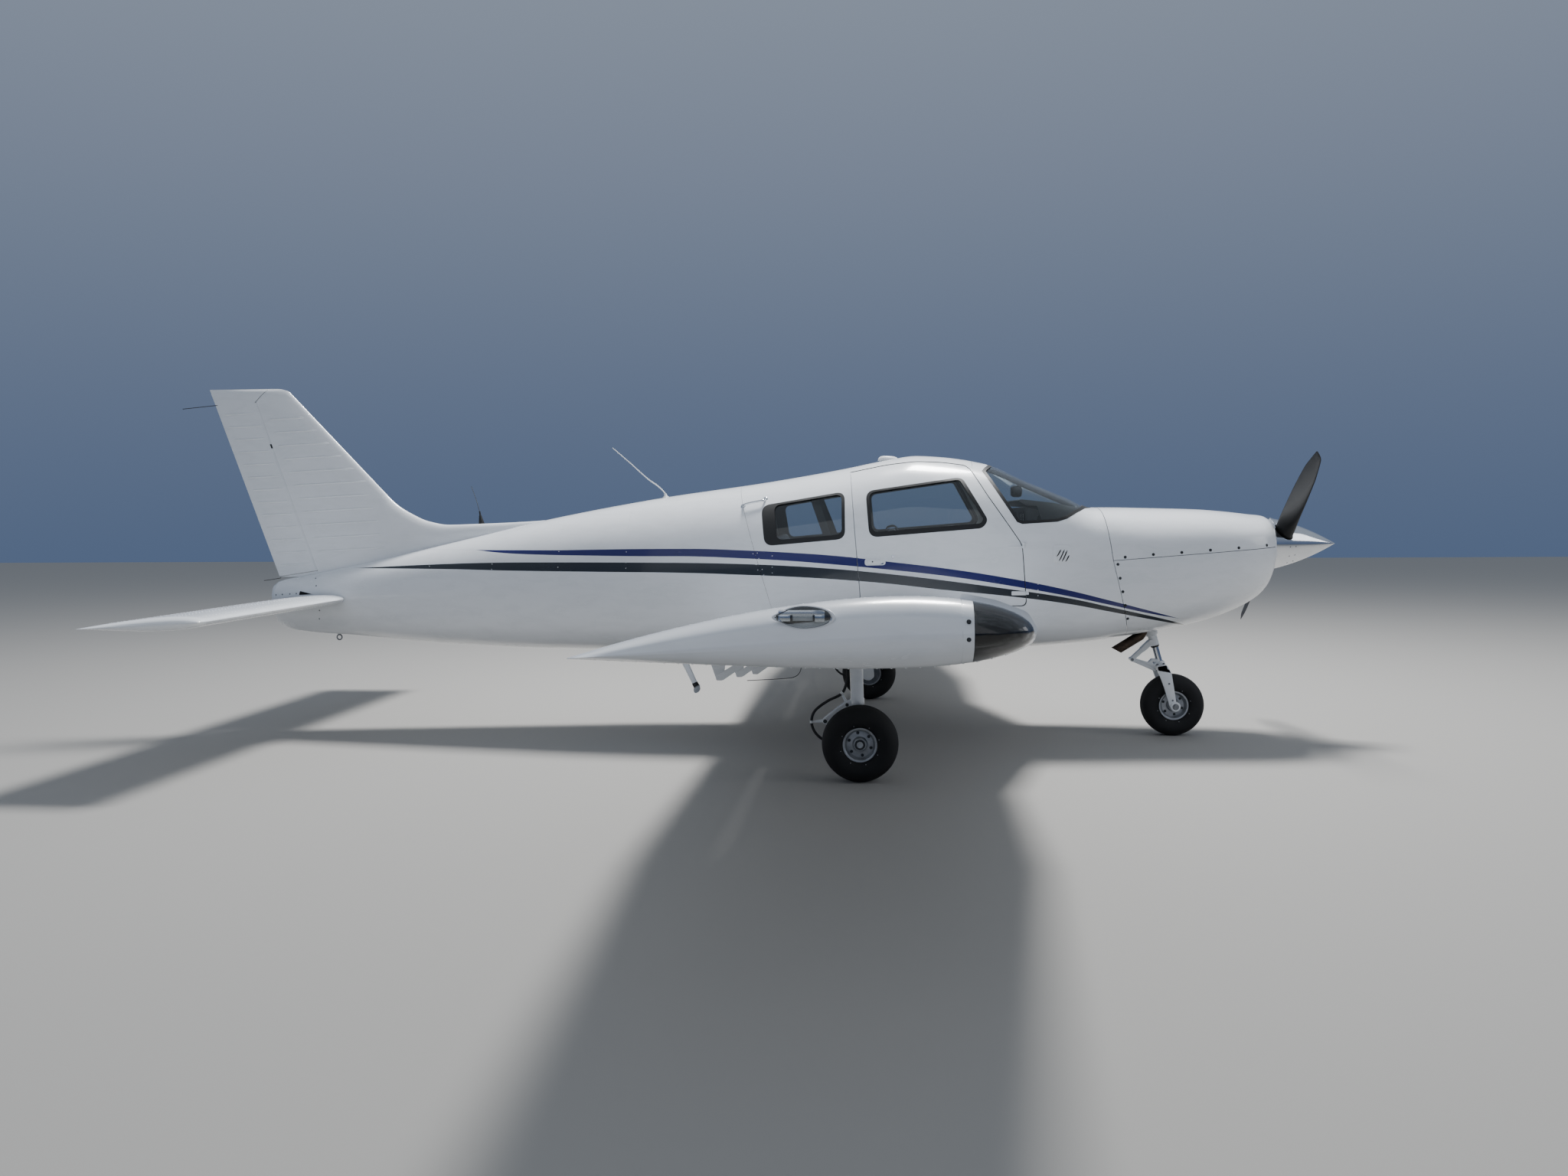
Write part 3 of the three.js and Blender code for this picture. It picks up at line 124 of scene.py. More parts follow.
def add_node(tree, kind, values=None, links=None, **settings):
    """Adds a node with its settings, input values and input links"""
    made = tree.nodes.new(kind)
    for name, value in settings.items():
        setattr(made, name, value)
    for socket, value in (values or {}).items():
        made.inputs[socket].default_value = value
    for socket, source in (links or {}).items():
        tree.links.new(source, made.inputs[socket])
    return made


FINISHES = {}


def start_finish(name):
    """A new material with a Principled shader and the Object coordinates"""
    material = bpy.data.materials.new(name)
    material.use_nodes = True
    tree = material.node_tree
    tree.nodes.clear()
    shader = add_node(tree, "ShaderNodeBsdfPrincipled")
    add_node(tree, "ShaderNodeOutputMaterial", links={"Surface": shader.outputs["BSDF"]})
    place = add_node(tree, "ShaderNodeTexCoord").outputs["Object"]
    FINISHES[name] = material
    return tree, shader, place


def surface_finish(name, base, accent, grain, rough, metallic=0.0, bump=0.0, cells=False, stretch=(1, 1, 1),
                   share=(0.35, 0.65), **sockets):
    """A finish whose colour, roughness and relief vary with a grain of the given size in millimetres"""
    tree, shader, place = start_finish(name)
    scaled = add_node(tree, "ShaderNodeMapping", {"Scale": stretch}, {"Vector": place}).outputs["Vector"]
    fine = 1000.0 / grain
    if cells:
        pattern = add_node(
            tree, "ShaderNodeTexVoronoi", {"Scale": fine}, {"Vector": scaled}).outputs["Distance"]
    else:
        pattern = add_node(
            tree, "ShaderNodeTexNoise", {"Scale": fine, "Detail": 4.0, "Roughness": 0.6},
            {"Vector": scaled}).outputs["Fac"]
    patches = add_node(
        tree, "ShaderNodeTexNoise", {"Scale": max(fine / 14.0, 1.3), "Detail": 3.0},
        {"Vector": place}).outputs["Fac"]
    blend = add_node(tree, "ShaderNodeMath", {1: 0.5}, {0: pattern}, operation="MULTIPLY_ADD")
    tree.links.new(
        add_node(tree, "ShaderNodeMath", {1: 0.5}, {0: patches}, operation="MULTIPLY").outputs[0],
        blend.inputs[2])
    spread = add_node(
        tree, "ShaderNodeMapRange", {"From Min": share[0], "From Max": share[1]}, {"Value": blend.outputs[0]})
    colour = add_node(tree, "ShaderNodeMix", links={0: spread.outputs["Result"]}, data_type="RGBA")
    colour.inputs[6].default_value = linear(base)
    colour.inputs[7].default_value = linear(accent)
    tree.links.new(colour.outputs[2], shader.inputs["Base Color"])
    roughness = add_node(
        tree, "ShaderNodeMapRange", {"To Min": rough[0], "To Max": rough[1]}, {"Value": blend.outputs[0]})
    tree.links.new(roughness.outputs["Result"], shader.inputs["Roughness"])
    if bump:
        relief = add_node(
            tree, "ShaderNodeBump", {"Strength": 1.0, "Distance": bump * MM}, {"Height": pattern})
        tree.links.new(relief.outputs["Normal"], shader.inputs["Normal"])
    shader.inputs["Metallic"].default_value = metallic
    for socket, value in sockets.items():
        shader.inputs[socket.replace("_", " ")].default_value = value
    return FINISHES[name]


# Stripes in side view: X, then the Z of the stripe's top and bottom edges
BLUE_STRIPE = [
    (-1793, 1211, 1211), (-1592, 1207, 1195), (-1287, 1207, 1184), (-992, 1211, 1180), (-703, 1215, 1177),
    (-358, 1216, 1176), (0, 1205, 1162), (271, 1191, 1147), (539, 1172, 1125), (857, 1136, 1094),
    (1209, 1093, 1054), (1558, 1038, 1000), (1905, 968, 937), (2194, 895, 875), (2431, 832, 821),
    (2618, 782, 782)]
GREY_STRIPE = [
    (-2660, 1091, 1091), (-1886, 1122, 1091), (-1580, 1129, 1085), (-1280, 1131, 1082), (-988, 1132, 1080),
    (-357, 1130, 1074), (0, 1122, 1062), (271, 1110, 1051), (539, 1092, 1035), (857, 1062, 1009),
    (1209, 1020, 969), (1558, 972, 934), (1906, 919, 889), (2195, 856, 834), (2436, 800, 785),
    (2565, 767, 758), (2784, 700, 700)]
STRIPE_SPAN = (-3.0, 3.0)
STRIPE_RISE = (0.6, 1.3)
STRIPE_SPREAD = 0.003


def stripe_mask(tree, place, stripe):
    """1 between the two edges of a stripe"""
    apart = add_node(tree, "ShaderNodeSeparateXYZ", links={"Vector": place})
    across = add_node(
        tree, "ShaderNodeMapRange", {"From Min": STRIPE_SPAN[0], "From Max": STRIPE_SPAN[1]},
        {"Value": apart.outputs["X"]}).outputs["Result"]
    sides = []
    for edge, spread, operation in ((1, STRIPE_SPREAD, "LESS_THAN"), (2, -STRIPE_SPREAD, "GREATER_THAN")):
        curve = add_node(tree, "ShaderNodeFloatCurve", links={"Value": across})
        points = curve.mapping.curves[0].points
        places = [
            ((row[0] * MM - STRIPE_SPAN[0]) / (STRIPE_SPAN[1] - STRIPE_SPAN[0]),
            (row[edge] * MM + spread * (row[1] > row[2]) - STRIPE_RISE[0]) / (
            STRIPE_RISE[1] - STRIPE_RISE[0])) for row in stripe]
        points[0].location, points[1].location = places[0], places[-1]
        for spot in places[1:-1]:
            points.new(*spot)
        for point in points:
            point.handle_type = "AUTO_CLAMPED"
        curve.mapping.extend = "HORIZONTAL"
        curve.mapping.update()
        height = add_node(
            tree, "ShaderNodeMapRange", {"To Min": STRIPE_RISE[0], "To Max": STRIPE_RISE[1]},
            {"Value": curve.outputs["Value"]}).outputs["Result"]
        sides.append(add_node(
            tree, "ShaderNodeMath", links={0: apart.outputs["Z"], 1: height}, operation=operation).outputs[0])
    return add_node(tree, "ShaderNodeMath", links={0: sides[0], 1: sides[1]}, operation="MULTIPLY").outputs[0]


def enamel(name, striped):
    """Sprayed white polyurethane enamel over riveted sheet: glossy, with the sheet's slight waves under it"""
    tree, shader, place = start_finish(name)
    waves = add_node(
        tree, "ShaderNodeTexNoise", {"Scale": 3.2, "Detail": 1.5, "Roughness": 0.4},
        {"Vector": place}).outputs["Fac"]
    grime = add_node(
        tree, "ShaderNodeTexNoise", {"Scale": 9.0, "Detail": 6.0, "Roughness": 0.65, "Distortion": 0.4},
        {"Vector": add_node(tree, "ShaderNodeMapping", {"Scale": (0.5, 1.0, 1.6)},
        {"Vector": place}).outputs[0]})
    shade = add_node(
        tree, "ShaderNodeMapRange", {"From Min": 0.45, "From Max": 0.8, "To Max": 0.5},
        {"Value": grime.outputs["Fac"]}).outputs["Result"]
    colour = add_node(tree, "ShaderNodeMix", links={0: shade}, data_type="RGBA")
    colour.inputs[6].default_value = paint_colour("white")
    colour.inputs[7].default_value = linear("#d6dadc")
    result = colour.outputs[2]
    if striped:
        for tone, stripe in (("grey", GREY_STRIPE), ("blue", BLUE_STRIPE)):
            mask = stripe_mask(tree, place, stripe)
            layer = add_node(tree, "ShaderNodeMix", links={0: mask, 6: result}, data_type="RGBA")
            layer.inputs[7].default_value = paint_colour(tone)
            result = layer.outputs[2]
    tree.links.new(result, shader.inputs["Base Color"])
    roughness = add_node(
        tree, "ShaderNodeMapRange", {"To Min": 0.16, "To Max": 0.34}, {"Value": grime.outputs["Fac"]})
    tree.links.new(roughness.outputs["Result"], shader.inputs["Roughness"])
    relief = add_node(tree, "ShaderNodeBump", {"Strength": 0.5, "Distance": 0.006}, {"Height": waves})
    tree.links.new(relief.outputs["Normal"], shader.inputs["Normal"])
    shader.inputs["Coat Weight"].default_value = 0.4
    shader.inputs["Coat Roughness"].default_value = 0.06


def clear_finish(name, tint, rough, ior=1.49):
    """Transparent plastic, with fine wiping scratches in its gloss"""
    tree, shader, place = start_finish(name)
    scratches = add_node(
        tree, "ShaderNodeTexNoise", {"Scale": 60.0, "Detail": 5.0},
        {"Vector": add_node(tree, "ShaderNodeMapping", {"Scale": (1.0, 1.0, 6.0)},
        {"Vector": place}).outputs[0]})
    roughness = add_node(
        tree, "ShaderNodeMapRange", {"To Min": rough * 0.5, "To Max": rough},
        {"Value": scratches.outputs["Fac"]})
    tree.links.new(roughness.outputs["Result"], shader.inputs["Roughness"])
    shader.inputs["Base Color"].default_value = linear(tint)
    shader.inputs["Transmission Weight"].default_value = 1.0
    shader.inputs["IOR"].default_value = ior


class AEROPLANE_OT_finishes(bpy.types.Operator):
    """Makes the materials"""
    bl_idname = "aeroplane.finishes"
    bl_label = "Finishes"

    def execute(self, context):
        enamel("striped_enamel", True)
        enamel("white_enamel", False)
        # Cast and stretched acrylic: clear with a faint grey tint
        clear_finish("acrylic_glazing", "#e4ecee", 0.03)
        # Moulded clear polycarbonate over the lamps
        clear_finish("clear_polycarbonate", "#f2f5f6", 0.08, 1.58)
        # Dark, very glossy core under the landing lamp's clear cover: painted shade of the lamp's inside
        surface_finish("smoked_acrylic", "#05070a", "#0a0d11", 30, (0.05, 0.12), Specular_IOR_Level=0.25)
        # Black sealing rubber and the painted band round the panes: satin, dusty; it also paints the shade
        # behind the tail cone's seam and in the louvre slots
        surface_finish("black_seal_rubber", "#0c0d0e", "#17181a", 4, (0.38, 0.55), bump=0.1)
        # Vulcanised tyre rubber with grey scuffs and tarmac dust
        surface_finish("tyre_rubber", "#0c0c0e", "#1d1e21", 5, (0.62, 0.85), bump=0.35, share=(0.45, 0.8))
        # Spun and polished aluminium: mirror with a fine turned grain
        surface_finish(
            "polished_aluminium", "#e3e5e8", "#d3d6da", 6, (0.06, 0.14), 1.0, 0.006, stretch=(6, 1, 1))
        # Hard chromed steel of the sliding tubes
        surface_finish("chromed_steel", "#c9ccd2", "#b4b8bf", 3, (0.07, 0.16), 1.0)
        # Sand-cast aluminium with silver lacquer on the wheels
        surface_finish("cast_aluminium", "#c3c6ca", "#9ea2a7", 2.5, (0.35, 0.55), 0.85, 0.12)
        # Bare machined steel of bolts, pins and discs
        surface_finish("machined_steel", "#8e9297", "#6f7378", 2, (0.25, 0.42), 1.0, 0.02)
        # Matt black stoved paint on the propeller, worn a little grey
        surface_finish(
            "matt_black_paint", "#0a0b0d", "#17181b", 9, (0.42, 0.58), bump=0.05, share=(0.4, 0.8))
        # Exhaust pipe: steel browned and blued by heat, with soot
        surface_finish("burnt_steel", "#57483c", "#2c2724", 14, (0.4, 0.7), 0.8, 0.15)
        # Grey-painted castings and baffles of the engine
        surface_finish("engine_casting", "#4b4f53", "#303336", 6, (0.5, 0.75), 0.4, 0.3)
        # Grained grey seat leather
        surface_finish("grey_seat_leather", "#5b5d61", "#47494d", 2.2, (0.42, 0.6), bump=0.35, cells=True)
        # Stitched piping along the seat edges
        surface_finish("seat_piping", "#36383b", "#4a4c50", 2, (0.5, 0.65), bump=0.15)
        # Looped wool carpet
        surface_finish("loop_carpet", "#3d4145", "#565b60", 3, (0.85, 0.98), bump=1.2, cells=True)
        # Vacuum-formed pale lining with a pebble grain
        surface_finish("pale_lining", "#c9cac6", "#b8b9b5", 1.8, (0.55, 0.7), bump=0.12, cells=True)
        # Crackle-painted dark instrument panel and hood
        surface_finish("black_crackle", "#151618", "#232528", 1.4, (0.6, 0.8), bump=0.25, cells=True)
        # Injection-moulded black plastic of knobs and aerial bases
        surface_finish("black_plastic", "#141517", "#1d1f21", 1.5, (0.35, 0.5), bump=0.05)
        # Moulded white glass-fibre of the aerials and fairings
        surface_finish("white_glassfibre", "#e9ebec", "#dddfe0", 12, (0.25, 0.4), bump=0.05)
        # Woven nylon harness webbing
        surface_finish("nylon_webbing", "#1a1b1f", "#2d2f35", 1.6, (0.6, 0.8), bump=0.4, stretch=(1, 1, 3))
        # Black grit in paint on the wing walk
        surface_finish("grit_paint", "#17181a", "#2f3133", 1.6, (0.85, 1.0), bump=1.0)
        # Rubber hose with a braid showing through
        surface_finish("braided_hose", "#141416", "#242529", 2.4, (0.5, 0.7), bump=0.3, cells=True)
        # Dial faces and printed marks
        surface_finish("dial_black", "#0a0b0c", "#101112", 5, (0.3, 0.45))
        surface_finish("dial_white", "#e8e8e2", "#dcdcd6", 5, (0.4, 0.55))
        # Red moulded knob of the mixture lever
        surface_finish("red_knob", "#8d1c18", "#6f1512", 3, (0.3, 0.45))
        return {"FINISHED"}


# Meshes

def new_piece(name, points, faces):
    mesh = bpy.data.meshes.new(name)
    mesh.from_pydata([tuple(point) for point in np.asarray(points, float) * MM], [], faces)
    piece = bpy.data.objects.new(name, mesh)
    bpy.context.scene.collection.objects.link(piece)
    return piece


def outward(piece):
    """Merges doubled points and turns the faces of a closed shape outwards"""
    shape = bmesh.new()
    shape.from_mesh(piece.data)
    bmesh.ops.remove_doubles(shape, verts=shape.verts, dist=0.000004)
    bmesh.ops.recalc_face_normals(shape, faces=shape.faces)
    shape.to_mesh(piece.data)
    shape.free()
    return piece


def settle(piece):
    """Turns the modifiers' result into the piece's own mesh"""
    graph = bpy.context.evaluated_depsgraph_get()
    mesh = bpy.data.meshes.new_from_object(piece.evaluated_get(graph))
    piece.modifiers.clear()
    piece.data = mesh
    return piece


def carved(piece, cut=(), keep=(), add=()):
    """Boolean of a closed piece with tools, which are used up"""
    for operation, tools in (("INTERSECT", keep), ("DIFFERENCE", cut), ("UNION", add)):
        for tool in tools:
            modifier = piece.modifiers.new("carve", "BOOLEAN")
            modifier.solver = "MANIFOLD"
            modifier.operation = operation
            modifier.object = tool
    settle(piece)
    for tool in [*cut, *keep, *add]:
        bpy.data.objects.remove(tool)
    if not piece.data.polygons:
        raise RuntimeError(f"nothing is left of {piece.name}")
    return piece


def copy_of(piece, name):
    twin = bpy.data.objects.new(name, piece.data.copy())
    bpy.context.scene.collection.objects.link(twin)
    return twin


def joined(name, pieces):
    """One object from several, which are used up"""
    shape = bmesh.new()
    for piece in pieces:
        shape.from_mesh(piece.data)
    mesh = bpy.data.meshes.new(name)
    shape.to_mesh(mesh)
    shape.free()
    for piece in pieces:
        bpy.data.objects.remove(piece)
    whole = bpy.data.objects.new(name, mesh)
    bpy.context.scene.collection.objects.link(whole)
    return whole


def mirrored(piece, name):
    """The same piece on the other side of the aeroplane"""
    twin = copy_of(piece, name)
    twin.data.transform(Matrix.Diagonal((1, -1, 1, 1)))
    twin.data.flip_normals()
    return twin


def eased(piece, width, steps=2, angle=30):
    """Rounds the sharp edges"""
    modifier = piece.modifiers.new("ease", "BEVEL")
    modifier.width = width * MM
    modifier.segments = steps
    modifier.limit_method = "ANGLE"
    modifier.angle_limit = math.radians(angle)
    return settle(piece)


def finish(piece, material, replaces=(), body="airframe", sharp=35):
    """Gives a piece its finish and shading, and ties it to its body"""
    piece.data.materials.clear()
    piece.data.materials.append(FINISHES[material])
    piece.data.shade_smooth()
    piece.data.set_sharp_from_angle(angle=math.radians(sharp))
    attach(piece, body)
    if replaces:
        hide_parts(*replaces)
    return piece


def repaint(node, material):
    """Gives a piece of the frame a finish of its own"""
    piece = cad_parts[node]
    piece.data.materials.clear()
    piece.data.materials.append(FINISHES[material])


def stretch(piece, factors, centre):
    """Scales a piece along the axes about a point"""
    spot = Vector(centre) * MM
    piece.data.transform(
        Matrix.Translation(spot) @ Matrix.Diagonal((*factors, 1)) @ Matrix.Translation(-spot))


def loft(name, rings):
    """Closed skin through rings with the same number of points"""
    rings = np.asarray(rings, float)
    rows, count = rings.shape[:2]
    faces = []
    for row in range(rows - 1):
        for k in range(count):
            n = (k + 1) % count
            faces.append((row * count + k, row * count + n, (row + 1) * count + n, (row + 1) * count + k))
    faces.append(tuple(range(count))[::-1])
    faces.append(tuple((rows - 1) * count + k for k in range(count)))
    return outward(new_piece(name, rings.reshape(-1, 3), faces))


def turned(name, profile, centre, axis, sides=48, ring=False):
    """Turned shape from radius and axial pairs; ring says that the profile closes on itself"""
    axis = Vector(axis).normalized()
    side = axis.orthogonal().normalized()
    up = axis.cross(side)
    centre = Vector(centre)
    points = []
    for i in range(sides):
        angle = 2 * math.pi * i / sides
        way = side * math.cos(angle) + up * math.sin(angle)
        points.extend(centre + axis * along + way * radius for radius, along in profile)
    count = len(profile)
    faces = []
    for i in range(sides):
        j = (i + 1) % sides
        for k in range(count if ring else count - 1):
            n = (k + 1) % count
            faces.append((i * count + k, j * count + k, j * count + n, i * count + n))
    return outward(new_piece(name, points, faces))


def rod(name, start, end, radius, end_radius=None, sides=32, edge=1.2):
    """Round bar between two points, with eased ends"""
    start, end = Vector(start), Vector(end)
    end_radius = radius if end_radius is None else end_radius
    length = (end - start).length
    profile = [
        (0, 0), (radius - edge, 0), (radius, edge), (end_radius, length - edge), (end_radius - edge, length),
        (0, length)]
    return turned(name, profile, start, end - start, sides)


def smooth_route(route, step):
    """Points a step apart along a smooth curve through the route"""
    knots = np.asarray(route, float)
    ends = np.vstack([2 * knots[0] - knots[1], knots, 2 * knots[-1] - knots[-2]])
    dense = []
    for i in range(1, len(ends) - 2):
        a, b, c, d = ends[i - 1:i + 3]
        for t in np.linspace(0, 1, 24, endpoint=False):
            dense.append(
                0.5 * (2 * b + (c - a) * t + (2 * a - 5 * b + 4 * c - d) * t ** 2
                + (3 * b - a - 3 * c + d) * t ** 3))
    dense.append(knots[-1])
    dense = np.array(dense)
    along = np.concatenate([[0], np.cumsum(np.linalg.norm(np.diff(dense, axis=0), axis=1))])
    even = np.linspace(0, along[-1], max(3, int(along[-1] / step) + 1))
    return np.stack([np.interp(even, along, dense[:, k]) for k in range(3)], axis=1)


def tube(name, route, radius, sides=16, step=8.0, flat=1.0, smooth=True):
    """Round or flattened bar along a route; radius may be a list spread along it"""
    points = smooth_route(route, step) if smooth else np.asarray(route, float)
    radii = np.interp(
        np.linspace(0, 1, len(points)), np.linspace(0, 1, len(np.atleast_1d(radius))), np.atleast_1d(radius))
    ways = np.gradient(points, axis=0)
    ways /= np.linalg.norm(ways, axis=1)[:, None]
    side = Vector(ways[0]).orthogonal().normalized()
    rings = []
    for point, way, reach in zip(points, ways, radii):
        way = Vector(way)
        side = (side - way * side.dot(way)).normalized()
        up = way.cross(side)
        rings.append([
            Vector(point) + side * (reach * math.cos(a)) + up * (reach * flat * math.sin(a))
            for a in np.linspace(0, 2 * math.pi, sides, endpoint=False)])
    return loft(name, rings)


# Which of an outline's two numbers and the level gives X, Y and Z
PRISM_PLACES = {"Y": (0, 2, 1), "Z": (0, 1, 2), "X": (2, 0, 1)}


def prism(name, outline, axis, low, high):
    """Flat outline drawn out along an axis; the outline is XZ, XY or YZ"""
    count = len(outline)
    points = [[(a, b, level)[i] for i in PRISM_PLACES[axis]] for level in (low, high) for a, b in outline]
    faces = [(k, (k + 1) % count, count + (k + 1) % count, count + k) for k in range(count)]
    faces += [tuple(range(count))[::-1], tuple(range(count, 2 * count))]
    return outward(new_piece(name, points, faces))


def box(name, low, high):
    (x0, y0, z0), (x1, y1, z1) = low, high
    return prism(name, [(x0, y0), (x1, y0), (x1, y1), (x0, y1)], "Z", z0, z1)


def rounded(outline, radius, steps=8):
    """An outline with its corners rounded"""
    points = []
    count = len(outline)
    for i, corner in enumerate(outline):
        corner = Vector(corner)
        before, after = Vector(outline[i - 1]), Vector(outline[(i + 1) % count])
        reach = min(radius, (before - corner).length / 2.2, (after - corner).length / 2.2)
        start = corner + (before - corner).normalized() * reach
        end = corner + (after - corner).normalized() * reach
        for t in np.linspace(0, 1, steps + 1):
            points.append(tuple(start * (1 - t) ** 2 + corner * (2 * t * (1 - t)) + end * t ** 2))
    return points


def grown(outline, distance):
    """An outline moved out by a distance, or in by a negative one; a list gives one for each edge"""
    points = [Vector(point) for point in outline]
    reach = list(distance) if isinstance(distance, (list, tuple)) else [distance] * len(points)
    count = len(points)
    after = points[1:] + points[:1]
    area = sum(a.x * b.y - b.x * a.y for a, b in zip(points, after))
    ways = [(b - a).normalized() for a, b in zip(points, after)]
    normals = [Vector((way.y, -way.x)) * math.copysign(1, area) for way in ways]
    moved = []
    for i in range(count):
        a, b = normals[i - 1], normals[i]
        near, far, lean = reach[i - 1], reach[i], a.dot(b)
        if near == far:
            shift = (a + b) * (near / (1 + lean))
        else:
            shift = (a * (near - far * lean) + b * (far - near * lean)) / (1 - lean ** 2)
        moved.append(tuple(points[i] + shift))
    return moved


def smooth_through(places, values):
    """A smooth curve through a table, which never overshoots it"""
    places, values = np.asarray(places, float), np.asarray(values, float)
    order = np.argsort(places)
    places, values = places[order], values[order]
    steps = np.diff(places)
    slopes = np.diff(values) / steps
    tangents = np.zeros_like(values)
    for i in range(1, len(values) - 1):
        if slopes[i - 1] * slopes[i] > 0:
            near, far = 2 * steps[i] + steps[i - 1], steps[i] + 2 * steps[i - 1]
            tangents[i] = (near + far) / (near / slopes[i - 1] + far / slopes[i])
    tangents[0], tangents[-1] = slopes[0], slopes[-1]

    def value(place):
        place = min(max(place, places[0]), places[-1])
        i = min(int(np.searchsorted(places, place, side="right")) - 1, len(steps) - 1)
        t = (place - places[i]) / steps[i]
        return (
            values[i] * (1 + 2 * t) * (1 - t) ** 2 + steps[i] * tangents[i] * t * (1 - t) ** 2
            + values[i + 1] * t * t * (3 - 2 * t) + steps[i] * tangents[i + 1] * t * t * (t - 1))
    return value


# Fuselage form: X, crown Z, keel Z, half width, Z of the widest line, upper and lower powers
HULL = [
    (3246, 1332, 1100, 236, 1216, 2.1, 2.1), (3236, 1360, 1050, 280, 1210, 2.1, 2.1),
    (3218, 1386, 996, 324, 1202, 2.2, 2.2), (3190, 1399, 936, 368, 1192, 2.3, 2.4),
    (3110, 1408, 866, 430, 1172, 2.5, 2.6), (2980, 1424, 802, 474, 1145, 2.7, 2.8),
    (2790, 1440, 738, 504, 1110, 2.9, 3.0), (2500, 1450, 680, 525, 1070, 3.0, 3.3),
    (2265, 1456, 642, 538, 1040, 3.3, 3.5), (2126, 1457, 622, 545, 1020, 3.8, 3.7),
    (1979, 1521, 608, 553, 1010, 3.8, 3.8), (1741, 1624, 592, 562, 1000, 3.3, 4.0),
    (1472, 1738, 582, 566, 1000, 2.8, 4.0), (1209, 1783, 575, 566, 1000, 2.6, 4.0),
    (1040, 1793, 571, 565, 1000, 2.6, 4.0), (860, 1768, 568, 563, 1000, 2.6, 4.0),
    (560, 1710, 563, 558, 1000, 2.5, 3.9), (72, 1630, 560, 540, 990, 2.4, 3.7),
    (-583, 1541, 557, 500, 975, 2.3, 3.4), (-1274, 1420, 560, 400, 950, 2.2, 3.0),
    (-1957, 1268, 583, 296, 920, 2.2, 2.7), (-2664, 1116, 637, 186, 890, 2.2, 2.5),
    (-3080, 1030, 668, 118, 880, 2.2, 2.4), (-3215, 1000, 715, 82, 880, 2.2, 2.3),
    (-3256, 972, 790, 46, 885, 2.0, 2.0)]
NOSE_X, TAIL_X = HULL[0][0], HULL[-1][0]
HALF_RING = 48
HULL_CURVES = [smooth_through([row[0] for row in HULL], [row[i] for row in HULL]) for i in range(1, 7)]


def hull_at(x):
    return [curve(x) for curve in HULL_CURVES]


def hull_side(x, z):
    """Half width of the fuselage at a height"""
    crown, keel, half, wide, upper, lower = hull_at(x)
    reach, power = (crown - wide, upper) if z > wide else (wide - keel, lower)
    return half * (1 - min(abs(z - wide) / reach, 1.0) ** power) ** (1 / power)


def hull_top(x, y=0.0):
    """Height of the fuselage's upper side at a distance from the middle"""
    crown, _, half, wide, upper, _ = hull_at(x)
    return wide + (crown - wide) * (1 - min(abs(y) / half, 1.0) ** upper) ** (1 / upper)


def hull_ring(x, inset):
    crown, keel, half, wide, upper, lower = hull_at(x)
    points = []
    angles = np.linspace(0, math.pi, 241)
    for reach, power, way in ((crown - wide - inset, upper, 1), (wide - keel - inset, lower, -1)):
        width = half - inset
        stretched = (np.abs(np.cos(angles)) / width) ** power + (np.abs(np.sin(angles)) / reach) ** power
        radius = stretched ** (-1 / power)
        y, z = radius * np.cos(angles) * way, wide + radius * np.sin(angles) * way
        along = np.concatenate([[0], np.cumsum(np.hypot(np.diff(y), np.diff(z)))])
        even = np.linspace(0, along[-1], HALF_RING, endpoint=False)
        points += [(x, a, b) for a, b in zip(np.interp(even, along, y), np.interp(even, along, z))]
    return points


def hull_solid(name, inset=0.0, front=NOSE_X, rear=TAIL_X, step=42.0):
    count = max(2, int((front - rear) / step))
    places = set(np.linspace(rear, front, count + 1))
    places |= {x for x in np.arange(NOSE_X - 110, NOSE_X, 9.0) if rear + 3 < x < front - 3}
    places |= {x for x in np.arange(TAIL_X + 8, TAIL_X + 60, 9.0) if rear + 3 < x < front - 3}
    places |= {row[0] for row in HULL if rear + 3 < row[0] < front - 3}
    kept = []
    for x in sorted(places):
        if not kept or x - kept[-1] > 2.0:
            kept.append(x)
    kept[-1] = front
    return loft(name, [hull_ring(x, inset) for x in kept])


def layer(name, outer, inner, front=NOSE_X, rear=TAIL_X, ends=0.0):
    """Thin wall that follows the fuselage, between two depths under its skin"""
    step = 30.0 if front - rear < 3000 else 42.0
    beyond = 1 if ends == 0 else -ends
    wall = hull_solid(name, outer, front, rear, step)
    return carved(wall, cut=[hull_solid("core", inner, front + beyond, rear - beyond, step)])


# Seams and openings, as X and Z in side view
SPLIT = (2208.0, 1138.0)
SPLIT_SLOPE, TOP_LEAN, LOW_LEAN = 0.073, -0.15, 0.24
CONE_TOP, CONE_LEAN = (-45.0, 1520.0), -0.3016
WINDSHIELD = [
    (1506, 1900), (1504, 1736), (1463, 1709), (1441, 1686), (1637, 1372), (1668, 1360), (1878, 1372),
    (1936, 1389), (1998, 1424), (2063, 1451), (2122, 1455), (2136, 1475), (2136, 1900)]
WINDOW_FRONT = [(728, 1566), (752, 1284), (1432, 1336), (1466, 1384), (1322, 1636), (1285, 1644)]
WINDOW_REAR = [(82, 1482), (112, 1234), (606, 1276), (600, 1566)]
WINDOW_CORNER = 56
DOOR = [
    (600, 872), (1690, 872), (1664, 1235), (1464, 1532), (1372, 1690), (1340, 1721),
    (1200, 1741), (1040, 1748), (860, 1729), (600, 1678)]
DOOR_REAR = ((703, 872), (634, 1700))
DOOR_BEVEL, DOOR_DEPTH = 0.42, -60.0
HINGES = {"lower": (1696, 952), "upper": (1673, 1222)}
FIREWALL_X = 2130
FLOOR_TOP = 668
# Heights under and over the whole fuselage
LOW_Z, HIGH_Z = 300, 2000


def split_z(x):
    return SPLIT[1] + (x - SPLIT[0]) * SPLIT_SLOPE


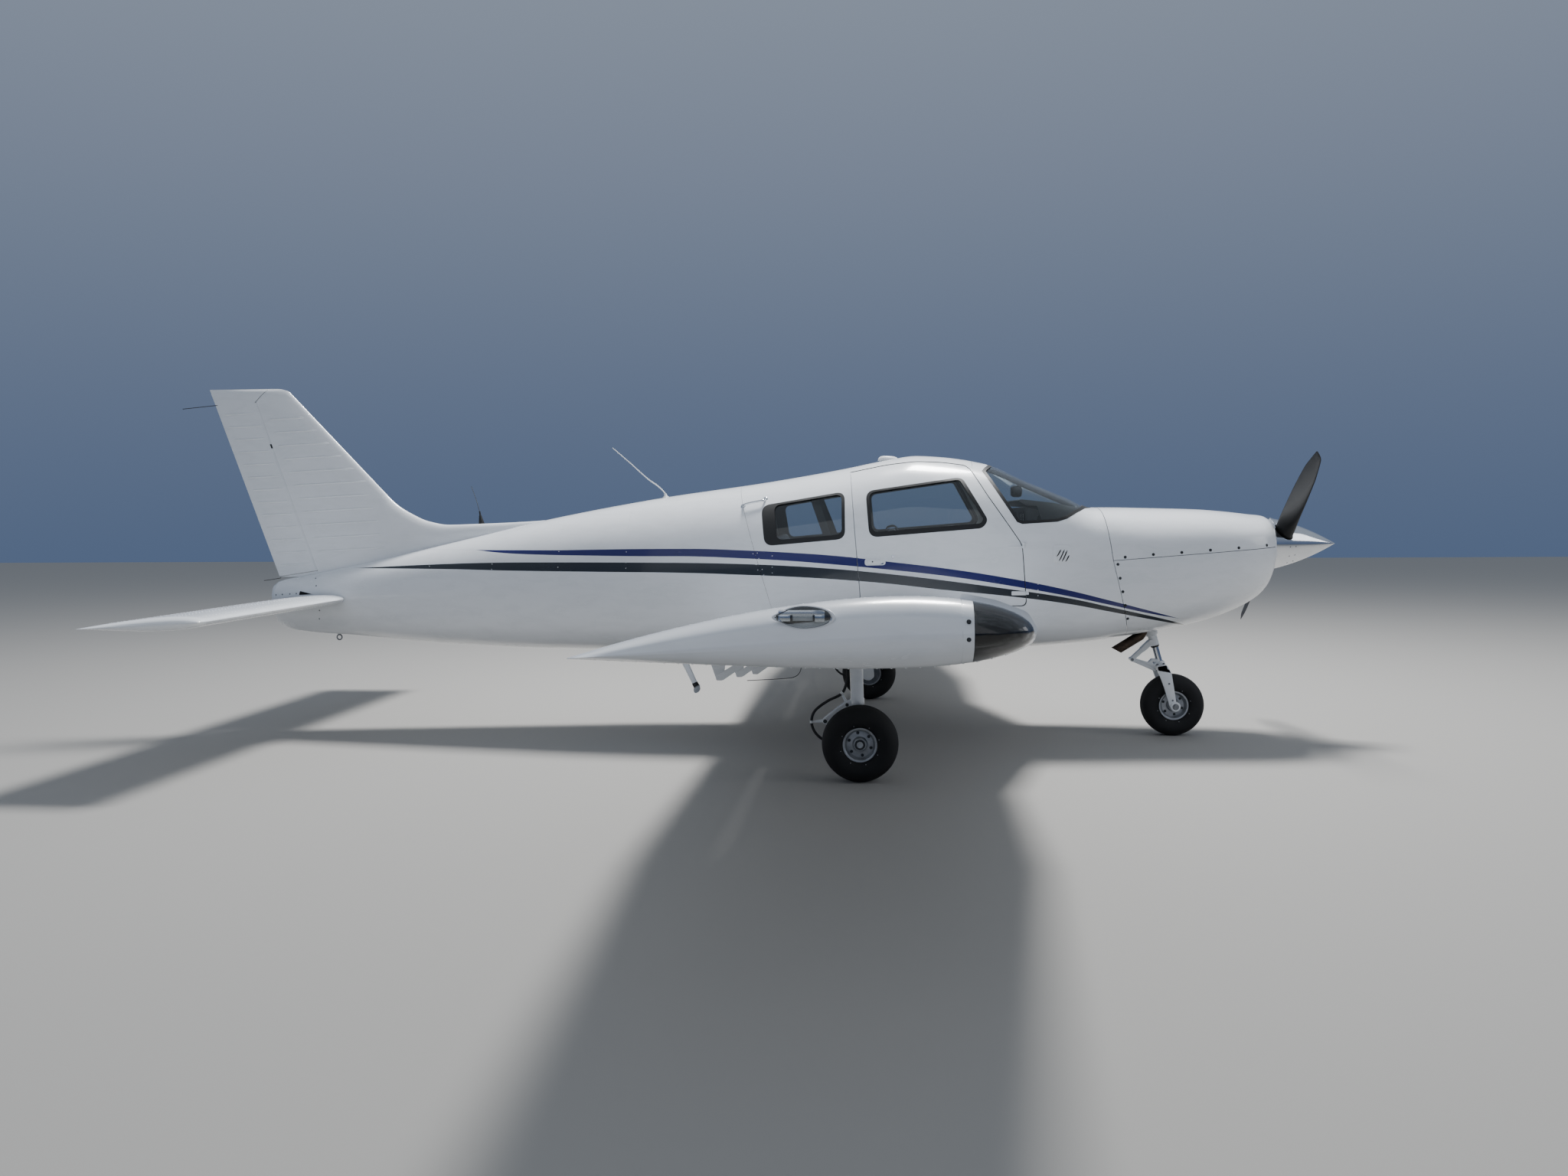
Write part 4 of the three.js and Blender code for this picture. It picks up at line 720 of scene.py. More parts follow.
def cowl_seam_x(z):
    rise = z - SPLIT[1]
    return SPLIT[0] + (rise * TOP_LEAN if rise > 0 else -rise * LOW_LEAN)


def cone_seam_x(z):
    return CONE_TOP[0] + (z - CONE_TOP[1]) * CONE_LEAN


def door_region(gap):
    """Space of the cabin door, with its rear edge flared outwards"""
    front = prism("door_space", rounded(grown(DOOR, gap), 36), "Y", -FAR, DOOR_DEPTH)
    rings = []
    for z in np.linspace(780, 1850, 22):
        (low_x, low_z), (top_x, top_z) = DOOR_REAR
        edge_x = low_x + (top_x - low_x) * (z - low_z) / (top_z - low_z) - gap
        edge_y = -hull_side(edge_x, min(z, top_z))
        back = [edge_x + DOOR_BEVEL * (y - edge_y) for y in (-900, DOOR_DEPTH)]
        rings.append([(back[0], -900, z), (2600, -900, z), (2600, DOOR_DEPTH, z), (back[1], DOOR_DEPTH, z)])
    return carved(front, keep=[loft("door_flare", rings)])


def window_prism(outline, side, grow):
    low, high = sorted((side * 200, side * FAR))
    corner = WINDOW_CORNER + (grow if isinstance(grow, (int, float)) else -16)
    return prism("window_space", rounded(grown(outline, grow), corner), "Y", low, high)


def windshield_prism(grow=0.0):
    return prism("windshield_space", grown(WINDSHIELD, grow) if grow else WINDSHIELD, "Y", -FAR, FAR)


def skin_region(name, outline):
    return prism(name, outline, "Y", -FAR, FAR)


# Width of the black band along each edge of a window, beginning with its rear edge
BAND_FRONT = (-20, -30, -26, -20, -13, -13)
BAND_REAR = (-80, -30, -20, -13)
WINDOWS = (
    ("window_front_left", WINDOW_FRONT, BAND_FRONT, 1, "airframe"),
    ("window_rear_left", WINDOW_REAR, BAND_REAR, 1, "airframe"),
    ("window_rear_right", WINDOW_REAR, BAND_REAR, -1, "airframe"),
    ("door_window", WINDOW_FRONT, BAND_FRONT, -1, "door"))


def window_spaces(grow):
    """Spaces of the windows that are not in the door"""
    return [window_prism(outline, side, grow) for _, outline, _, side, body in WINDOWS if body != "door"]


INLET = (250.0, 1228.0, 84.0)
PROP_AXIS = (3310.0, 1221.0)


def strut_at(z):
    """Place on the leaning axis of the nose leg"""
    return (2458 + (940 - z) * 0.2835, 0, z)


def cowl_holes():
    y, z, radius = INLET
    inlets = [rod("inlet_hole", (2990, s * y, z), (3400, s * y, z), radius, sides=64) for s in (1, -1)]
    return [
        *inlets, rod("shaft_hole", (3100, 0, PROP_AXIS[1]), (3400, 0, PROP_AXIS[1]), 72, sides=48),
        rod("strut_hole", strut_at(980), strut_at(500), 66, sides=48),
        prism("outlet_hole", rounded([(2166, -250), (2580, -250), (2580, 250), (2166, 250)], 50),
        "Z", 500, 720)]


class AEROPLANE_OT_fuselage(bpy.types.Operator):
    """Outer skins, cowls, firewall and cabin lining"""
    bl_idname = "aeroplane.fuselage"
    bl_label = "Fuselage"

    def execute(self, context):
        seam, lap, gap = size("seam"), size("lap"), size("door_gap")
        shell = layer("skin", 0.0, size("skin"), ends=4.0)
        cabin = skin_region(
            "cabin_space",
            [(cowl_seam_x(HIGH_Z) - seam, HIGH_Z), (SPLIT[0] - seam, SPLIT[1]),
            (cowl_seam_x(LOW_Z) - seam, LOW_Z), (cone_seam_x(LOW_Z), LOW_Z), (cone_seam_x(HIGH_Z), HIGH_Z)])
        skin = carved(
            copy_of(shell, "cabin_skin"), keep=[cabin],
            cut=[windshield_prism(), *window_spaces(0), door_region(gap), *self.roof_seams(lap)])
        finish(skin, "striped_enamel", ["fuselage_cabin"])
        cone = skin_region(
            "cone_space",
            [(cone_seam_x(LOW_Z) - lap, LOW_Z), (-FAR, LOW_Z), (-FAR, HIGH_Z),
            (cone_seam_x(HIGH_Z) - lap, HIGH_Z)])
        axle = tail_axle("axle_hole", 400, TUBE_RADIUS + 2)
        finish(
            carved(copy_of(shell, "tail_cone_skin"), keep=[cone], cut=[axle, tail_slot_hole()]),
            "striped_enamel", ["tail_cone"])
        upper = skin_region(
            "upper_space",
            [(SPLIT[0], SPLIT[1] + seam / 2), (cowl_seam_x(HIGH_Z), HIGH_Z), (FAR, HIGH_Z),
            (FAR, split_z(FAR) + seam / 2)])
        lower = skin_region(
            "lower_space",
            [(SPLIT[0], SPLIT[1] - seam / 2), (FAR, split_z(FAR) - seam / 2), (FAR, LOW_Z),
            (cowl_seam_x(LOW_Z), LOW_Z)])
        for name, space, node in (
                ("cowl_upper_skin", upper, "cowl_upper"), ("cowl_lower_skin", lower, "cowl_lower")):
            finish(carved(copy_of(shell, name), keep=[space], cut=cowl_holes()), "striped_enamel", [node])
        bpy.data.objects.remove(shell)
        self.lining(gap)
        self.inlets()
        return {"FINISHED"}

    def roof_seams(self, lap):
        """Skin joints over the roof behind and in front of the door"""
        return [
            skin_region("roof_seam", [
                (low - lap / 2, z), (low + lap / 2, z), (high + lap / 2, 1900), (high - lap / 2, 1900)])
            for low, z, high in ((634, 1706, 630), (1386, 1704, 1392))]

    def lining(self, gap):
        wall = layer("cabin_lining", 16, 22, FIREWALL_X - 6, -330, ends=6.0)
        finish(
            carved(wall,
            cut=[windshield_prism(14), *window_spaces(4), door_region(gap + 8)]), "pale_lining")
        # Black strip under the tail cone's lap seam, so that the gap reads as a dark line: painted shade
        wall = layer("joint_backing", size("skin") + 0.2, size("skin") + 3, 2240, -560)
        band = skin_region("joint_band", [
            (cone_seam_x(z) + out, z) for z, out in ((LOW_Z, -30), (HIGH_Z, -30), (HIGH_Z, 30), (LOW_Z, 30))])
        finish(carved(wall, keep=[band]), "black_seal_rubber")
        frame_ring = carved(
            layer("door_frame", size("skin") + 0.2, 27, 1800, 500), keep=[door_region(gap + 26)],
            cut=[door_region(gap), windshield_prism(2), *window_spaces(2)])
        finish(frame_ring, "white_enamel")
        seal = carved(
            layer("door_seal", 15, 19, 1800, 500), keep=[door_region(gap)], cut=[door_region(gap - 2.2)])
        finish(seal, "black_seal_rubber")
        plate = carved(
            hull_solid("firewall", size("skin") + 1, 2200, 2050),
            keep=[box("plate", (2122, -700, 400), (2125, 700, 1600))])
        finish(plate, "machined_steel")

    def inlets(self):
        """Raised lips and dark ducts of the air inlets"""
        y, z, radius = INLET
        for side, label in SIDES:
            lip = layer("inlet_lip_" + label, -2.5, 9, NOSE_X + 2, 3000)
            ring = carved(
                rod("ring", (3000, side * y, z), (3400, side * y, z), radius + 9, sides=64),
                cut=[rod("hole", (2990, side * y, z), (3410, side * y, z), radius - 4, sides=64)])
            finish(eased(carved(lip, keep=[ring]), 1.6, 2, 50), "white_enamel")
            duct = carved(
                rod("inlet_duct_" + label, (3080, side * y, z), (3300, side * y, z), radius + 1, sides=64),
                cut=[rod("hole", (3070, side * y, z), (3310, side * y, z), radius - 2, sides=64)],
                keep=[hull_solid("inside", size("skin") + 2, NOSE_X, 2900)])
            finish(duct, "black_seal_rubber")


class AEROPLANE_OT_glazing(bpy.types.Operator):
    """Window panes, windshield, and their black surrounds"""
    bl_idname = "aeroplane.glazing"
    bl_label = "Glazing"

    def execute(self, context):
        for name, outline, band_widths, side, body in WINDOWS:
            pane = carved(layer(name + "_pane", 4.5, 9.5, 1900, 0), keep=[window_prism(outline, side, 8)])
            finish(pane, "acrylic_glazing", [name], body=body)
            band = carved(
                layer(name + "_surround", -0.6, 4.4, 1900, 0), keep=[window_prism(outline, side, -0.4)],
                cut=[window_prism(outline, side, band_widths)])
            finish(band, "black_seal_rubber", body=body)
            trim = carved(
                layer(name + "_trim", 10.0, 25, 1900, 0), keep=[window_prism(outline, side, 14)],
                cut=[window_prism(outline, side, -6)])
            finish(trim, "black_plastic", body=body)
        pane = carved(layer("windshield_pane", 4.5, 10, 2200, 1300), keep=[windshield_prism(6)])
        finish(pane, "acrylic_glazing", ["windshield"])
        band = carved(
            layer("windshield_surround", -0.6, 4.4, 2200, 1300), keep=[windshield_prism(-0.4)],
            cut=[windshield_prism(-19)])
        finish(band, "black_seal_rubber")
        strip = carved(
            layer("windshield_centre", -1.5, 4.4, 2200, 1300),
            keep=[prism("strip", [(2110, -15), (2110, 15), (1480, 15), (1480, -15)], "Z", 1300, 2000)])
        finish(carved(strip, keep=[windshield_prism(-2)]), "white_enamel")
        post = carved(
            layer("windshield_post", 10.5, 40, 2080, 1470),
            keep=[prism("strip", [(2060, -17), (2060, 17), (1480, 17), (1480, -17)], "Z", 1380, 2000)])
        finish(post, "black_crackle")
        return {"FINISHED"}


class AEROPLANE_OT_door(bpy.types.Operator):
    """Cabin door with its inner panel, handle, lock and hinges"""
    bl_idname = "aeroplane.door"
    bl_label = "Cabin door"

    def execute(self, context):
        skin = carved(
            layer("door_skin", 0.0, size("skin"), 1800, 500), keep=[door_region(0)],
            cut=[window_prism(WINDOW_FRONT, -1, 0)])
        finish(skin, "striped_enamel", ["cabin_door"], body="door")
        core = carved(
            layer("door_core", size("skin") + 0.1, 20, 1800, 500), keep=[door_region(-0.6)],
            cut=[window_prism(WINDOW_FRONT, -1, 9)])
        finish(core, "white_enamel", body="door")
        panel = carved(
            layer("door_panel", 20.2, 26, 1800, 500), keep=[door_region(-9)],
            cut=[window_prism(WINDOW_FRONT, -1, 15)])
        finish(panel, "pale_lining", body="door")
        self.handles()
        self.hinges()
        return {"FINISHED"}

    def handles(self):
        y = -hull_side(790, 1138)
        outline = rounded([(724, 1114), (850, 1117), (850, 1160), (724, 1157)], 19)
        plate = carved(
            prism("latch_plate", outline, "Y", y - 2.2, y + 2),
            cut=[prism("dip", rounded([(738, 1120), (838, 1122), (838, 1155), (738, 1152)], 8), "Y",
            y - 9, y - 1)])
        lever = prism(
            "latch_lever", rounded([(741, 1123), (820, 1125), (820, 1151), (741, 1149)], 5),
            "Y", y - 6, y + 1)
        finish(joined("door_latch", [eased(plate, 0.8, 1), eased(lever, 2)]), "white_enamel", body="door")
        screw = rod("door_latch_screw", (771, y + 2, 1138), (771, y - 6.6, 1138), 5, sides=20, edge=0.4)
        finish(screw, "engine_casting", body="door")
        y = -hull_side(895, 1168)
        barrel = rod("barrel", (895, y + 6, 1168), (895, y - 1.6, 1168), 10, sides=28)
        slot = box("slot", (893.8, y - 4, 1161), (896.2, y - 0.8, 1175))
        finish(
            carved(barrel, cut=[slot]), "chromed_steel", body="door").name = "door_lock"
        y = -hull_side(1000, 1180) + 26
        rest = prism(
            "arm_rest", rounded([(860, 1100), (1250, 1110), (1250, 1160), (1210, 1170), (860, 1150)], 18),
            "Y", y, y + 46)
        finish(eased(rest, 9, 3), "grey_seat_leather", body="door")

    def hinges(self):
        lower, upper = (Vector((x, -hull_side(x, z) - 9, z)) for x, z in (HINGES["lower"], HINGES["upper"]))
        way = (upper - lower).normalized()
        for label, centre, drop, half in (("lower", lower, 2, 12), ("upper", upper, 10, 6)):
            for body, shift, reach, tall in (("door", -8.6, -94, half), ("airframe", 8.6, 26, min(half, 8))):
                middle = centre + way * (drop + shift)
                x, y, z = middle
                knuckle = rod("knuckle", middle - way * 8, middle + way * 8, 8, sides=28)
                near, far = sorted((x + math.copysign(7, reach), x + reach))
                outline = rounded([(near, z - tall), (far, z - tall), (far, z + tall), (near, z + tall)], 6)
                leaf = eased(prism("leaf", outline, "Y", y + 5.8, y + 10.5), 1)
                low, high = sorted((x, x + math.copysign(12, reach)))
                web = box("web", (low, y - 2, z - min(tall, 7)), (high, y + 8, z + min(tall, 7)))
                finish(joined(f"{body}_leaf_{label}", [knuckle, leaf, web]), "white_enamel", body=body)


# Wing form
WING_ROOT_Y, GLOVE_Y, GLOVE_SLOPE = 560.0, 1450.0, 0.264
EDGE = {
    "lead_x": 1510.0, "trail_x": -90.0, "lead_z": 690.0, "trail_z": 570.0, "lead_rise": 0.0985,
    "trail_rise": 0.1103}
TIP = {"y": 5290.0, "lead_x": 1214.0, "trail_x": 96.0, "thickness": 172.0}
BREAK_Y, WING_THICKNESS, CAMBER = 2700.0, 240.0, 0.02
TIP_TABLE = [
    (5290, 0, 0, 1), (5316, 2, 1, 0.975), (5340, 7, 4, 0.9), (5376, 28, 16, 0.66), (5393, 56, 34, 0.4),
    (5399, 80, 50, 0.08)]
LENS_X = 1068.0
LAMP = (673, 5393, 1200)
FLAP = {
    "inner": 640.0, "outer": 2650.0, "front": 176.0, "pivot": 90.0, "drop": 92.0,
    "brackets": (900, 1700, 2480)}
AILERON = {"inner": 2700.0, "outer": 4950.0, "chord": 250.0}


def wing_chord(y):
    part = min(max((y - BREAK_Y) / (TIP["y"] - BREAK_Y), 0.0), 1.0)
    base_x = EDGE["lead_x"] + (TIP["lead_x"] - EDGE["lead_x"]) * part
    trail_x = EDGE["trail_x"] + (TIP["trail_x"] - EDGE["trail_x"]) * part
    base_z = EDGE["lead_z"] + EDGE["lead_rise"] * (y - WING_ROOT_Y)
    trail_z = EDGE["trail_z"] + EDGE["trail_rise"] * (y - WING_ROOT_Y)
    lead_x = EDGE["lead_x"] + max(0.0, GLOVE_Y - y) * GLOVE_SLOPE if y < GLOVE_Y else base_x
    lead_z = base_z + (base_z - trail_z) / (base_x - trail_x) * (lead_x - base_x)
    return lead_x, lead_z, trail_x, trail_z, WING_THICKNESS + (TIP["thickness"] - WING_THICKNESS) * part


def half_thickness(f):
    f = min(max(f, 0.0), 1.0)
    section = 0.2969 * math.sqrt(f) - 0.126 * f - 0.3516 * f ** 2 + 0.2843 * f ** 3 - 0.1036 * f ** 4
    return 5 * section + 0.008 * f


def camber_of(f):
    return 4 * CAMBER * f * (1 - f)


SECTION = [(1 + math.cos(math.pi * k / 30)) / 2 for k in range(30)]


def section_ring(thickness, chord, camber):
    """Chord fractions and heights, over the top to the leading edge and back below"""
    def rise(f, up):
        return up * thickness * half_thickness(f) + chord * camber * camber_of(f)
    return [(f, rise(f, 1)) for f in SECTION] + [(0.0, 0.0)] + [(f, rise(f, -1)) for f in SECTION[::-1]]


def wing_ring(y, side, front_set=0.0, back_set=0.0, share=1.0):
    lead_x, lead_z, trail_x, trail_z, thickness = wing_chord(min(y, TIP["y"]))
    chord = lead_x - trail_x
    over = max(0.0, y - TIP["y"]) * EDGE["lead_rise"]
    ring = []
    front = lead_x - front_set
    for f, height in section_ring(thickness * share, chord, share):
        x = front + (trail_x + back_set - lead_x + front_set) * f
        ring.append((x, side * y, lead_z + (trail_z - lead_z) * (lead_x - x) / chord + over + height))
    return ring


def wing_z(y, x, up):
    lead_x, lead_z, trail_x, trail_z, thickness = wing_chord(y)
    f = (lead_x - x) / (lead_x - trail_x)
    middle = lead_z + (trail_z - lead_z) * f + camber_of(f) * (lead_x - trail_x)
    return middle + up * thickness * half_thickness(f)


def wing_blank(name, side):
    glove = {330, 560, 800, 1050, 1250, GLOVE_Y}
    places = sorted({*glove, *np.linspace(GLOVE_Y, BREAK_Y, 8), *np.linspace(BREAK_Y, TIP["y"] - 0.3, 16)})
    return loft(name, [wing_ring(y, side) for y in places])


def flap_space(side, front, inner, outer):
    outline = [(-500, side * inner), (front, side * inner), (front, side * outer), (-500, side * outer)]
    return prism("flap_space", outline, "Z", 0, 2000)


def aileron_hinge(y):
    x = wing_chord(y)[2] + AILERON["chord"] - 26
    upper, lower = wing_z(y, x, 1), wing_z(y, x, -1)
    return x, (upper + lower) / 2, (upper - lower) / 2 - 1.5


def aileron_space(side, gap, end_gap):
    inner, outer = AILERON["inner"] - end_gap, AILERON["outer"] + end_gap
    (in_x, _, in_r), (out_x, _, out_r) = aileron_hinge(inner), aileron_hinge(outer)
    aft = prism(
        "aileron_space",
        [(-500, side * inner), (in_x, side * inner), (out_x, side * outer),
        (-500, side * outer)], "Z", 0, 2000)
    ends = [(aileron_hinge(y)[0], side * y, aileron_hinge(y)[1]) for y in (inner - 8, outer + 8)]
    nose = rod("nose", *ends, in_r + gap, out_r + gap, sides=40, edge=0.1)
    low, high = sorted((side * inner, side * outer))
    nose = carved(nose, keep=[box("span", (-FAR, low, -FAR), (FAR, high, FAR))])
    return carved(aft, add=[nose])


def flap_pivot_z(y):
    ends = [wing_z(place, FLAP["pivot"], -1) - FLAP["drop"] for place in (GLOVE_Y, BREAK_Y)]
    return ends[0] + (ends[1] - ends[0]) * (y - GLOVE_Y) / (BREAK_Y - GLOVE_Y)


class AEROPLANE_OT_wings(bpy.types.Operator):
    """Wings, tips, flaps, ailerons and their brackets"""
    bl_idname = "aeroplane.wings"
    bl_label = "Wings"

    def execute(self, context):
        for side, label in SIDES:
            spaces = [
                flap_space(side, FLAP["front"] + 10, FLAP["inner"] - 6, FLAP["outer"] + 10),
                aileron_space(side, 6, 12), hull_solid("inside", 2.0, 2400, -900)]
            finish(
                carved(wing_blank("wing_skin_" + label, side), cut=spaces), "white_enamel",
                ["wing_" + label], sharp=30)
            panel = carved(
                wing_blank("flap_skin_" + label, side), keep=[
                    flap_space(side, FLAP["front"], FLAP["inner"], FLAP["outer"])])
            hangers = [self.hanger(side, y) for y in FLAP["brackets"]]
            finish(
                joined("flap_skin_" + label, [eased(panel, 4, 3, 50), *hangers]), "white_enamel",
                ["flap_" + label], body=label + "_flap")
            finish(
                carved(wing_blank("aileron_skin_" + label, side), keep=[aileron_space(side, 0, 0)]),
                "white_enamel", ["aileron_" + label], body=label + "_aileron")
            brackets = [self.bracket(side, y) for y in FLAP["brackets"]] + self.aileron_pins(side)
            finish(joined("flap_brackets_" + label, brackets), "white_enamel")
            self.tip(side, label)
            cap_x, cap_y = 1180, 1960
            top = wing_z(cap_y, cap_x, 1)
            cap = turned(
                "fuel_cap_" + label, [(0, 6), (30, 5.5), (36, 3), (37, 1), (46, 0.5), (47, -3), (0, -3)],
                (cap_x, side * cap_y, top), (0.06, side * -0.1, 1), 48)
            finish(cap, "machined_steel")
        self.walkway()
        self.pitot()
        return {"FINISHED"}

    def tip(self, side, label):
        y = [row[0] for row in TIP_TABLE]
        front, back, share = (smooth_through(y, [row[i] for row in TIP_TABLE]) for i in (1, 2, 3))

        def blank(name, reach, inset, thin):
            places = [
                TIP["y"] + inset + (reach - inset) * math.sin(t) for t in np.linspace(0, math.pi / 2, 14)]
            return loft(name, [
                wing_ring(p, side, front(p) + inset, back(p) + inset, share(p) * thin) for p in places])

        def corner(x, y, front_x=FAR):
            outline = [(x, side * y), (front_x, side * y), (front_x, side * FAR), (x, side * FAR)]
            return prism("corner", outline, "Z", 0, 2000)

        # The landing lamp's inside is a dark glossy core under the clear cover: painted shade
        core = carved(blank("landing_lens_core_" + label, 102, 7, 0.9), keep=[corner(LENS_X + 0.5, 5302.5)])
        finish(core, "smoked_acrylic", sharp=80)
        cover = carved(blank("landing_lens_cover_" + label, 109, 0, 1), keep=[corner(LENS_X, 5302)],
                       cut=[copy_of(core, "core")])
        finish(cover, "clear_polycarbonate", ["landing_lens_" + label], sharp=80)
        groove = carved(corner(LENS_X - 28.6, 5280, LENS_X - 27), cut=[blank("inside", 107.5, 1.5, 0.98)])
        cap = carved(blank("wing_tip_cap_" + label, 109, 0, 1), cut=[corner(LENS_X - 1, 5301), groove])
        finish(cap, "white_enamel", ["wing_tip_" + label], sharp=45)
        screws = [
            rod("screw", (LENS_X - 14, side * 5386, z), (LENS_X - 14, side * (5386 + out), z), 5.4,
            sides=16, edge=0.6) for z, out in ((1190, 10.5), (1149, 13.5))]
        finish(joined("wing_tip_screws_" + label, screws), "engine_casting")
        low, high = sorted((side * 5290, side * 5293))
        shield = prism(
            "landing_light_shield_" + label,
            rounded([(1039, 1150), (1039, 1251), (1122, 1234), (1198, 1205), (1223, 1163), (1216, 1152),
            (1150, 1145)], 10), "Y", low, high)
        finish(shield, "white_enamel")
        self.lamp(side, label)

    def lamp(self, side, label):
        """Position lamp: a clear teardrop dome over a bright reflector and its lamp bar"""
        x, y, z = LAMP[0], side * LAMP[1], LAMP[2]

        def drop(piece, wide, tall):
            stretch(piece, (wide, 1, tall), (x, 0, z))
            for point in piece.data.vertices:
                aft = min(1.0, max(0.0, (x * MM - point.co.x) / (0.026 * wide)))
                point.co.z = z * MM + (point.co.z - z * MM) * (1 - 0.45 * aft ** 2)
            return piece

        def bar(name, low, high, depth):
            spots = [(x + low[0], y - side * 8, z + low[1]), (x + high[0], y + side * depth, z + high[1])]
            return eased(box(name, *([min(p) for p in zip(*spots)], [max(p) for p in zip(*spots)])), 1)

        rim = turned(
            "rim", [(26, -12), (29, -12), (29, 0), (27.5, 1.8), (26, 1)], (x, y, z),
            (0, side, 0), 48, ring=True)
        finish(drop(rim, 2.55, 0.98), "white_enamel").name = "lamp_rim_" + label
        floor = turned("floor", [(0, -9), (26.4, -9), (26.4, -6), (0, -6)], (x, y, z), (0, side, 0), 48)
        finish(drop(floor, 2.55, 0.97), "black_plastic").name = "lamp_floor_" + label
        reflector = [bar("reflector", (-58, 2), (50, 17), 3), bar("block", (-58, -9), (-30, 6), 4),
                     bar("block", (26, -10), (50, 6), 4)]
        finish(joined("lamp_reflector_" + label, reflector), "polished_aluminium")
        finish(bar("lamp_bar_" + label, (-26, -8), (24, 4), 2), "white_glassfibre")
        ends = [bar("end", (a, -9), (a + 5, 6), 5) for a in (-30, 22)]
        finish(joined("lamp_bar_ends_" + label, ends), "black_plastic")
        turns = np.linspace(0, math.pi / 2, 12)
        outer = [(26 * math.cos(t), 12 * math.sin(t)) for t in turns]
        dome = turned(
            "nav_lamp_" + label, [*outer, *[(r * 0.94, a - 1.6) for r, a in outer[::-1]]], (x, y, z),
            (0, side, 0), 48, ring=True)
        finish(drop(dome, 2.6, 0.98), "clear_polycarbonate", ["nav_light_" + label])

    def hanger(self, side, y):
        pivot_x, pivot_z = FLAP["pivot"], flap_pivot_z(y)
        front, rear = pivot_x + 34, pivot_x - 58
        outline = rounded([
            (pivot_x - 15, pivot_z - 14), (pivot_x + 15, pivot_z - 14),
            (front, wing_z(y, front, -1) + 20), (rear, wing_z(y, rear, -1) + 20)], 9)
        low, high = sorted((side * y, side * (y + 8)))
        plate = carved(
            prism("hanger", outline, "Y", low, high),
            cut=[rod("hole", (pivot_x, side * (y - 6), pivot_z), (pivot_x, side * (y + 14), pivot_z),
            7.2, edge=0.1)])
        return eased(plate, 1.0, 1)

    def bracket(self, side, y):
        pivot_x, pivot_z = FLAP["pivot"], flap_pivot_z(y)
        rear, front, start = FLAP["front"] + 14, pivot_x + 190, y + 18
        outline = rounded(
            [(pivot_x - 15, pivot_z + 12), (pivot_x - 15, pivot_z - 12), (pivot_x + 15, pivot_z - 12),
            (front, wing_z(y, front, -1) + 20), (rear, wing_z(y, rear, -1) + 20),
            (rear, wing_z(y, rear, -1) - 10)], 8)
        low, high = sorted((side * start, side * (start + 8)))
        arm = eased(prism("arm", outline, "Y", low, high), 1.0, 1)
        pin = rod(
            "pin", (pivot_x, side * (y - 4), pivot_z), (pivot_x, side * (start + 10), pivot_z), 6, sides=20)
        return joined("bracket", [arm, pin])

    def aileron_pins(self, side):
        pins = []
        for y, low, high in ((AILERON["inner"], -15, -0.6), (AILERON["outer"], 0.6, 15)):
            ends = [(aileron_hinge(y + s)[0], side * (y + s), aileron_hinge(y + s)[1]) for s in (low, high)]
            pins.append(rod("pin", *ends, 5, sides=16, edge=0.5))
        return pins

    def walkway(self):
        """Black grit patch on the right wing's root"""
        below, walk = wing_blank("below", -1), wing_blank("wing_walk_grit", -1)
        below.data.transform(Matrix.Translation((0, 0, -0.002)))
        walk.data.transform(Matrix.Translation((0, 0, 0.0012)))
        patch = prism(
            "patch", rounded([(1180, -585), (1180, -930), (140, -930), (140, -585)], 40), "Z", 0, 2000)
        finish(carved(walk, keep=[patch], cut=[below]), "grit_paint")

    def pitot(self):
        y = 2900
        low = wing_z(y, 1000, -1)
        mast = prism(
            "pitot_blade",
            rounded([(1010, low + 20), (940, low + 20), (930, low - 78), (1030, low - 78),
            (1040, low - 60)], 8), "Y", y - 8, y + 8)
        hole = rod("hole", (1060, y, low - 69), (1000, y, low - 69), 3.2, sides=16, edge=0.1)
        finish(eased(carved(mast, cut=[hole]), 3.5, 3), "white_enamel", ["pitot_mast"])


# Tail form
FIN_LEAD = (-2468.0, 1582.0, -0.947)
FIN_TOP, FIN_ROOT, FIN_CURL = 2285.0, 1000.0, 2235
FIN_THICK = (106, 50)
RUDDER_TRAIL = (-3218.0, 1027.0, (-3667 + 3218) / (2285 - 1027))
RUDDER_HINGE = (-2955.0, 1070.0, -0.347)
FIN_CORNER = [
    (-3060, 2212), (-3070, 2226), (-3084, 2240), (-3098, 2253), (-3112, 2262), (-3135, 2273),
    (-3160, 2280), (-3200, 2286), (-3200, 2330), (-2990, 2330), (-3030, 2180)]
HORN = ((-3346, 2196), (-3259, 2281))
RUDDER_LOW = (1076.0, 1034.0)
DORSAL = [
    (-1192, 1418, 14), (-1454, 1393, 30), (-1869, 1376, 44), (-2042, 1372, 50),
    (-2181, 1396, 54), (-2294, 1446, 56), (-2388, 1505, 56), (-2480, 1592, 54)]
STAB = {
    "lead_x": -2695.0, "lead_z": 889.7, "trail_x": -3393.0, "trail_z": 853.0, "half": 1955.0, "thick": 74.0}
TUBE_RADIUS = 30.0
TAIL_TIP = 60
TAB = {"front": -3282.0, "half": 1290.0}
TAIL_SLOT = [(-2400, 252), (-2664, 200), (-3080, 133), (-3215, 98), (-3275, 78)]


def line_x(line, z):
    x, base, slope = line
    return x + (z - base) * slope


def fin_thickness(z):
    return FIN_THICK[0] + (FIN_THICK[1] - FIN_THICK[0]) * (z - FIN_ROOT) / (FIN_TOP - FIN_ROOT)


def fin_half(x, z):
    lead, trail = line_x(FIN_LEAD, z), line_x(RUDDER_TRAIL, z)
    return fin_thickness(z) * half_thickness((lead - x) / (lead - trail))


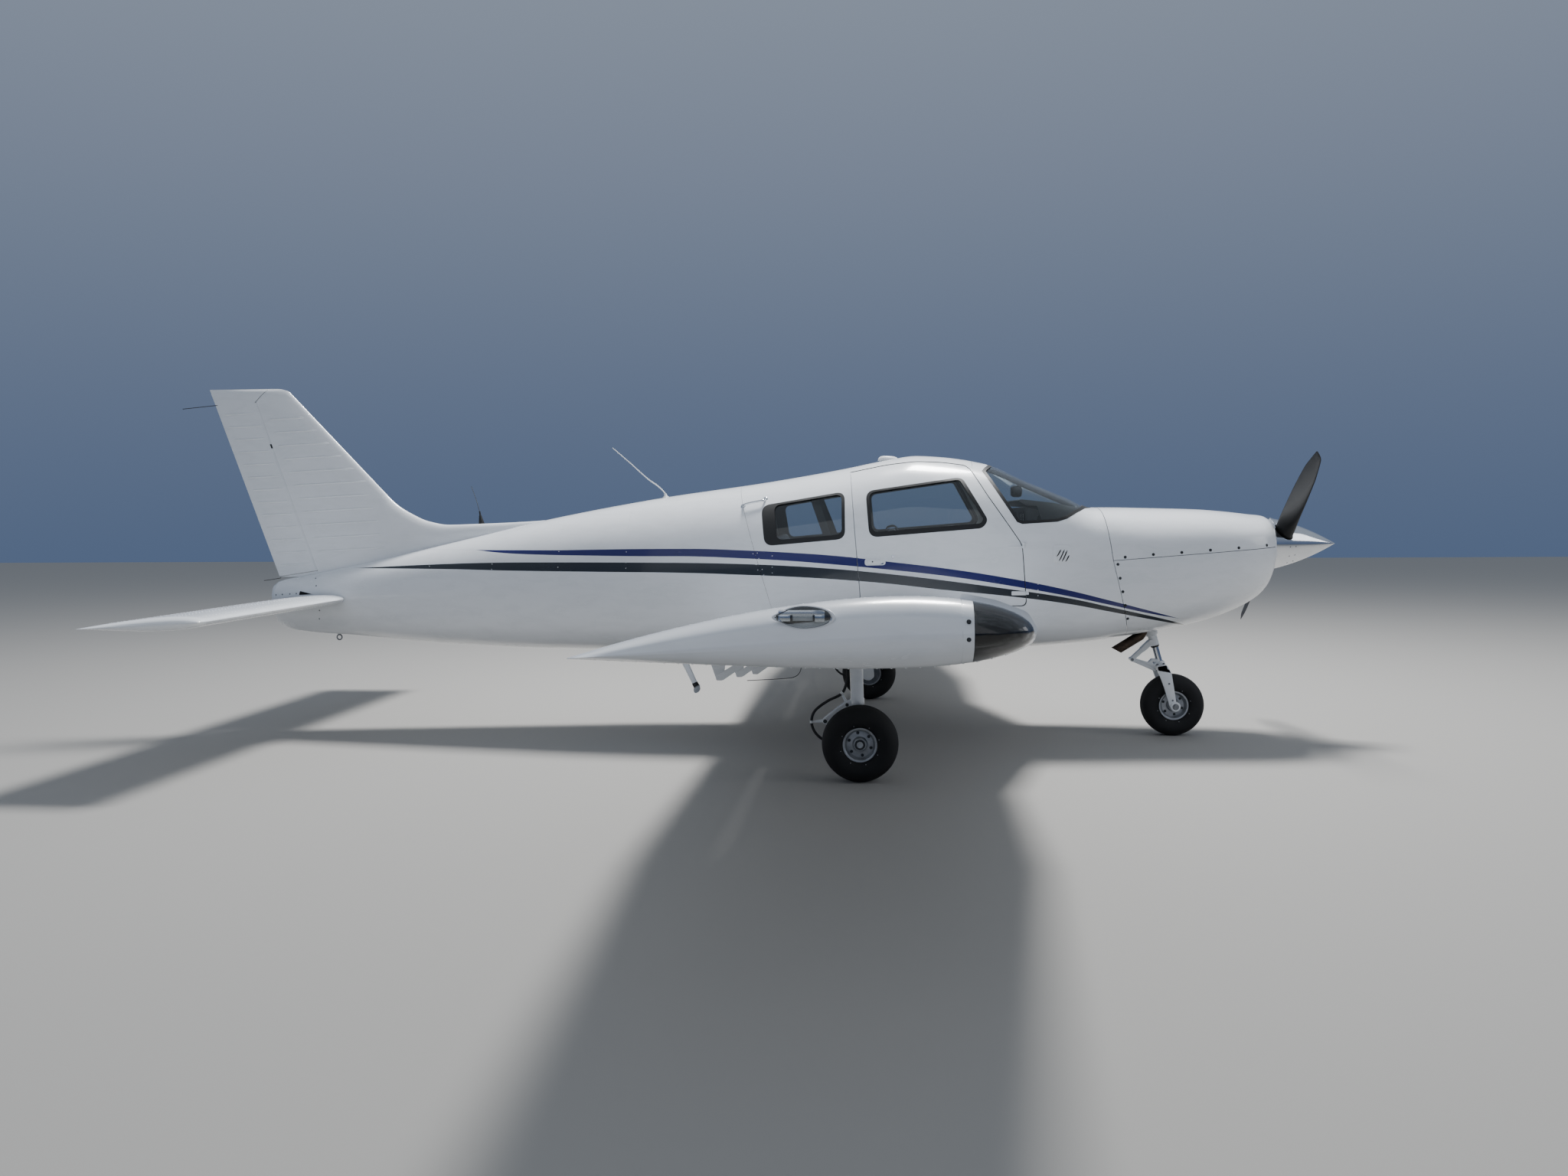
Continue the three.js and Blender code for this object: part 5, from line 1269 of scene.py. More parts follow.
def fin_blank(name):
    rings = []
    curl = [FIN_CURL + 50 * math.sin(t) for t in np.linspace(0.15, math.pi / 2, 9)]
    for z in [*np.linspace(FIN_ROOT, FIN_CURL, 26), *curl]:
        lead, trail = line_x(FIN_LEAD, z), line_x(RUDDER_TRAIL, z)
        share = 1.0 if z <= FIN_CURL else max(0.3, math.sqrt(max(0.0, 1 - ((z - FIN_CURL) / 50) ** 2)))
        ring = section_ring(fin_thickness(z) * share, 0, 0)
        rings.append([(lead + (trail - lead) * f, height, z) for f, height in ring])
    return loft(name, rings)


def rudder_space(gap):
    neck_z = HORN[0][1]
    low = RUDDER_LOW[0] - 20
    outline = [
        (line_x(RUDDER_HINGE, low), low), (line_x(RUDDER_HINGE, neck_z - 1.4 * gap), neck_z - 1.4 * gap),
        (HORN[1][0] + gap, HORN[1][1] - gap * 0.2), (HORN[1][0] + gap + 6, 2400), (-4200, 2400),
        (-4200, low - 300)]
    high = neck_z - 4 + gap
    ends = [(line_x(RUDDER_HINGE, z), 0, z) for z in (low, high)]
    radii = [fin_half(line_x(RUDDER_HINGE, z), z) - 1 + gap for z in (low, high)]
    edge = [(x, z - gap) for x, z in (
        (-2700, RUDDER_LOW[0] + 34), (RUDDER_TRAIL[0], RUDDER_LOW[1]), (-4200, RUDDER_LOW[1] - 140))]
    above = prism("above", [*edge, (-4200, 2400), (-2700, 2400)], "Y", -400, 400)
    space = carved(
        prism("rudder_space", outline, "Y", -400, 400),
        add=[rod("nose", *ends, *radii, sides=48, edge=0.1)])
    return carved(space, keep=[above])


def rudder_pin(grow=0.0):
    low, high = RUDDER_LOW[0] - 44, RUDDER_LOW[0] + 20
    ends = [(line_x(RUDDER_HINGE, z), 0, z) for z in (low, high)]
    return rod("rudder_pin", *ends, 5 + grow, sides=24, edge=0.4)


def stab_part(x):
    return (STAB["lead_x"] - x) / (STAB["lead_x"] - STAB["trail_x"])


def stab_z(part):
    return STAB["lead_z"] + (STAB["trail_z"] - STAB["lead_z"]) * part


def stab_spot(x, y, up):
    """Place over the tailplane's upper or lower side"""
    part = stab_part(x)
    return (x, y, stab_z(part) + up * (STAB["thick"] * half_thickness(part) + LINE_LIFT))


PIVOT_PART = 0.2378
STAB_PIVOT = [
    STAB["lead_" + axis] + (STAB["trail_" + axis] - STAB["lead_" + axis]) * PIVOT_PART for axis in "xz"]


def tail_axle(name, reach, radius):
    x, z = STAB_PIVOT
    return rod(name, (x, -reach, z), (x, reach, z), radius, sides=48)


def tail_slot_hole():
    """Dark slot under the tailplane, cut in the tail cone's rear"""
    return prism("tail_slot_hole", rounded([(-3024, 941), (-2926, 920), (-3030, 914)], 3), "Y", -400, 400)


def stab_blank(name):
    places = [STAB["half"] - TAIL_TIP * (1 - math.sin(t)) for t in np.linspace(0, math.pi / 2, 12)]
    rings = []
    for y in [*(-p for p in places[::-1]), *np.linspace(-STAB["half"] + 90, STAB["half"] - 90, 20), *places]:
        over = max(0.0, (abs(y) - (STAB["half"] - TAIL_TIP)) / TAIL_TIP)
        share = max(0.12, math.sqrt(max(0.0, 1 - over ** 2)))
        set_in = 16 * over ** 2
        lead, trail = STAB["lead_x"] - set_in, STAB["trail_x"] + set_in * 0.6
        rings.append([
            (lead + (trail - lead) * f, y, stab_z(f) + height)
            for f, height in section_ring(STAB["thick"] * share, 0, 0)])
    return loft(name, rings)


def tab_space(gap):
    x, y = TAB["front"], TAB["half"] + gap
    part = stab_part(x)
    z = stab_z(part)
    radius = STAB["thick"] * half_thickness(part) - 0.5 + gap
    nose = rod("nose", (x, -y, z), (x, y, z), radius, sides=32, edge=0.1)
    return carved(box("tab_space", (-3600, -y, 600), (x, y, 1200)), add=[nose])


class AEROPLANE_OT_tail(bpy.types.Operator):
    """Fin, dorsal fairing, rudder, tailplane, tab and tail ring"""
    bl_idname = "aeroplane.tail"
    bl_label = "Tail"

    def execute(self, context):
        corner = prism("corner", FIN_CORNER, "Y", -200, 200)
        blank = carved(fin_blank("fin_skin"), cut=[corner])
        rudder = carved(copy_of(blank, "rudder_skin"), keep=[rudder_space(0)])
        finish(rudder, "white_enamel", ["rudder"], body="rudder_body", sharp=40)
        below = box("below", (-5000, -500, 0), (-1000, 500, FIN_ROOT + 30))
        fin = carved(
            blank, cut=[rudder_space(5), hull_solid("inside", 2, -1000, TAIL_X), below, rudder_pin(1)])
        finish(fin, "white_enamel", ["fin"], sharp=40)
        crest, width = (
            smooth_through([row[0] for row in DORSAL], [row[i] for row in DORSAL]) for i in (1, 2))
        rings = []
        for x in np.linspace(-1192, -2500, 44):
            base = hull_at(x)[0] - 80
            top, half = crest(x), width(x)
            ring = [(x, half, base)]
            for t in np.linspace(0, math.pi, 23):
                ring.append((x, half * 0.92 * math.cos(t), base + (top - base) * math.sin(t) ** 0.55))
            rings.append([*ring, (x, -half, base)])
        dorsal = carved(loft("dorsal_fairing", rings), cut=[hull_solid("inside", 2, -1000, TAIL_X)])
        finish(dorsal, "white_enamel", sharp=50)
        pin = carved(rudder_pin(), cut=[rudder_space(0.8)])
        finish(pin, "machined_steel").name = "rudder_foot_pin"
        self.tailplane()
        self.small_parts()
        return {"FINISHED"}

    def tailplane(self):
        slots_and_slot_shadows = []
        for side in (1, -1):
            outline = [(x, side * y) for x, y in TAIL_SLOT] + [(-3275, 0), (-2400, 0)]
            slots_and_slot_shadows.append(prism("slot", outline, "Z", 600, 1200))
        plane = carved(stab_blank("tailplane_skin"), cut=[*slots_and_slot_shadows, tab_space(6)])
        finish(plane, "white_enamel", ["stabilator"], body="tailplane", sharp=30)
        finish(tail_axle("tailplane_axle", 320, TUBE_RADIUS), "machined_steel", body="tailplane")
        x, y = TAB["front"], TAB["half"]
        z = stab_z(stab_part(x))
        pins = [rod("pin", (x, side * (y + 0.6), z), (x, side * (y + 9), z), 4, sides=16) for side in (1, -1)]
        finish(joined("tab_pins", pins), "machined_steel", body="tailplane")
        finish(
            carved(stab_blank("tab_skin"), keep=[tab_space(0)]), "white_enamel", ["antiservo_tab"],
            body="tab", sharp=30)

    def small_parts(self):
        x = -2815
        z = hull_at(x)[1]
        turns = np.linspace(0, 2 * math.pi, 14, endpoint=False)
        bar = [(17 + 4.5 * math.cos(t), 4.5 * math.sin(t)) for t in turns]
        ring = turned("tail_ring", bar, (x, 0, z - 24), (0, 1, 0), 40, ring=True)
        stem = rod("stem", (x, 0, z + 12), (x, 0, z - 8), 8)
        finish(joined("tail_ring", [ring, stem]), "machined_steel", ["tail_tiedown"])
        whiskers = [
            tube("whisker", [(-3330, 0, 1004), (-3268, 0, 1012), (-3210, 0, 1022)], 2.2, 10, 20),
            tube("whisker", [(-3860, 0, 2160), (-3600, 0, 2183)], 2.4, 10, 20)]
        mark = box("rudder_hinge_mark", (-3248, -25, 1889), (-3222, 25, 1917))
        finish(carved(mark, cut=[rudder_space(1)]), "black_plastic")
        finish(whiskers[0], "black_plastic").name = "static_rod_low"
        finish(whiskers[1], "black_plastic", body="rudder_body").name = "static_rod_high"


# Propeller: radius from the hub, chord, thickness, pitch in degrees, sweep towards the leading edge
BLADE = [
    (60, 96, 68, 60, 6), (140, 116, 58, 50, 8), (200, 119, 42, 46, 6), (360, 125, 26, 33, 0),
    (560, 130, 18, 24, -5), (750, 123, 13, 18, -8), (850, 97, 10, 16, -8), (930, 68, 8, 15, -9),
    (952, 56, 7, 15, -12)]
# The spinner's opening for a blade, and the cuff that fills it, in the same columns
ROOT_HOLE = [(20, 130, 80, 51, 7), (300, 130, 80, 51, 7)]
ROOT_CUFF = [(40, 127, 77, 51, 7), (137, 127, 77, 51, 7)]
PROP_REST = 57.0
HUB = {"back": 3260.0, "front": 3350.0, "radius": 78.0}
SPINNER = {"back": 3256.0, "tip": 3667.0, "radius": 165.0}


def blade_way():
    angle = math.radians(PROP_REST)
    return Vector((0, -math.sin(angle), math.cos(angle)))


def spinner_radius(x):
    part = (SPINNER["tip"] - x) / (SPINNER["tip"] - SPINNER["back"])
    return SPINNER["radius"] * (1.5 * part - 0.5 * part ** 2)


def blade_loft(name, sign, table, places):
    """Skin through a blade table, which turns from an oval root into a thin cambered blade"""
    out = blade_way() * sign
    forward = Vector((1, 0, 0))
    turn = forward.cross(out)
    columns = [smooth_through([row[0] for row in table], [row[i] for row in table]) for i in (1, 2, 3, 4)]
    centre = Vector((PROP_AXIS[0], 0, PROP_AXIS[1]))
    tip = BLADE[-1][0]
    rings = []
    for radius in places:
        chord, thick, pitch, sweep = (column(radius) for column in columns)
        end = math.sqrt(max(0.12, min(1.0, (tip - radius) / 14)))
        angle = math.radians(pitch)
        along = turn * math.cos(angle) + forward * math.sin(angle)
        across = along.cross(out)
        middle = centre + out * radius + along * sweep
        thin = min(1.0, max(0.0, (radius - 150) / 120)) if table is BLADE else 0.0
        ring = []
        for a in np.linspace(0, 2 * math.pi, 28, endpoint=False):
            fat = (1 + 0.4 * thin * math.cos(a)) * (1.0 - 0.35 * thin * (math.sin(a) < 0)) * end
            ring.append(
                middle + along * (chord / 2 * math.cos(a) * (0.6 + 0.4 * end))
                + across * (thick / 2 * math.sin(a) * fat))
        rings.append(ring)
    return loft(name, rings)


class AEROPLANE_OT_propeller(bpy.types.Operator):
    """Propeller, spinner and the engine's visible front"""
    bl_idname = "aeroplane.propeller"
    bl_label = "Propeller"

    def execute(self, context):
        z = PROP_AXIS[1]
        places = [*np.linspace(60, 936, 34), 942, 947, 950, 951.5]
        parts = [rod("hub", (HUB["back"] + 0.3, 0, z), (HUB["front"], 0, z), HUB["radius"], sides=48, edge=4)]
        for sign in (1, -1):
            parts.append(blade_loft("blade", sign, BLADE, places))
            parts.append(blade_loft("cuff", sign, ROOT_CUFF, (40, 88, 137)))
        finish(
            joined("propeller_blades", parts), "matt_black_paint", ["propeller"],
            body="propeller_body", sharp=50)
        self.spinner()
        self.engine()
        return {"FINISHED"}

    def spinner(self):
        back, tip, z = SPINNER["back"], SPINNER["tip"], PROP_AXIS[1]
        steps = [back + (tip - 1.5 - back) * math.sin(t) for t in np.linspace(0, math.pi / 2, 40)]
        outer = [(spinner_radius(x), x - back) for x in steps] + [(0, tip - back - 0.4)]
        inner = [(r - 3.2, x) for r, x in outer if r > 4] + [(0, tip - back - 8)]
        shell = turned("spinner_shell", [*outer, *inner[::-1]], (back, 0, z), (1, 0, 0), 96, ring=True)
        holes = [blade_loft("root_hole", sign, ROOT_HOLE, (20, 160, 300)) for sign in (1, -1)]
        finish(carved(shell, cut=holes), "polished_aluminium", ["spinner"], body="propeller_body", sharp=40)
        rim = SPINNER["radius"] + 1.2
        plate = turned("spinner_plate", [(79, 1), (rim, 1), (rim, 7), (161, 7), (159, 4), (79, 4)],
                       (back, 0, z), (1, 0, 0), 96, ring=True)
        finish(plate, "polished_aluminium", body="propeller_body", sharp=40)
        heads = []
        out, across = blade_way(), Vector((1, 0, 0)).cross(blade_way())
        for x in (3353, 3390):
            reach = spinner_radius(x)
            lean = (spinner_radius(x - 5) - spinner_radius(x + 5)) / 10
            for turn in (40, 65, 90, 115, 140, 220, 245, 270, 295, 320):
                way = out * math.cos(math.radians(turn)) + across * math.sin(math.radians(turn))
                spot = Vector((x, 0, z)) + way * (reach - 0.4)
                heads.append(turned("head", [(0, 0), (4.2, 0), (3.4, 1.5), (0, 1.7)], spot,
                                    way + Vector((lean, 0, 0)), 12))
        finish(joined("spinner_screws", heads), "machined_steel", body="propeller_body")

    def engine(self):
        repaint("engine_block", "engine_casting")
        fins = []
        for side in (1, -1):
            for z in range(1150, 1312, 12):
                outline = rounded(
                    [(side * 165, z), (side * 345, z), (side * 345, z + 4), (side * 165, z + 4)], 1)
                fins.append(prism("fin", outline, "X", 3071, 3096))
        finish(joined("cylinder_fins", fins), "engine_casting")


# Landing gear
MAIN_AXLE = {"x": 715.0, "y": 1525.0, "z": 205.0}
NOSE_AXLE = {"x": 2672.0, "z": 196.0}
LEG_Y, FORK_Y = 1395.0, 92.0
BEAD = 89.8
# Outer half of a wheel's section, as radius and distance from its middle: hub, dish, well and flange
RIM = [
    (13.2, 50), (31, 50), (35, 46.5), (37, 30), (41, 23.6), (56, 21.2), (69, 20.4), (73.5, 24), (76.5, 40),
    (79, 54), (81.5, 59.5), (84, 60.8), (91.5, 60.8), (92.5, 59.8), (91.8, 58.3), (89.3, 57),
    (88.6, 44), (86, 30)]
# Half of a tyre's section: part of the way from the bead to the tread, and half width
TYRE_SIDE = [
    (0, 50), (0.02, 57), (0.06, 64), (0.13, 70), (0.25, 76), (0.45, 79.6), (0.62, 77.6), (0.76, 70),
    (0.86, 60.5), (0.93, 49), (0.965, 41)]


def tyre_profile(radius, groove):
    half = [(BEAD + (radius - BEAD) * part, width) for part, width in TYRE_SIDE]
    for centre in (30.0, 10.0):
        top = radius - 3.2 * (centre / 36) ** 2
        edges = ((top, groove / 2 + 1), (top - 1, groove / 2), (top - 6, groove / 2 - 1))
        half += [(r, centre + reach) for r, reach in edges] + [
            (r, centre - reach) for r, reach in edges[::-1]]
    return [*half, (radius, 0), *[(r, -y) for r, y in half[::-1]]]


def link_plate(name, start, end, y, half, width, end_width, groove=0.0):
    """Flat link in side view, with a long hollow of the given depth on both faces"""
    start, end = Vector(start), Vector(end)
    way = (end - start).normalized()
    across = Vector((-way.y, way.x))

    def outline(out, part):
        ends = ((start - way * out, width * part / 2), (end + way * out, end_width * part / 2))
        (a, wide), (b, narrow) = ends
        return [
            tuple(p)
            for p in (a + across * wide, a - across * wide, b - across * narrow, b + across * narrow)]

    plate = prism(name, rounded(outline(5, 1.0), 7), "Y", y - half, y + half)
    if groove:
        hollows = [
            prism("hollow", rounded(outline(-12, 0.42), 5), "Y",
            *sorted((y + s * (half - groove), y + s * 90))) for s in (1, -1)]
        plate = carved(plate, cut=hollows)
    return eased(plate, 1.2, 1)


def bolt(name, centre, way, radius, height=6.0):
    """Hexagon head on a washer"""
    centre, way = Vector(centre), Vector(way).normalized()
    washer = rod("washer", centre, centre + way * 1.8, radius * 1.35, sides=20, edge=0.4)
    profile = [(0, 1.8), (radius, 1.8), (radius, height - 1), (radius - 1, height), (0, height)]
    return joined(name, [washer, turned("head", profile, centre, way, 6)])


def ring_of(count, radius, x, z, start=0.0):
    """X and Z of places round a point"""
    turns = [start + 2 * math.pi * k / count for k in range(count)]
    return [(x + radius * math.cos(t), z + radius * math.sin(t)) for t in turns]


class AEROPLANE_OT_gear(bpy.types.Operator):
    """Nose leg, main legs, wheels, tyres and brakes"""
    bl_idname = "aeroplane.gear"
    bl_label = "Landing gear"

    def execute(self, context):
        self.wheel(
            "nose", NOSE_AXLE, 0.0, size("nose_tyre"), "nose_wheel_body", ("nose_wheel", "nose_tyre"), 0)
        for side, label in SIDES:
            nodes = ("main_wheel_" + label, "main_tyre_" + label)
            self.wheel(
                label + "_main", MAIN_AXLE, side * MAIN_AXLE["y"], size("main_tyre"),
                label + "_wheel", nodes, side)
            self.main_leg(side, label)
        self.nose_leg()
        return {"FINISHED"}

    def wheel(self, name, axle, y, radius, body, nodes, side):
        x, z = axle["x"], axle["z"]
        centre, across = (x, y, z), (0, 1, 0)
        tyre = turned(
            name + "_tyre_rubber", tyre_profile(radius, size("groove")), centre, across, 96, ring=True)
        finish(tyre, "tyre_rubber", [nodes[1]], body=body, sharp=50)
        dots = [rod("dot", (px, y + s * 68, pz), (px, y + s * 73, pz), 2.4, sides=10, edge=0.4)
                for s in (1, -1) for px, pz in ring_of(8, 106, x, z, 0.3)]
        finish(joined(name + "_tyre_dots", dots), "cast_aluminium", body=body)
        profile = [*RIM, (84, 0), *[(r, -a) for r, a in RIM[::-1]]]
        casting = turned(name + "_wheel_casting", profile, centre, across, 96, ring=True)
        finish(casting, "cast_aluminium", [nodes[0]], body=body, sharp=40)
        bolts = [bolt("bolt", (px, y + s * 20.5, pz), (0, s, 0), 6.2)
                 for s in (1, -1) for px, pz in ring_of(6, 61, x, z, 0.72)]
        seals = [
            turned("seal", [(16, s * 49.6), (28, s * 49.6), (28, s * 51.2), (16, s * 51.2)], centre,
            across, 48, ring=True) for s in (1, -1)]
        finish(joined(name + "_wheel_bolts", [*bolts, *seals]), "engine_casting", body=body)
        if side:
            disc = [(40, -side * 62), (82, -side * 62), (82, -side * 65), (40, -side * 65)]
            finish(
                turned(name + "_brake_disc", disc, centre, across, 96, ring=True),
                "machined_steel", body=body)

    def nose_leg(self):
        x, z = NOSE_AXLE["x"], NOSE_AXLE["z"]
        way = Vector(strut_at(600)) - Vector(strut_at(905))
        profile = [
            (0, 0), (36, 0), (36, 232), (40, 236), (40, 268), (36, 275), (30, 277), (28.5, 284),
            (28.5, 342), (0, 342)]
        housing = turned("nose_housing", profile, strut_at(905), way, 48)
        shelf = prism(
            "crown",
            rounded([(2556, 452), (2616, 462), (2622, 436), (2634, 432), (2646, 409), (2562, 424)], 6),
            "Y", -110, 110)
        neck = turned("neck", [(0, 0), (25, 0), (31, 12), (33, 26), (0, 26)], strut_at(474), way, 40)
        lug = prism(
            "lug", rounded([(2520, 464), (2543, 490), (2580, 486), (2592, 440), (2530, 438)],
            7), "Y", -24, 24)
        window = prism("window", rounded([(2541, 474), (2566, 470), (2552, 452)], 3), "Y", -30, 30)
        parts = [housing, neck, eased(shelf, 3, 2), eased(carved(lug, cut=[window]), 2)]
        for side in (1, -1):
            outline = rounded(
                [(2556, 452), (2616, 462), (2634, 432), (2647, 406), (2662, 320), (2678, 216), (2640, 186),
                (2600, 320), (2587, 356), (2562, 420)], 9)
            parts.append(
                eased(prism("arm", outline, "Y", *sorted((side * FORK_Y, side * (FORK_Y + 18)))), 3, 2))
            boss = [(13, -2), (29, -2), (31, 1), (31, 23), (28, 26), (13, 26)]
            parts.append(turned("boss", boss, (x, side * FORK_Y, z), (0, side, 0), 40, ring=True))
        upper, apex, lower = (2534, 597), (2416, 486), (2566, 430)
        middle = (2482, 548)
        parts += [
            link_plate("link", upper, middle, 0, 26, 34, 30), link_plate("link", middle, apex, 0, 21, 26, 24),
            link_plate("link", apex, lower, 0, 26, 22, 42, 5),
            rod("knee", (apex[0], -34, apex[1]), (apex[0], 34, apex[1]), 13),
            rod("top", (upper[0], -30, upper[1]), (upper[0], 30, upper[1]), 16)]
        finish(joined("nose_leg_white", parts), "white_enamel", ["nose_strut"], body="nose_gear", sharp=40)
        fixings = [rod("axle", (x, -121, z), (x, 121, z), 12)]
        for side in (1, -1):
            fixings.append(bolt("nut", (x, side * 118, z), (0, side, 0), 15, 9))
            fixings += [
                bolt("stud", (px, side * 110, pz), (0, side, 0), 4.5, 4)
                for px, pz in ((2632, 342), (2655, 236))]
            fixings.append(bolt("knee_bolt", (apex[0], side * 34, apex[1]), (0, side, 0), 7))
            fixings += [
                bolt("crown_bolt", (px, side * 60, pz), (0.1, 0, 1), 7, 11)
                for px, pz in ((2606, 458), (2568, 452))]
        finish(joined("nose_leg_bolts", fixings), "machined_steel", body="nose_gear")
        finish(
            rod("nose_piston", strut_at(600), strut_at(452), 20, sides=48), "chromed_steel",
            body="nose_gear")
        cup = turned(
            "nose_wiper", [(20.5, 0), (27, 0), (27, 9), (24, 14), (20.5, 14)], strut_at(578),
            way, 40, ring=True)
        finish(cup, "black_plastic", body="nose_gear", sharp=50)
        repaint("nose_gear_mount", "engine_casting")

    def main_leg(self, side, label):
        y = side * LEG_Y
        x, z = MAIN_AXLE["x"], MAIN_AXLE["z"]
        under = wing_blank("under", side)
        profile = [(0, 0), (37, 0), (35, 326), (38, 334), (38, 362), (35, 366), (0, 366)]
        housing = turned("housing", profile, (687, y, 760), (11, 0, -362), 48)
        flange = prism(
            "flange",
            rounded([(628, y - 62), (772, y - 62), (772, y + 62), (628, y + 62)], 20), "Z", 606, 760)
        top = carved(housing, cut=[copy_of(under, "under_copy")])
        plate = carved(flange, cut=[under], keep=[box("band", (500, y - 200, 600), (900, y + 200, 690))])
        foot = prism(
            "foot", rounded(
            [(664, z + 59), (750, z + 59), (756, z - 17), (724, z - 45), (690, z - 41), (640, z - 7)], 12),
            "Y", *sorted((side * (LEG_Y - 32), side * (LEG_Y + 34))))
        upper, apex, lower = (642, 395), (523, 305), (664, 210)
        parts = [
            top, plate, eased(foot, 5, 3), link_plate("lug", (694, 414), upper, y, 20, 40, 36),
            link_plate("link", upper, apex, y, 19, 38, 33, 6),
            link_plate("link", apex, lower, y, 16, 26, 36, 5),
            link_plate("arm", apex, (462, 299), y, 8, 18, 12),
            link_plate("strap", (640, 402), (614, 452), y, 5, 16, 12),
            rod("knee", (apex[0], y - 26, apex[1]), (apex[0], y + 26, apex[1]), 15)]
        finish(joined("main_leg_white_" + label, parts), "white_enamel", ["main_leg_" + label], sharp=40)
        finish(rod("main_piston_" + label, (698, y, 398), (706, y, 250), 26, sides=48), "chromed_steel")
        reach = MAIN_AXLE["y"] + 62
        axle = [
            rod("axle", (x, y, z), (x, side * (reach - 8), z), 12),
            turned("cap", [(0, 0), (17, 0), (17, 11), (13, 13), (9, 12), (0, 12)],
            (x, side * (reach - 14), z), (0, side, 0), 40)]
        finish(joined("main_axle_" + label, axle), "cast_aluminium")
        fixings = [
            bolt("pin", (spot[0], y + s * out, spot[1]), (0, s, 0), radius)
            for s in (1, -1) for spot, out, radius in ((apex, 26, 8), (upper, 20, 7))]
        finish(joined("main_leg_bolts_" + label, fixings), "engine_casting")
        caliper = prism(
            "brake_caliper_" + label, rounded([(628, 188), (660, 254), (690, 254), (668, 178)], 8), "Y",
            *sorted((side * (LEG_Y + 34.5), side * (LEG_Y + 61))))
        finish(eased(caliper, 4, 2), "machined_steel")


# Brake hose: X, distance outside the leg's middle, Z, from the wing down to the brake
HOSE_OFFSET = 4.0
HOSE_ROUTE = [
    (640, 0, 640), (644, 0, 583), (640, 0, 520), (612, 0, 454), (535, 2, 413), (466, 4, 359), (448, 6, 300),
    (466, 9, 244), (510, 10, 204), (570, 10, 192), (628, 8, 214)]
HOSE_CLAMPS = ((612, 454), (448, 300))


class AEROPLANE_OT_hoses(bpy.types.Operator):
    """Brake hoses down the main legs"""
    bl_idname = "aeroplane.hoses"
    bl_label = "Brake hoses"

    def execute(self, context):
        radius = size("hose_radius")
        for side, label in SIDES:
            y = side * (LEG_Y + HOSE_OFFSET)
            route = smooth_route([(x, y + side * out, z) for x, out, z in HOSE_ROUTE], 9.0)
            roof = np.array([wing_z(LEG_Y, x, -1) for x in route[:, 0]])
            route = route[route[:, 2] < roof + 4]
            hose = tube("brake_hose_line_" + label, route, radius, 14, smooth=False)
            finish(hose, "braided_hose", ["brake_hose_" + label], sharp=60)
            clamps = []
            for x, z in HOSE_CLAMPS:
                i = int(np.argmin(np.hypot(route[:, 0] - x, route[:, 2] - z)))
                way = Vector(route[i + 1] - route[i - 1]).normalized()
                ring = [(radius - 0.2, -7), (radius + 2.6, -7), (radius + 2.6, 7), (radius - 0.2, 7)]
                clamps.append(turned("clamp", ring, route[i], way, 24, ring=True))
            finish(joined("hose_clamps_" + label, clamps), "white_glassfibre")
        return {"FINISHED"}


# Cabin furniture
def cushion(name, outline, low, high):
    """Stuffed leather cushion from its side outline, swollen by a cloth simulation"""
    shape = prism(name, rounded(grown(outline, -12), 22), "Y", low + 10, high - 10)
    eased(shape, 14, 3)
    swell(shape, 0.012, size("cushion_puff") * MM)
    return shape


def swell(piece, voxel, reach):
    """Remeshes a pad evenly and lets its pressure puff it up, by no more than the reach"""
    even = piece.modifiers.new("even", "REMESH")
    even.mode = "VOXEL"
    even.voxel_size = voxel
    settle(piece)
    count = len(piece.data.vertices)
    rest = np.empty(count * 3)
    piece.data.vertices.foreach_get("co", rest)
    puff = piece.modifiers.new("puff", "CLOTH")
    puff.settings.use_pressure = True
    puff.settings.uniform_pressure_force = 4.0
    puff.settings.quality = 4
    puff.settings.effector_weights.gravity = 0.0
    puff.point_cache.frame_start, puff.point_cache.frame_end = 1, 20
    for step in range(1, 21):
        bpy.context.scene.frame_set(step)
    settle(piece)
    bpy.context.scene.frame_set(1)
    moved = np.empty(count * 3)
    piece.data.vertices.foreach_get("co", moved)
    shift = (moved - rest).reshape(-1, 3)
    length = np.linalg.norm(shift, axis=1)[:, None]
    shift *= np.minimum(1.0, reach / np.maximum(length, 1e-9))
    piece.data.vertices.foreach_set("co", (rest.reshape(-1, 3) + shift).ravel())
    finer = piece.modifiers.new("finer", "SUBSURF")
    finer.levels = finer.render_levels = 1
    settle(piece)


# The nodes that the cushions stand for, and how full each pad is
SEAT_NODES = {
    "seat_cushion_left": ["seat_front_left"], "seat_cushion_right": ["seat_front_right"],
    "rear_cushion": ["seat_rear"]}
SEAT_CUSHION = [(900, 830), (1345, 850), (1360, 955), (1315, 980), (920, 940)]
SEAT_BACK = [(860, 880), (965, 900), (932, 1325), (905, 1352), (850, 1340)]
REAR_CUSHION = [(220, 800), (650, 820), (660, 930), (620, 955), (230, 900)]
REAR_BACK = [(160, 820), (270, 880), (196, 1300), (170, 1322), (100, 1305)]


def piping(name, outline, y):
    route = rounded(grown(outline, -1), 22, 4)
    points = [(x, y, z) for x, z in route] + [(route[0][0], y, route[0][1])]
    return tube(name, points, 3.2, 8, 14, smooth=False)


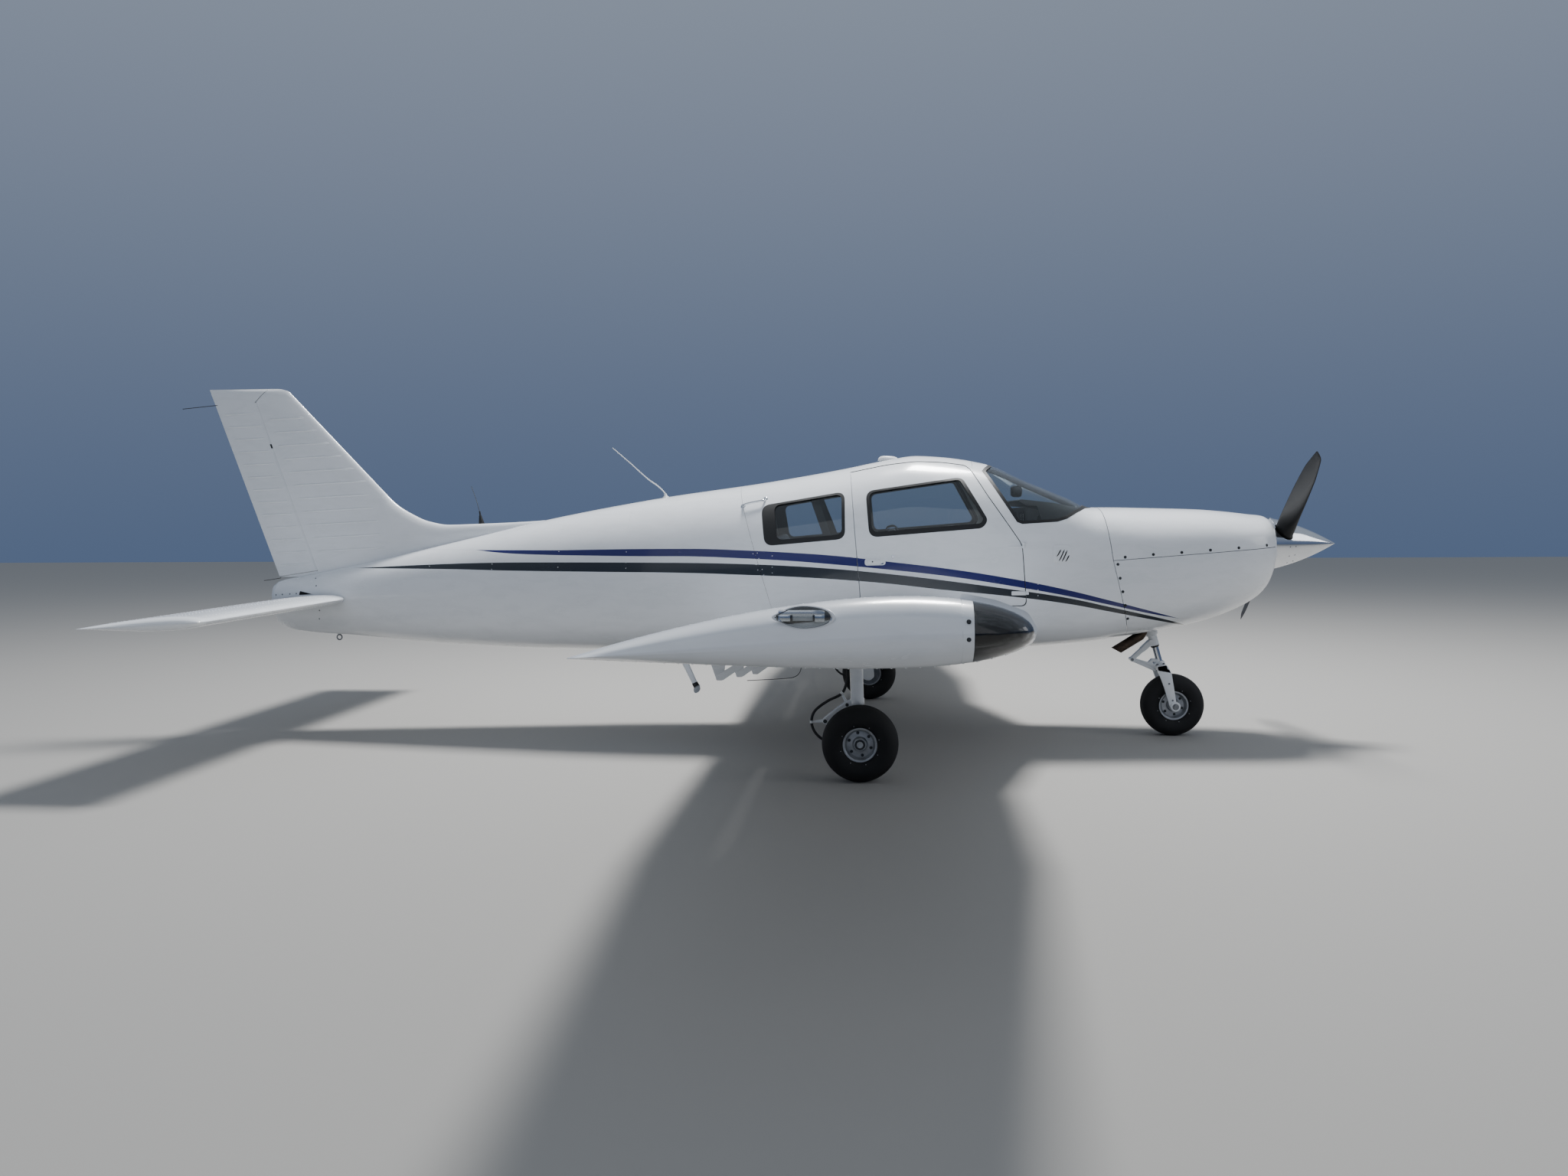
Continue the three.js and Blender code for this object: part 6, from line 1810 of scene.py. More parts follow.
class AEROPLANE_OT_cabin(bpy.types.Operator):
    """Seats, panel, hood, control wheels, harness and carpet"""
    bl_idname = "aeroplane.cabin"
    bl_label = "Cabin"

    def execute(self, context):
        repaint("cabin_floor", "loop_carpet")
        self.seats()
        self.panel()
        self.harness()
        return {"FINISHED"}

    def seats(self):
        y, half = 245, 220
        pads = [
            cushion(name, outline, y - half, y + half)
            for name, outline in (("seat_cushion_left", SEAT_CUSHION), ("seat_back_left", SEAT_BACK))]
        pads += [mirrored(pad, pad.name.replace("left", "right")) for pad in pads]
        pads += [cushion("rear_cushion", REAR_CUSHION, -430, 430), cushion("rear_back", REAR_BACK, -425, 425)]
        for pad in pads:
            finish(pad, "grey_seat_leather", SEAT_NODES.get(pad.name, []))
        for side, label in SIDES:
            edges = []
            for outline in (SEAT_CUSHION, SEAT_BACK):
                edges += [piping("edge", outline, side * place) for place in (y - half + 14, y + half - 14)]
            finish(joined("seat_piping_" + label, edges), "seat_piping")
            lines = [side * y + off for off in (-140, 140)]
            rails = [
                box("rail", (960, at - 14, FLOOR_TOP + 0.5), (1300, at + 14, FLOOR_TOP + 30))
                for at in lines]
            legs = [
                rod("leg", (x, at, FLOOR_TOP + 28), (x, at, 856), 12) for at in lines for x in (1000, 1260)]
            finish(joined("seat_frame_" + label, [*rails, *legs]), "machined_steel")
        base = eased(box("rear_seat_base", (250, -380, FLOOR_TOP + 0.5), (590, 380, 816)), 12, 3)
        finish(base, "loop_carpet")

    def panel(self):
        outline = rounded([(1712, 1120), (1740, 1120), (1762, 1400), (1790, 1436), (1696, 1462)], 4)
        board = carved(
            prism("panel_board", outline, "Y", -515, 515), keep=[hull_solid("inside", 24, 2100, 1500)])
        finish(eased(board, 2), "black_crackle", ["instrument_panel"])
        outline = [
            (1650, 1500), (1664, 1508), (1850, 1486), (2056, 1446), (2056, 1330), (1800, 1330),
            (1760, 1466), (1694, 1470)]
        hood = carved(
            prism("panel_hood", rounded(outline, 6), "Y", -535, 535),
            keep=[hull_solid("inside", 12, 2100, 1500)])
        finish(eased(hood, 3, 3), "black_crackle", sharp=50)
        dials, faces, marks = [], [], []
        slope, across = Vector((-0.9986, 0, -0.0526)), Vector((0, 1, 0))
        up = slope.cross(across)
        spots = [(y, z, 39) for y in (-330, -240, -150, 150, 240, 330) for z in (1216, 1308, 1400)]
        for y, z, radius in spots + [(y, 1164, 26) for y in (-60, 60)]:
            centre = Vector((1712 - (z - 1120) * 0.0526, y, z))
            bezel = [(radius - 5, -1), (radius, -1), (radius, 5), (radius - 3, 6), (radius - 5, 3)]
            dials.append(turned("bezel", bezel, centre, slope, 40, ring=True))
            faces.append(
                rod("face", centre - slope * 1.5, centre + slope * 1.2, radius - 5, sides=32, edge=0.2))
            for i in range(12):
                way = across * math.cos(math.radians(30 * i)) + up * math.sin(math.radians(30 * i))
                near = centre + slope * 1.6 + way * (radius - 14)
                marks.append(rod("mark", near, near + way * 6, 0.8, sides=4, edge=0.1))
            near = centre + slope * 1.9
            marks.append(
                rod("needle", near, near + Vector((0, 0.6, 0.8)) * (radius - 12), 1.0, sides=6, edge=0.1))
        finish(joined("dial_bezels", dials), "black_plastic")
        finish(joined("dial_faces", faces), "dial_black")
        finish(joined("dial_marks", marks), "dial_white")
        radios = [
            eased(box("radio", (1692, -62, z), (1730, 62, z + 36)), 2) for z in (1200, 1242, 1284, 1326)]
        finish(joined("radio_stack", radios), "black_plastic")
        outline = [
            (1714, FLOOR_TOP + 0.5), (1950, FLOOR_TOP + 0.5), (1950, 1118), (1722, 1118), (1690, 1060)]
        finish(eased(prism("pedestal", outline, "Y", -84, 84), 8, 3), "black_crackle")
        knobs = [rod("lever", (1700, y, 1080), (1640, y, 1100), 4) for y in (-36, 0, 36)]
        finish(joined("lever_stems", knobs), "machined_steel")
        profile = [(0, 0), (12, 2), (15, 10), (12, 20), (0, 24)]
        ends = [turned("knob", profile, (1644, y, 1098), (-0.95, 0, 0.32), 28) for y in (-36, 0, 36)]
        finish(joined("lever_knobs", ends[:2]), "black_plastic")
        finish(ends[2], "red_knob").name = "mixture_knob"
        for y, label in ((240, "left"), (-240, "right")):
            half = [(1500, 60, 1222), (1494, 122, 1240), (1486, 134, 1288), (1482, 118, 1318)]
            route = [(x, y - out, z) for x, out, z in half[::-1]] + [(1502, y, 1220)]
            wheel = tube("wheel", route + [(x, y + out, z) for x, out, z in half], 12, 16, 10)
            hub = eased(box("hub", (1488, y - 42, 1200), (1512, y + 42, 1242)), 8, 3)
            finish(joined("control_wheel_" + label, [wheel, hub]), "black_plastic", sharp=50)
            finish(rod("control_shaft_" + label, (1728, y, 1241), (1506, y, 1226), 11), "chromed_steel")
        stem = rod("stem", (1690, 0, 1585), (1700, 0, hull_top(1700) - 30), 6)
        profile = [(0, -36), (26, -34), (36, -20), (37, 12), (33, 30), (20, 37), (0, 37)]
        body = turned("compass", profile, (1683, 0, 1564), (1, 0, 0), 32)
        finish(joined("compass_body", [stem, body]), "black_plastic")

    def harness(self):
        """Shoulder straps from the roof, seen in the rear windows"""
        for side, label in SIDES:
            places = [
                (400, 346, 1548), (428, 392, 1470), (462, 438, 1380), (505, 468, 1262), (524, 476, 1206)]
            rings = [[(x + a, side * (y + b), z) for a, b in ((-25, -1.5), (25, -1.5), (25, 1.5), (-25, 1.5))]
                     for x, y, z in places]
            finish(loft("harness_strap_" + label, rings), "nylon_webbing", sharp=60)
            low, high = sorted((side * 300, side * 336))
            reel = eased(box("reel", (368, low, 1540), (432, high, 1578)), 6)
            finish(reel, "black_plastic").name = "harness_reel_" + label


# Small fittings
# Slanted slot lines of the louvres, as X and Z; a dark bar on each is painted shadow, and each rib stands
# just aft of its line
LOUVRE_SLOT_SHADOW_LINES = (
    ((1896, 1207), (1869, 1163)), ((1917, 1207), (1883, 1137)), ((1933, 1203), (1901, 1134)),
    ((1944, 1172), (1922, 1134)))


class AEROPLANE_OT_fittings(bpy.types.Operator):
    """Step, grab handle, aerials, exhaust and what the skin carries"""
    bl_idname = "aeroplane.fittings"
    bl_label = "Fittings"

    def execute(self, context):
        stem = tube(
            "stem", [(-470, -405, 640), (-400, -428, 504), (-335, -451, 376)], [25, 21, 17],
            28, 12, flat=0.8)
        step = carved(stem, cut=[hull_solid("inside", 2, 1400, -2600)])
        finish(step, "white_enamel", ["boarding_step"], sharp=50).name = "boarding_step_tube"
        sleeve = tube("sleeve", [(-338, -449, 382), (-322, -455, 350)], [20, 19], 28, 8, flat=0.85)
        finish(sleeve, "black_plastic").name = "boarding_step_sleeve"
        pad = tube(
            "pad", [(-334, -382, 347), (-326, -450, 347), (-310, -540, 351)], [22, 25, 24],
            28, 10, flat=0.62)
        finish(pad, "cast_aluminium", sharp=50).name = "boarding_step_pad"
        self.handle()
        self.aerials()
        self.exhaust()
        for side, label in SIDES:
            self.louvre(side, label)
        return {"FINISHED"}

    def handle(self):
        def at(x, z, out):
            return (x, -hull_side(x, z) - out, z)
        bar = tube("grab_handle_bar", [
            at(-32, 1478, -3), at(-30, 1480, 14), at(-24, 1484, 28), at(-8, 1494, 34), at(81, 1512, 34),
            at(97, 1516, 28), at(103, 1518, 14), at(105, 1520, -3)], 7, 20, 6)
        feet = [(0, 0), (15, 0), (16, 1.5), (13, 4), (0, 4)]
        pads = [turned("pad", feet, at(x, z, -1), (0, -1, 0.45), 28) for x, z in ((-32, 1478), (105, 1520))]
        finish(joined("grab_handle_bar", [bar, *pads]), "polished_aluminium", ["grab_handle"], sharp=60)

    def aerials(self):
        base = turned(
            "base", [(0, 26), (8, 25), (12, 10), (22, 3), (24, -12), (0, -12)], (-585, 0, hull_top(-585)),
            (-0.1, 0, 1), 32)
        whip = tube(
            "whip", [(-586, 0, 1540), (-592, 0, 1572), (-640, 0, 1620), (-700, 0, 1662), (-820, 0, 1770),
            (-934, 0, 1869)], [4.6, 3.8, 3.4, 3.0, 2.6, 2.2], 14, 14)
        finish(joined("whip_aerial", [base, whip]), "white_glassfibre", ["whip_antenna"], sharp=50)
        foot_z = hull_top(-1829, 60)
        profile = [(0, 172), (5, 170), (6, 144), (9, 138), (19, 88), (23, 70), (23, -16), (0, -16)]
        base = turned("locator_aerial", profile, (-1829, 60, foot_z), (-0.14, 0, 1), 32)
        finish(base, "black_plastic", ["locator_antenna"], sharp=50)
        rod_up = tube(
            "locator_rod", [(-1850, 60, foot_z + 150), (-1872, 60, 1530), (-1905, 60, 1627)],
            [2.6, 2], 12, 20)
        finish(rod_up, "machined_steel")
        puck = turned(
            "roof_aerial", [(0, 28), (24, 27), (38, 21), (45, 10), (46, -6), (0, -6)],
            (866, 0, hull_top(866)), (0.1, 0, 1), 48)
        stretch(puck, (1.42, 0.9, 1), (866, 0, 0))
        finish(puck, "white_glassfibre", sharp=50)
        keel = hull_at(300)[1]
        foot = turned("foot", [(0, -8), (11, -7), (13, -3), (13, 4), (0, 4)], (300, 0, keel), (0, 0, 1), 24)
        wire = tube(
            "wire", [(300, 0, keel), (300, 0, 470), (290, 0, 400), (255, 0, 365), (180, 0, 352),
            (-61, 0, 338)], 2.4, 10, 14)
        finish(joined("belly_aerial", [foot, wire]), "black_plastic", sharp=60)

    def exhaust(self):
        profile = [(30, 0), (30, 230), (27, 230), (27, 0)]
        pipe = turned("pipe", profile, (2240, -200, 536), (181, 0, 114), 40, ring=True)
        slant = prism("slant", [(2212, 605), (2261, 578), (2310, 551), (2350, 529), (2300, 440), (2150, 480)],
                      "Y", -300, -100)
        bend = tube(
            "bend", [(2400, -200, 637), (2440, -200, 668), (2472, -200, 780),
            (2500, -200, 1006)], 29, 32, 12)
        finish(
            joined("exhaust_tail_pipe", [carved(pipe, cut=[slant]), bend]), "burnt_steel",
            ["exhaust_pipe"], sharp=50)

    def louvre(self, side, label):
        """Raised rounded panel with four slanted ribs, each beside a dark bar that is painted shadow of its
        slot
        """
        outline = rounded([(1846, 1128), (1956, 1125), (1959, 1232), (1850, 1236)], 16)
        panel = carved(layer("louvre_panel_" + label, -2.4, 3, 2000, 1800), keep=[
            prism("edge", outline, "Y", *sorted((0, side * FAR)))])
        slots_and_slot_shadows, ribs = [], []
        for (x0, z0), (x1, z1) in LOUVRE_SLOT_SHADOW_LINES:
            for places, out, width, list_of in ((((x0, z0), (x1, z1)), 1.6, 4.6, slots_and_slot_shadows),
                                                (((x0 - 9, z0 + 2), (x1 - 9, z1 - 2)), 1.0, 6.4, ribs)):
                ends = [Vector((x, side * (hull_side(x, z) + out), z)) for x, z in places]
                list_of.append(tube("bar", ends, [1, width, width, width, 1], 14, 8))
        finish(joined(panel.name, [eased(panel, 1.8, 2, 50), *ribs]), "white_enamel", sharp=50)
        # Dark bars just proud of the skin: painted shadow in the louvre slots
        finish(joined("louvre_slots_" + label, slots_and_slot_shadows), "black_seal_rubber")


# What repeats along lines: rivets, screws and pressed beads

def line_piece(name, lines):
    """A mesh of edges only, from lists of points"""
    points, edges = [], []
    for line in lines:
        start = len(points)
        points.extend(line)
        edges.extend((start + i, start + i + 1) for i in range(len(line) - 1))
    mesh = bpy.data.meshes.new(name)
    mesh.from_pydata([tuple(p) for p in np.asarray(points, float) * MM], edges, [])
    piece = bpy.data.objects.new(name, mesh)
    bpy.context.scene.collection.objects.link(piece)
    return piece


def start_tree(name, measures):
    """A node group with a surface, some measures and a finish as its inputs"""
    tree = bpy.data.node_groups.new(name, "GeometryNodeTree")
    inputs = [("Geometry", "Geometry"), ("Surface", "Object"), *((label, "Float") for label in measures),
              ("Material", "Material")]
    for label, kind in inputs:
        tree.interface.new_socket(label, in_out="INPUT", socket_type="NodeSocket" + kind)
    tree.interface.new_socket("Geometry", in_out="OUTPUT", socket_type="NodeSocketGeometry")
    return tree, add_node(tree, "NodeGroupInput").outputs


def surface_lines(tree, given, spacing):
    """The given lines at an even spacing, and the place and normal of the surface nearest to them"""
    target = add_node(tree, "GeometryNodeObjectInfo", links={"Object": given["Surface"]}).outputs["Geometry"]
    curve = add_node(tree, "GeometryNodeMeshToCurve", links={"Mesh": given["Geometry"]}).outputs["Curve"]
    even = add_node(
        tree, "GeometryNodeResampleCurve", links={"Curve": curve, "Length": given[spacing]}, mode="LENGTH")
    nearest = []
    for kind in ("Position", "Normal"):
        field = add_node(tree, "GeometryNodeInput" + kind).outputs[0]
        nearest.append(add_node(
            tree, "GeometryNodeSampleNearestSurface", links={"Mesh": target, "Value": field},
            data_type="FLOAT_VECTOR").outputs["Value"])
    return even.outputs["Curve"], *nearest


def end_tree(tree, geometry, material):
    """Makes instances real, gives them their finish and closes the tree"""
    real = add_node(tree, "GeometryNodeRealizeInstances", links={"Geometry": geometry}).outputs["Geometry"]
    final = add_node(tree, "GeometryNodeSetMaterial", links={"Geometry": real, "Material": material})
    add_node(tree, "NodeGroupOutput", links={0: final.outputs["Geometry"]})
    return tree


def sum_node(tree, operation, first, second):
    """Output of a Math node; each input is a number or another node's output"""
    made = add_node(tree, "ShaderNodeMath", operation=operation)
    for socket, value in enumerate((first, second)):
        if isinstance(value, float):
            made.inputs[socket].default_value = value
        else:
            tree.links.new(value, made.inputs[socket])
    return made.outputs[0]


def rivet_tree():
    """Heads at an even pitch along lines, set on the nearest place of a surface"""
    tree, given = start_tree("rivets_on_surface", ("Pitch", "Radius", "Height"))
    even, place, normal = surface_lines(tree, given, "Pitch")
    dots = add_node(
        tree, "GeometryNodeCurveToPoints", links={"Curve": even}, mode="EVALUATED").outputs["Points"]
    stored = add_node(tree, "GeometryNodeCaptureAttribute", links={"Geometry": dots})
    stored.capture_items.new("VECTOR", "Way")
    tree.links.new(normal, stored.inputs[1])
    moved = add_node(
        tree, "GeometryNodeSetPosition", links={"Geometry": stored.outputs[0], "Position": place})
    turn = add_node(tree, "FunctionNodeAlignRotationToVector", links={"Vector": stored.outputs[1]}, axis="Z")
    head = add_node(
        tree, "GeometryNodeMeshCone", {"Vertices": 8},
        {"Radius Top": sum_node(tree, "MULTIPLY", given["Radius"], 0.62), "Radius Bottom": given["Radius"],
         "Depth": given["Height"]})
    heads = add_node(
        tree, "GeometryNodeInstanceOnPoints",
        links={"Points": moved.outputs["Geometry"], "Instance": head.outputs["Mesh"],
        "Rotation": turn.outputs["Rotation"]})
    return end_tree(tree, heads.outputs["Instances"], given["Material"])


def bead_tree():
    """Half-sunk round bars along lines on a surface, which taper into it at their ends"""
    tree, given = start_tree("beads_on_surface", ("Step", "Radius", "Proud"))
    even, place, normal = surface_lines(tree, given, "Step")
    radius, proud = given["Radius"], given["Proud"]
    sunk = add_node(tree, "ShaderNodeVectorMath", links={0: normal}, operation="SCALE")
    tree.links.new(sum_node(tree, "SUBTRACT", proud, radius), sunk.inputs["Scale"])
    spot = add_node(
        tree, "ShaderNodeVectorMath", links={0: place, 1: sunk.outputs[0]}, operation="ADD").outputs[0]
    moved = add_node(tree, "GeometryNodeSetPosition", links={"Geometry": even, "Position": spot})
    factor = add_node(tree, "GeometryNodeSplineParameter").outputs["Factor"]
    near = sum_node(tree, "MINIMUM", factor, sum_node(tree, "SUBTRACT", 1.0, factor))
    ease = add_node(
        tree, "ShaderNodeMapRange", {"From Max": 0.06}, {"Value": near}, interpolation_type="SMOOTHSTEP")
    reach = add_node(
        tree, "ShaderNodeMapRange",
        links={"Value": ease.outputs["Result"], "To Min": sum_node(tree, "SUBTRACT", radius, proud),
        "To Max": radius})
    ring = add_node(tree, "GeometryNodeCurvePrimitiveCircle", {"Resolution": 14, "Radius": 1.0})
    bar = add_node(tree, "GeometryNodeCurveToMesh", {"Fill Caps": True}, {
        "Curve": moved.outputs["Geometry"], "Profile Curve": ring.outputs["Curve"],
        "Scale": reach.outputs["Result"]})
    return end_tree(tree, bar.outputs["Mesh"], given["Material"])


# Each kind of fastening with its node tree and measures in metres
TREES = {}


def along_lines(kind, name, lines, surface, material="white_enamel", body="airframe", **changes):
    """Runs a node tree over lines on a surface and keeps the plain mesh"""
    tree, measures = TREES[kind]
    piece = line_piece(name, lines)
    modifier = piece.modifiers.new("along", "NODES")
    modifier.node_group = tree
    values = {"Surface": bpy.data.objects[surface], "Material": FINISHES[material], **measures, **changes}
    for item in tree.interface.items_tree:
        if item.in_out == "INPUT" and item.name in values:
            modifier[item.identifier] = values[item.name]
    settle(piece)
    if not piece.data.polygons:
        raise RuntimeError(f"{name} came out empty")
    return finish(piece, material, body=body, sharp=60)


def side_line(points, side):
    """Line on the fuselage's side from X and Z points"""
    line = []
    for (x0, z0), (x1, z1) in zip(points, points[1:]):
        count = max(2, int(math.hypot(x1 - x0, z1 - z0) / 30))
        for t in np.linspace(0, 1, count, endpoint=False):
            x, z = x0 + (x1 - x0) * t, z0 + (z1 - z0) * t
            line.append((x, side * (hull_side(x, z) + LINE_LIFT), z))
    x, z = points[-1]
    line.append((x, side * (hull_side(x, z) + LINE_LIFT), z))
    return line


def wing_line(points, side, up):
    """Line on the wing from X and Y points"""
    line = []
    for (x0, y0), (x1, y1) in zip(points, points[1:]):
        count = max(2, int(math.hypot(x1 - x0, y1 - y0) / 40))
        for t in np.linspace(0, 1, count + 1):
            x, y = x0 + (x1 - x0) * t, y0 + (y1 - y0) * t
            line.append((x, side * y, wing_z(y, x, up) + up * LINE_LIFT))
    return line


def head_lines(spots):
    """Very short lines beside both sides of the fuselage, so that each takes one head"""
    return [
        [(x + shift, side * (hull_side(x, z) + 3), z) for shift in (0, 0.02)] for side in (1, -1)
        for x, z in spots]


def wing_share_x(y, f):
    lead_x, _, trail_x, _, _ = wing_chord(y)
    return lead_x + (trail_x - lead_x) * f


# Rows of rivets and places of studs and screws on the fuselage's side, as X and Z
CONE_RIVETS = (
    [(-2098, 1061), (-2409, 1011), (-2688, 961)], [(-2102, 763), (-2415, 775), (-2667, 784)],
    [(-420, 960), (-1200, 930), (-2100, 900), (-2620, 884)])
CABIN_RIVETS = (
    [(160, 640), (160, 1210)], [(-180, 640), (-180, 1210)], [(-200, 655), (560, 660)],
    [(640, 830), (-150, 822)], [(2190, 1010), (1760, 1000)], [(1760, 1340), (1760, 700)],
    [(2170, 1330), (1700, 1320)])
FRAMES = (-760, -1210, -1660, -2100, -2600)
UPPER_STUDS = [(2276, 1159), (2443, 1174), (2611, 1185), (2781, 1198), (2953, 1210), (3134, 1223)]
LOWER_STUDS = [(2233, 1116), (2247, 1033), (2264, 952), (2280, 869), (2301, 786)]
TAIL_SCREWS = [
    (-3210, 913), (-3158, 917), (-3100, 921), (-3051, 924), (-2925, 1025), (-2908, 977),
    (-2890, 756), (-2882, 813)]
# Rows along the wing as share of the chord and span, and the Y of its ribs
WING_ROWS = ((0.12, 1460, 5260), (0.36, 640, 5260), (0.42, 640, 5260), (0.70, 640, 2640))
RIBS = (760, 1080, 1440, 1900, 2360, 2690, 3060, 3460, 3860, 4260, 4660, 5000, 5270)
BEAD_PITCH = 96


class AEROPLANE_OT_fastenings(bpy.types.Operator):
    """Rivets, screws and pressed stiffening beads"""
    bl_idname = "aeroplane.fastenings"
    bl_label = "Rivets and beads"

    def execute(self, context):
        sizes = context.scene.aeroplane_sizes
        heads = rivet_tree()
        TREES.update(
            rivet=(heads, {"Pitch": sizes.rivet_pitch, "Radius": sizes.rivet_radius, "Height": 0.0014}),
            screw=(heads, {"Pitch": 10.0, "Radius": 0.0055, "Height": 0.0026}),
            stud=(heads, {"Pitch": 10.0, "Radius": 0.0095, "Height": 0.0026}),
            bead=(bead_tree(), {"Step": 0.02, "Radius": sizes.bead_radius, "Proud": sizes.bead_proud}))
        self.fuselage()
        self.wings()
        self.tail()
        return {"FINISHED"}

    def fuselage(self):
        cabin, cone = [], []
        for side in (1, -1):
            cone.append(side_line([(cone_seam_x(z) - 14, z) for z in (640, 1460)], side))
            cabin.append(side_line([(cone_seam_x(z) + 14, z) for z in (640, 1490)], side))
            cone += [side_line(row, side) for row in CONE_RIVETS]
            for x in FRAMES:
                crown, keel = hull_at(x)[:2]
                cone.append(side_line([(x, keel + 60), (x, crown - 50)], side))
            cabin += [side_line(row, side) for row in CABIN_RIVETS]
        along_lines("rivet", "cabin_rivets", cabin, "cabin_skin")
        along_lines("rivet", "cone_rivets", cone, "tail_cone_skin")
        along_lines("stud", "cowl_upper_studs", head_lines(UPPER_STUDS), "cowl_upper_skin", "engine_casting")
        along_lines("stud", "cowl_lower_studs", head_lines(LOWER_STUDS), "cowl_lower_skin", "engine_casting")
        along_lines("screw", "tail_screws", head_lines(TAIL_SCREWS), "tail_cone_skin", "machined_steel")

    def wings(self):
        for side, label in SIDES:
            lines = []
            for up in (1, -1):
                for f, inner, outer in WING_ROWS:
                    points = [(wing_share_x(y, f), y) for y in (inner, BREAK_Y, outer) if inner <= y <= outer]
                    lines.append(wing_line(points, side, up))
                for y in RIBS:
                    back = 0.95 if y > AILERON["outer"] else 0.68
                    lines.append(wing_line([(wing_share_x(y, f), y) for f in (0.03, back)], side, up))
            along_lines("rivet", "wing_rivets_" + label, lines, "wing_skin_" + label)
            for panel, form, set_in, front_x in (
                    ("flap", FLAP, 50, lambda y: FLAP["front"] - 22),
                    ("aileron", AILERON, 45, lambda y: aileron_hinge(y)[0] - 4)):
                beads = [
                    wing_line([(front_x(y), y), (wing_chord(y)[2] + 22, y)], side, up) for up in (1, -1)
                    for y in np.arange(form["inner"] + set_in, form["outer"] - 30, BEAD_PITCH)]
                along_lines(
                    "bead", f"{panel}_beads_{label}", beads, f"{panel}_skin_{label}", body=f"{label}_{panel}")

    def tail(self):
        beads = {"rudder": [], "fin": []}
        for z in np.arange(1108, 2120, 84.0):
            rear, front = line_x(RUDDER_TRAIL, z) + 30, line_x(RUDDER_HINGE, z) - 16
            beads["rudder"] += self.fin_lines(z, rear, front, 0.035, 14)
        for z in np.arange(1200, 2150, 88.0):
            front = line_x(FIN_LEAD, z) - 60 if z >= FIN_LEAD[1] else -2440 - (z - 1200) * 0.35
            beads["fin"] += self.fin_lines(z, line_x(RUDDER_HINGE, z) + 48, front, 0.05, 16)
        along_lines("bead", "rudder_beads", beads["rudder"], "rudder_skin", body="rudder_body")
        along_lines("bead", "fin_beads", beads["fin"], "fin_skin")
        lines, tabs = [], []
        for side in (1, -1):
            for up in (1, -1):
                for x in (-2745, -2858, -2898, -3240):
                    lines.append([stab_spot(x, side * y, up) for y in np.linspace(340, 1880, 40)])
                for y in (420, 700, 980, 1260, 1540, 1880):
                    lines.append([stab_spot(x, side * y, up) for x in np.linspace(-2712, -3230, 16)])
                for y in np.arange(130, 1270, BEAD_PITCH):
                    tabs.append([stab_spot(x, side * y, up) for x in np.linspace(-3292, -3376, 6)])
        along_lines("rivet", "tailplane_rivets", lines, "tailplane_skin", body="tailplane")
        along_lines("bead", "tab_beads", tabs, "tab_skin", body="tab", Radius=0.006, Proud=0.0018, Step=0.012)

    def fin_lines(self, z, rear, front, rise, count):
        """Lines that climb a little to the front, on both sides of the fin or rudder"""
        return [
            [(x, side * (fin_half(x, z) + LINE_LIFT), z + (x - rear) * rise)
            for x in np.linspace(rear, front, count)] for side in (1, -1)]


# Lights: place, aim, power and width; and the photograph's camera: focal length and width in pixels,
# place in metres, and its yaw, pitch and roll in degrees
LIGHTS = (
    ("key", (1.5, 3.0, 11.0), (0.2, 0, 1.0), 2300, 2.5),
    ("fill", (-2.0, -13.0, 7.0), (0.0, 0, 1.0), 110, 9.0),
    ("nose", (10.0, -3.0, 5.0), (1.5, 0, 1.0), 110, 4.0))
FOCAL, PHOTO_WIDTH, SENSOR = 1683.9, 2048, 36
CAMERA_PLACE = (0.872, -8.368, 1.446)
CAMERA_TURNS = (-4.678, 3.404, -0.398)


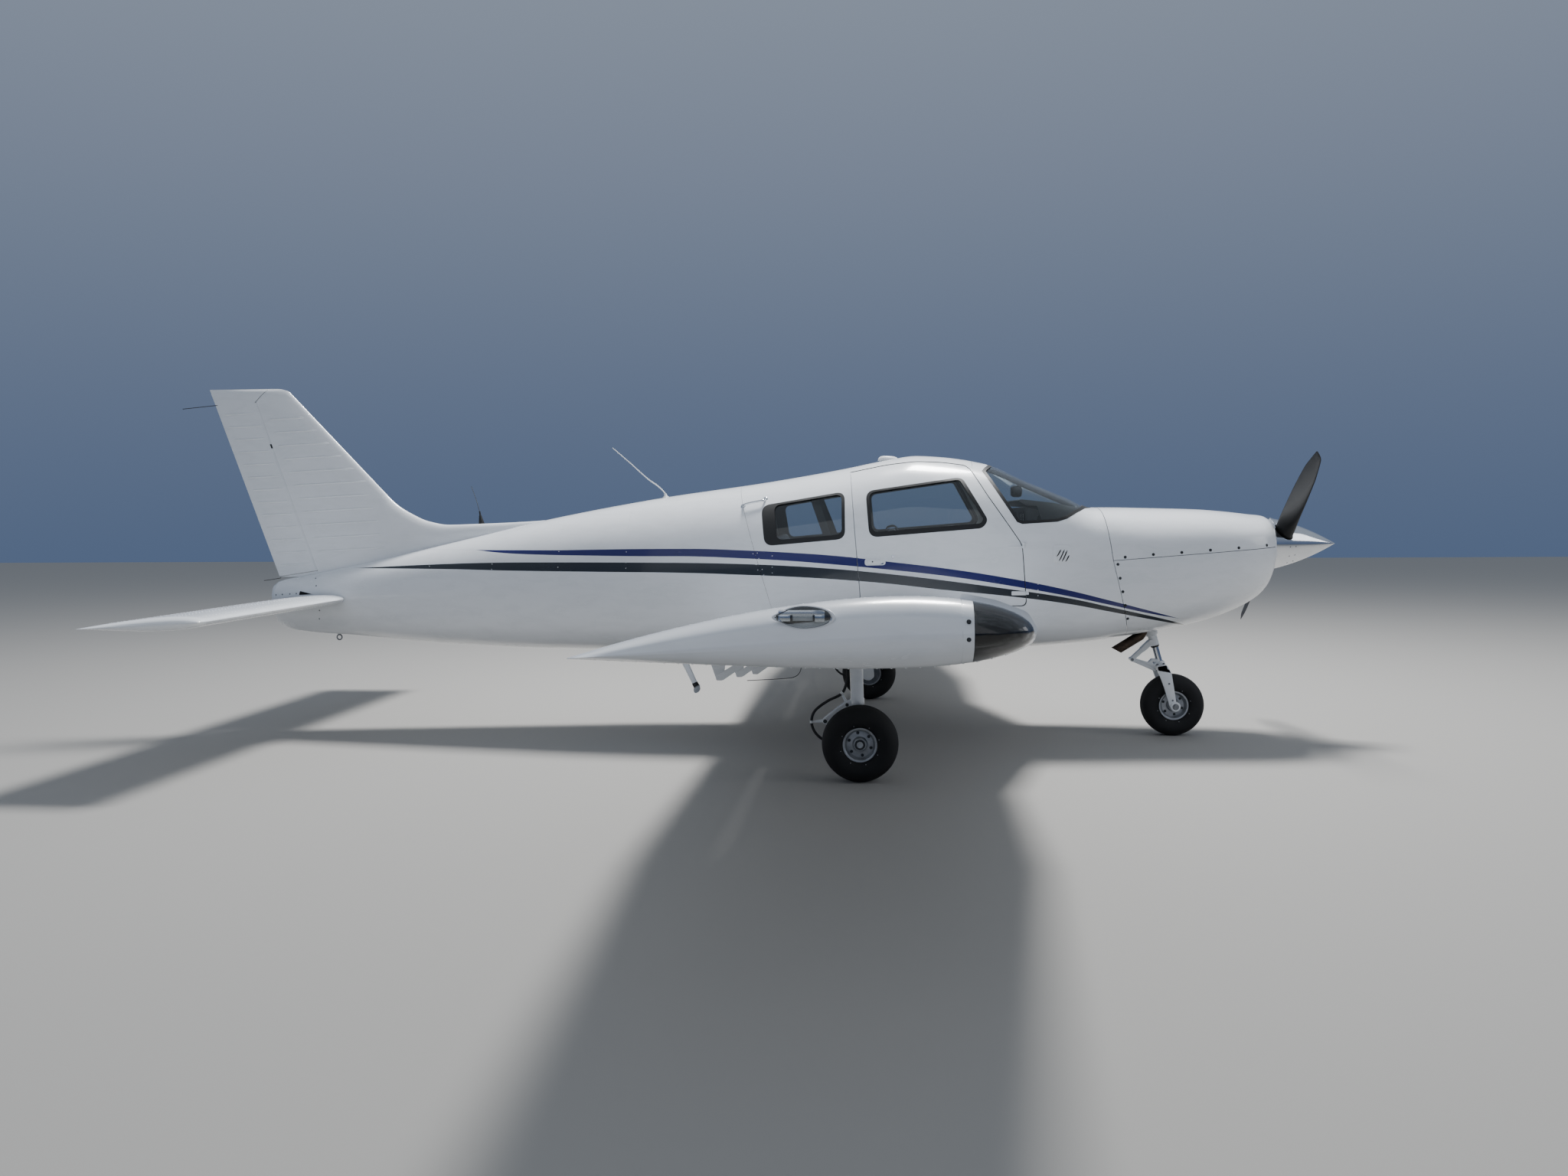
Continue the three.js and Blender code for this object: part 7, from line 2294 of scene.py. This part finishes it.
class AEROPLANE_OT_stage(bpy.types.Operator):
    """Floor, lights, sky tone and the photograph's camera"""
    bl_idname = "aeroplane.stage"
    bl_label = "Stage"

    def execute(self, context):
        scene = context.scene
        # Matt painted studio floor, plain and pale
        shader = start_finish("pale_floor")[1]
        shader.inputs["Base Color"].default_value = linear("#a3a19d")
        shader.inputs["Roughness"].default_value = 0.9
        reach = 5 * FAR
        corners = [(-reach, -reach, 0), (reach, -reach, 0), (reach, reach, 0), (-reach, reach, 0)]
        floor = new_piece("floor", corners, [(0, 1, 2, 3)])
        floor.data.materials.append(FINISHES["pale_floor"])
        scene.world = self.sky()
        for name, spot, aim, power, wide in LIGHTS:
            lamp = bpy.data.lights.new(name, "AREA")
            lamp.energy = power
            lamp.size = wide
            light = bpy.data.objects.new(name, lamp)
            light.location = spot
            light.rotation_euler = (Vector(aim) - Vector(spot)).to_track_quat("-Z", "Y").to_euler()
            scene.collection.objects.link(light)
        yaw, pitch, roll = (math.radians(a) for a in CAMERA_TURNS)
        ahead = Vector((math.sin(yaw) * math.cos(pitch), math.cos(yaw) * math.cos(pitch), -math.sin(pitch)))
        right = Vector((math.cos(yaw), -math.sin(yaw), 0))
        up = right.cross(ahead)
        right, up = right * math.cos(roll) + up * math.sin(roll), up * math.cos(roll) - right * math.sin(roll)
        lens = bpy.data.cameras.new("camera")
        lens.lens = FOCAL / PHOTO_WIDTH * SENSOR
        lens.sensor_width = SENSOR
        lens.clip_end = 300
        camera = bpy.data.objects.new("camera", lens)
        turn = Matrix((right, up, -ahead)).transposed().to_4x4()
        camera.matrix_world = Matrix.Translation(CAMERA_PLACE) @ turn
        scene.collection.objects.link(camera)
        scene.camera = camera
        return {"FINISHED"}

    def sky(self):
        """Soft studio sky: darker at the horizon, lighter overhead"""
        world = bpy.data.worlds.new("soft_sky")
        world.use_nodes = True
        tree = world.node_tree
        place = add_node(tree, "ShaderNodeTexCoord").outputs["Generated"]
        height = add_node(tree, "ShaderNodeSeparateXYZ", links={"Vector": place}).outputs["Z"]
        rise = add_node(
            tree, "ShaderNodeMapRange", {"From Min": -0.15, "From Max": 0.85}, {"Value": height},
            interpolation_type="SMOOTHSTEP").outputs["Result"]
        tone = add_node(tree, "ShaderNodeMix", links={0: rise}, data_type="RGBA")
        tone.inputs[6].default_value = linear("#6a80a8")
        tone.inputs[7].default_value = linear("#dce7f6")
        background = tree.nodes["Background"]
        background.inputs["Strength"].default_value = 0.55
        tree.links.new(tone.outputs[2], background.inputs["Color"])
        return world


BUILDERS = (
    AEROPLANE_OT_finishes, AEROPLANE_OT_stage, AEROPLANE_OT_hoses, AEROPLANE_OT_fuselage,
    AEROPLANE_OT_glazing, AEROPLANE_OT_door, AEROPLANE_OT_wings, AEROPLANE_OT_tail, AEROPLANE_OT_propeller,
    AEROPLANE_OT_gear, AEROPLANE_OT_cabin, AEROPLANE_OT_fittings, AEROPLANE_OT_fastenings)


class AEROPLANE_PT_build(bpy.types.Panel):
    """Lists the aeroplane's sizes, colours and builders"""
    bl_idname = "AEROPLANE_PT_build"
    bl_label = "Training aeroplane"
    bl_space_type = "VIEW_3D"
    bl_region_type = "UI"
    bl_category = "Aeroplane"

    def draw(self, context):
        for group in (context.scene.aeroplane_sizes, context.scene.aeroplane_colours):
            for name in group.__annotations__:
                self.layout.prop(group, name)
        for builder in BUILDERS:
            self.layout.operator(builder.bl_idname)


def register():
    for kind in (AeroplaneSizes, AeroplaneColours, *BUILDERS, AEROPLANE_PT_build):
        bpy.utils.register_class(kind)
    bpy.types.Scene.aeroplane_sizes = bpy.props.PointerProperty(type=AeroplaneSizes)
    bpy.types.Scene.aeroplane_colours = bpy.props.PointerProperty(type=AeroplaneColours)


def unregister():
    del bpy.types.Scene.aeroplane_sizes
    del bpy.types.Scene.aeroplane_colours
    for kind in (AEROPLANE_PT_build, *reversed(BUILDERS), AeroplaneColours, AeroplaneSizes):
        bpy.utils.unregister_class(kind)


def main():
    register()
    for builder in BUILDERS:
        group, name = builder.bl_idname.split(".")
        getattr(getattr(bpy.ops, group), name)()


if __name__ == "__main__":
    main()
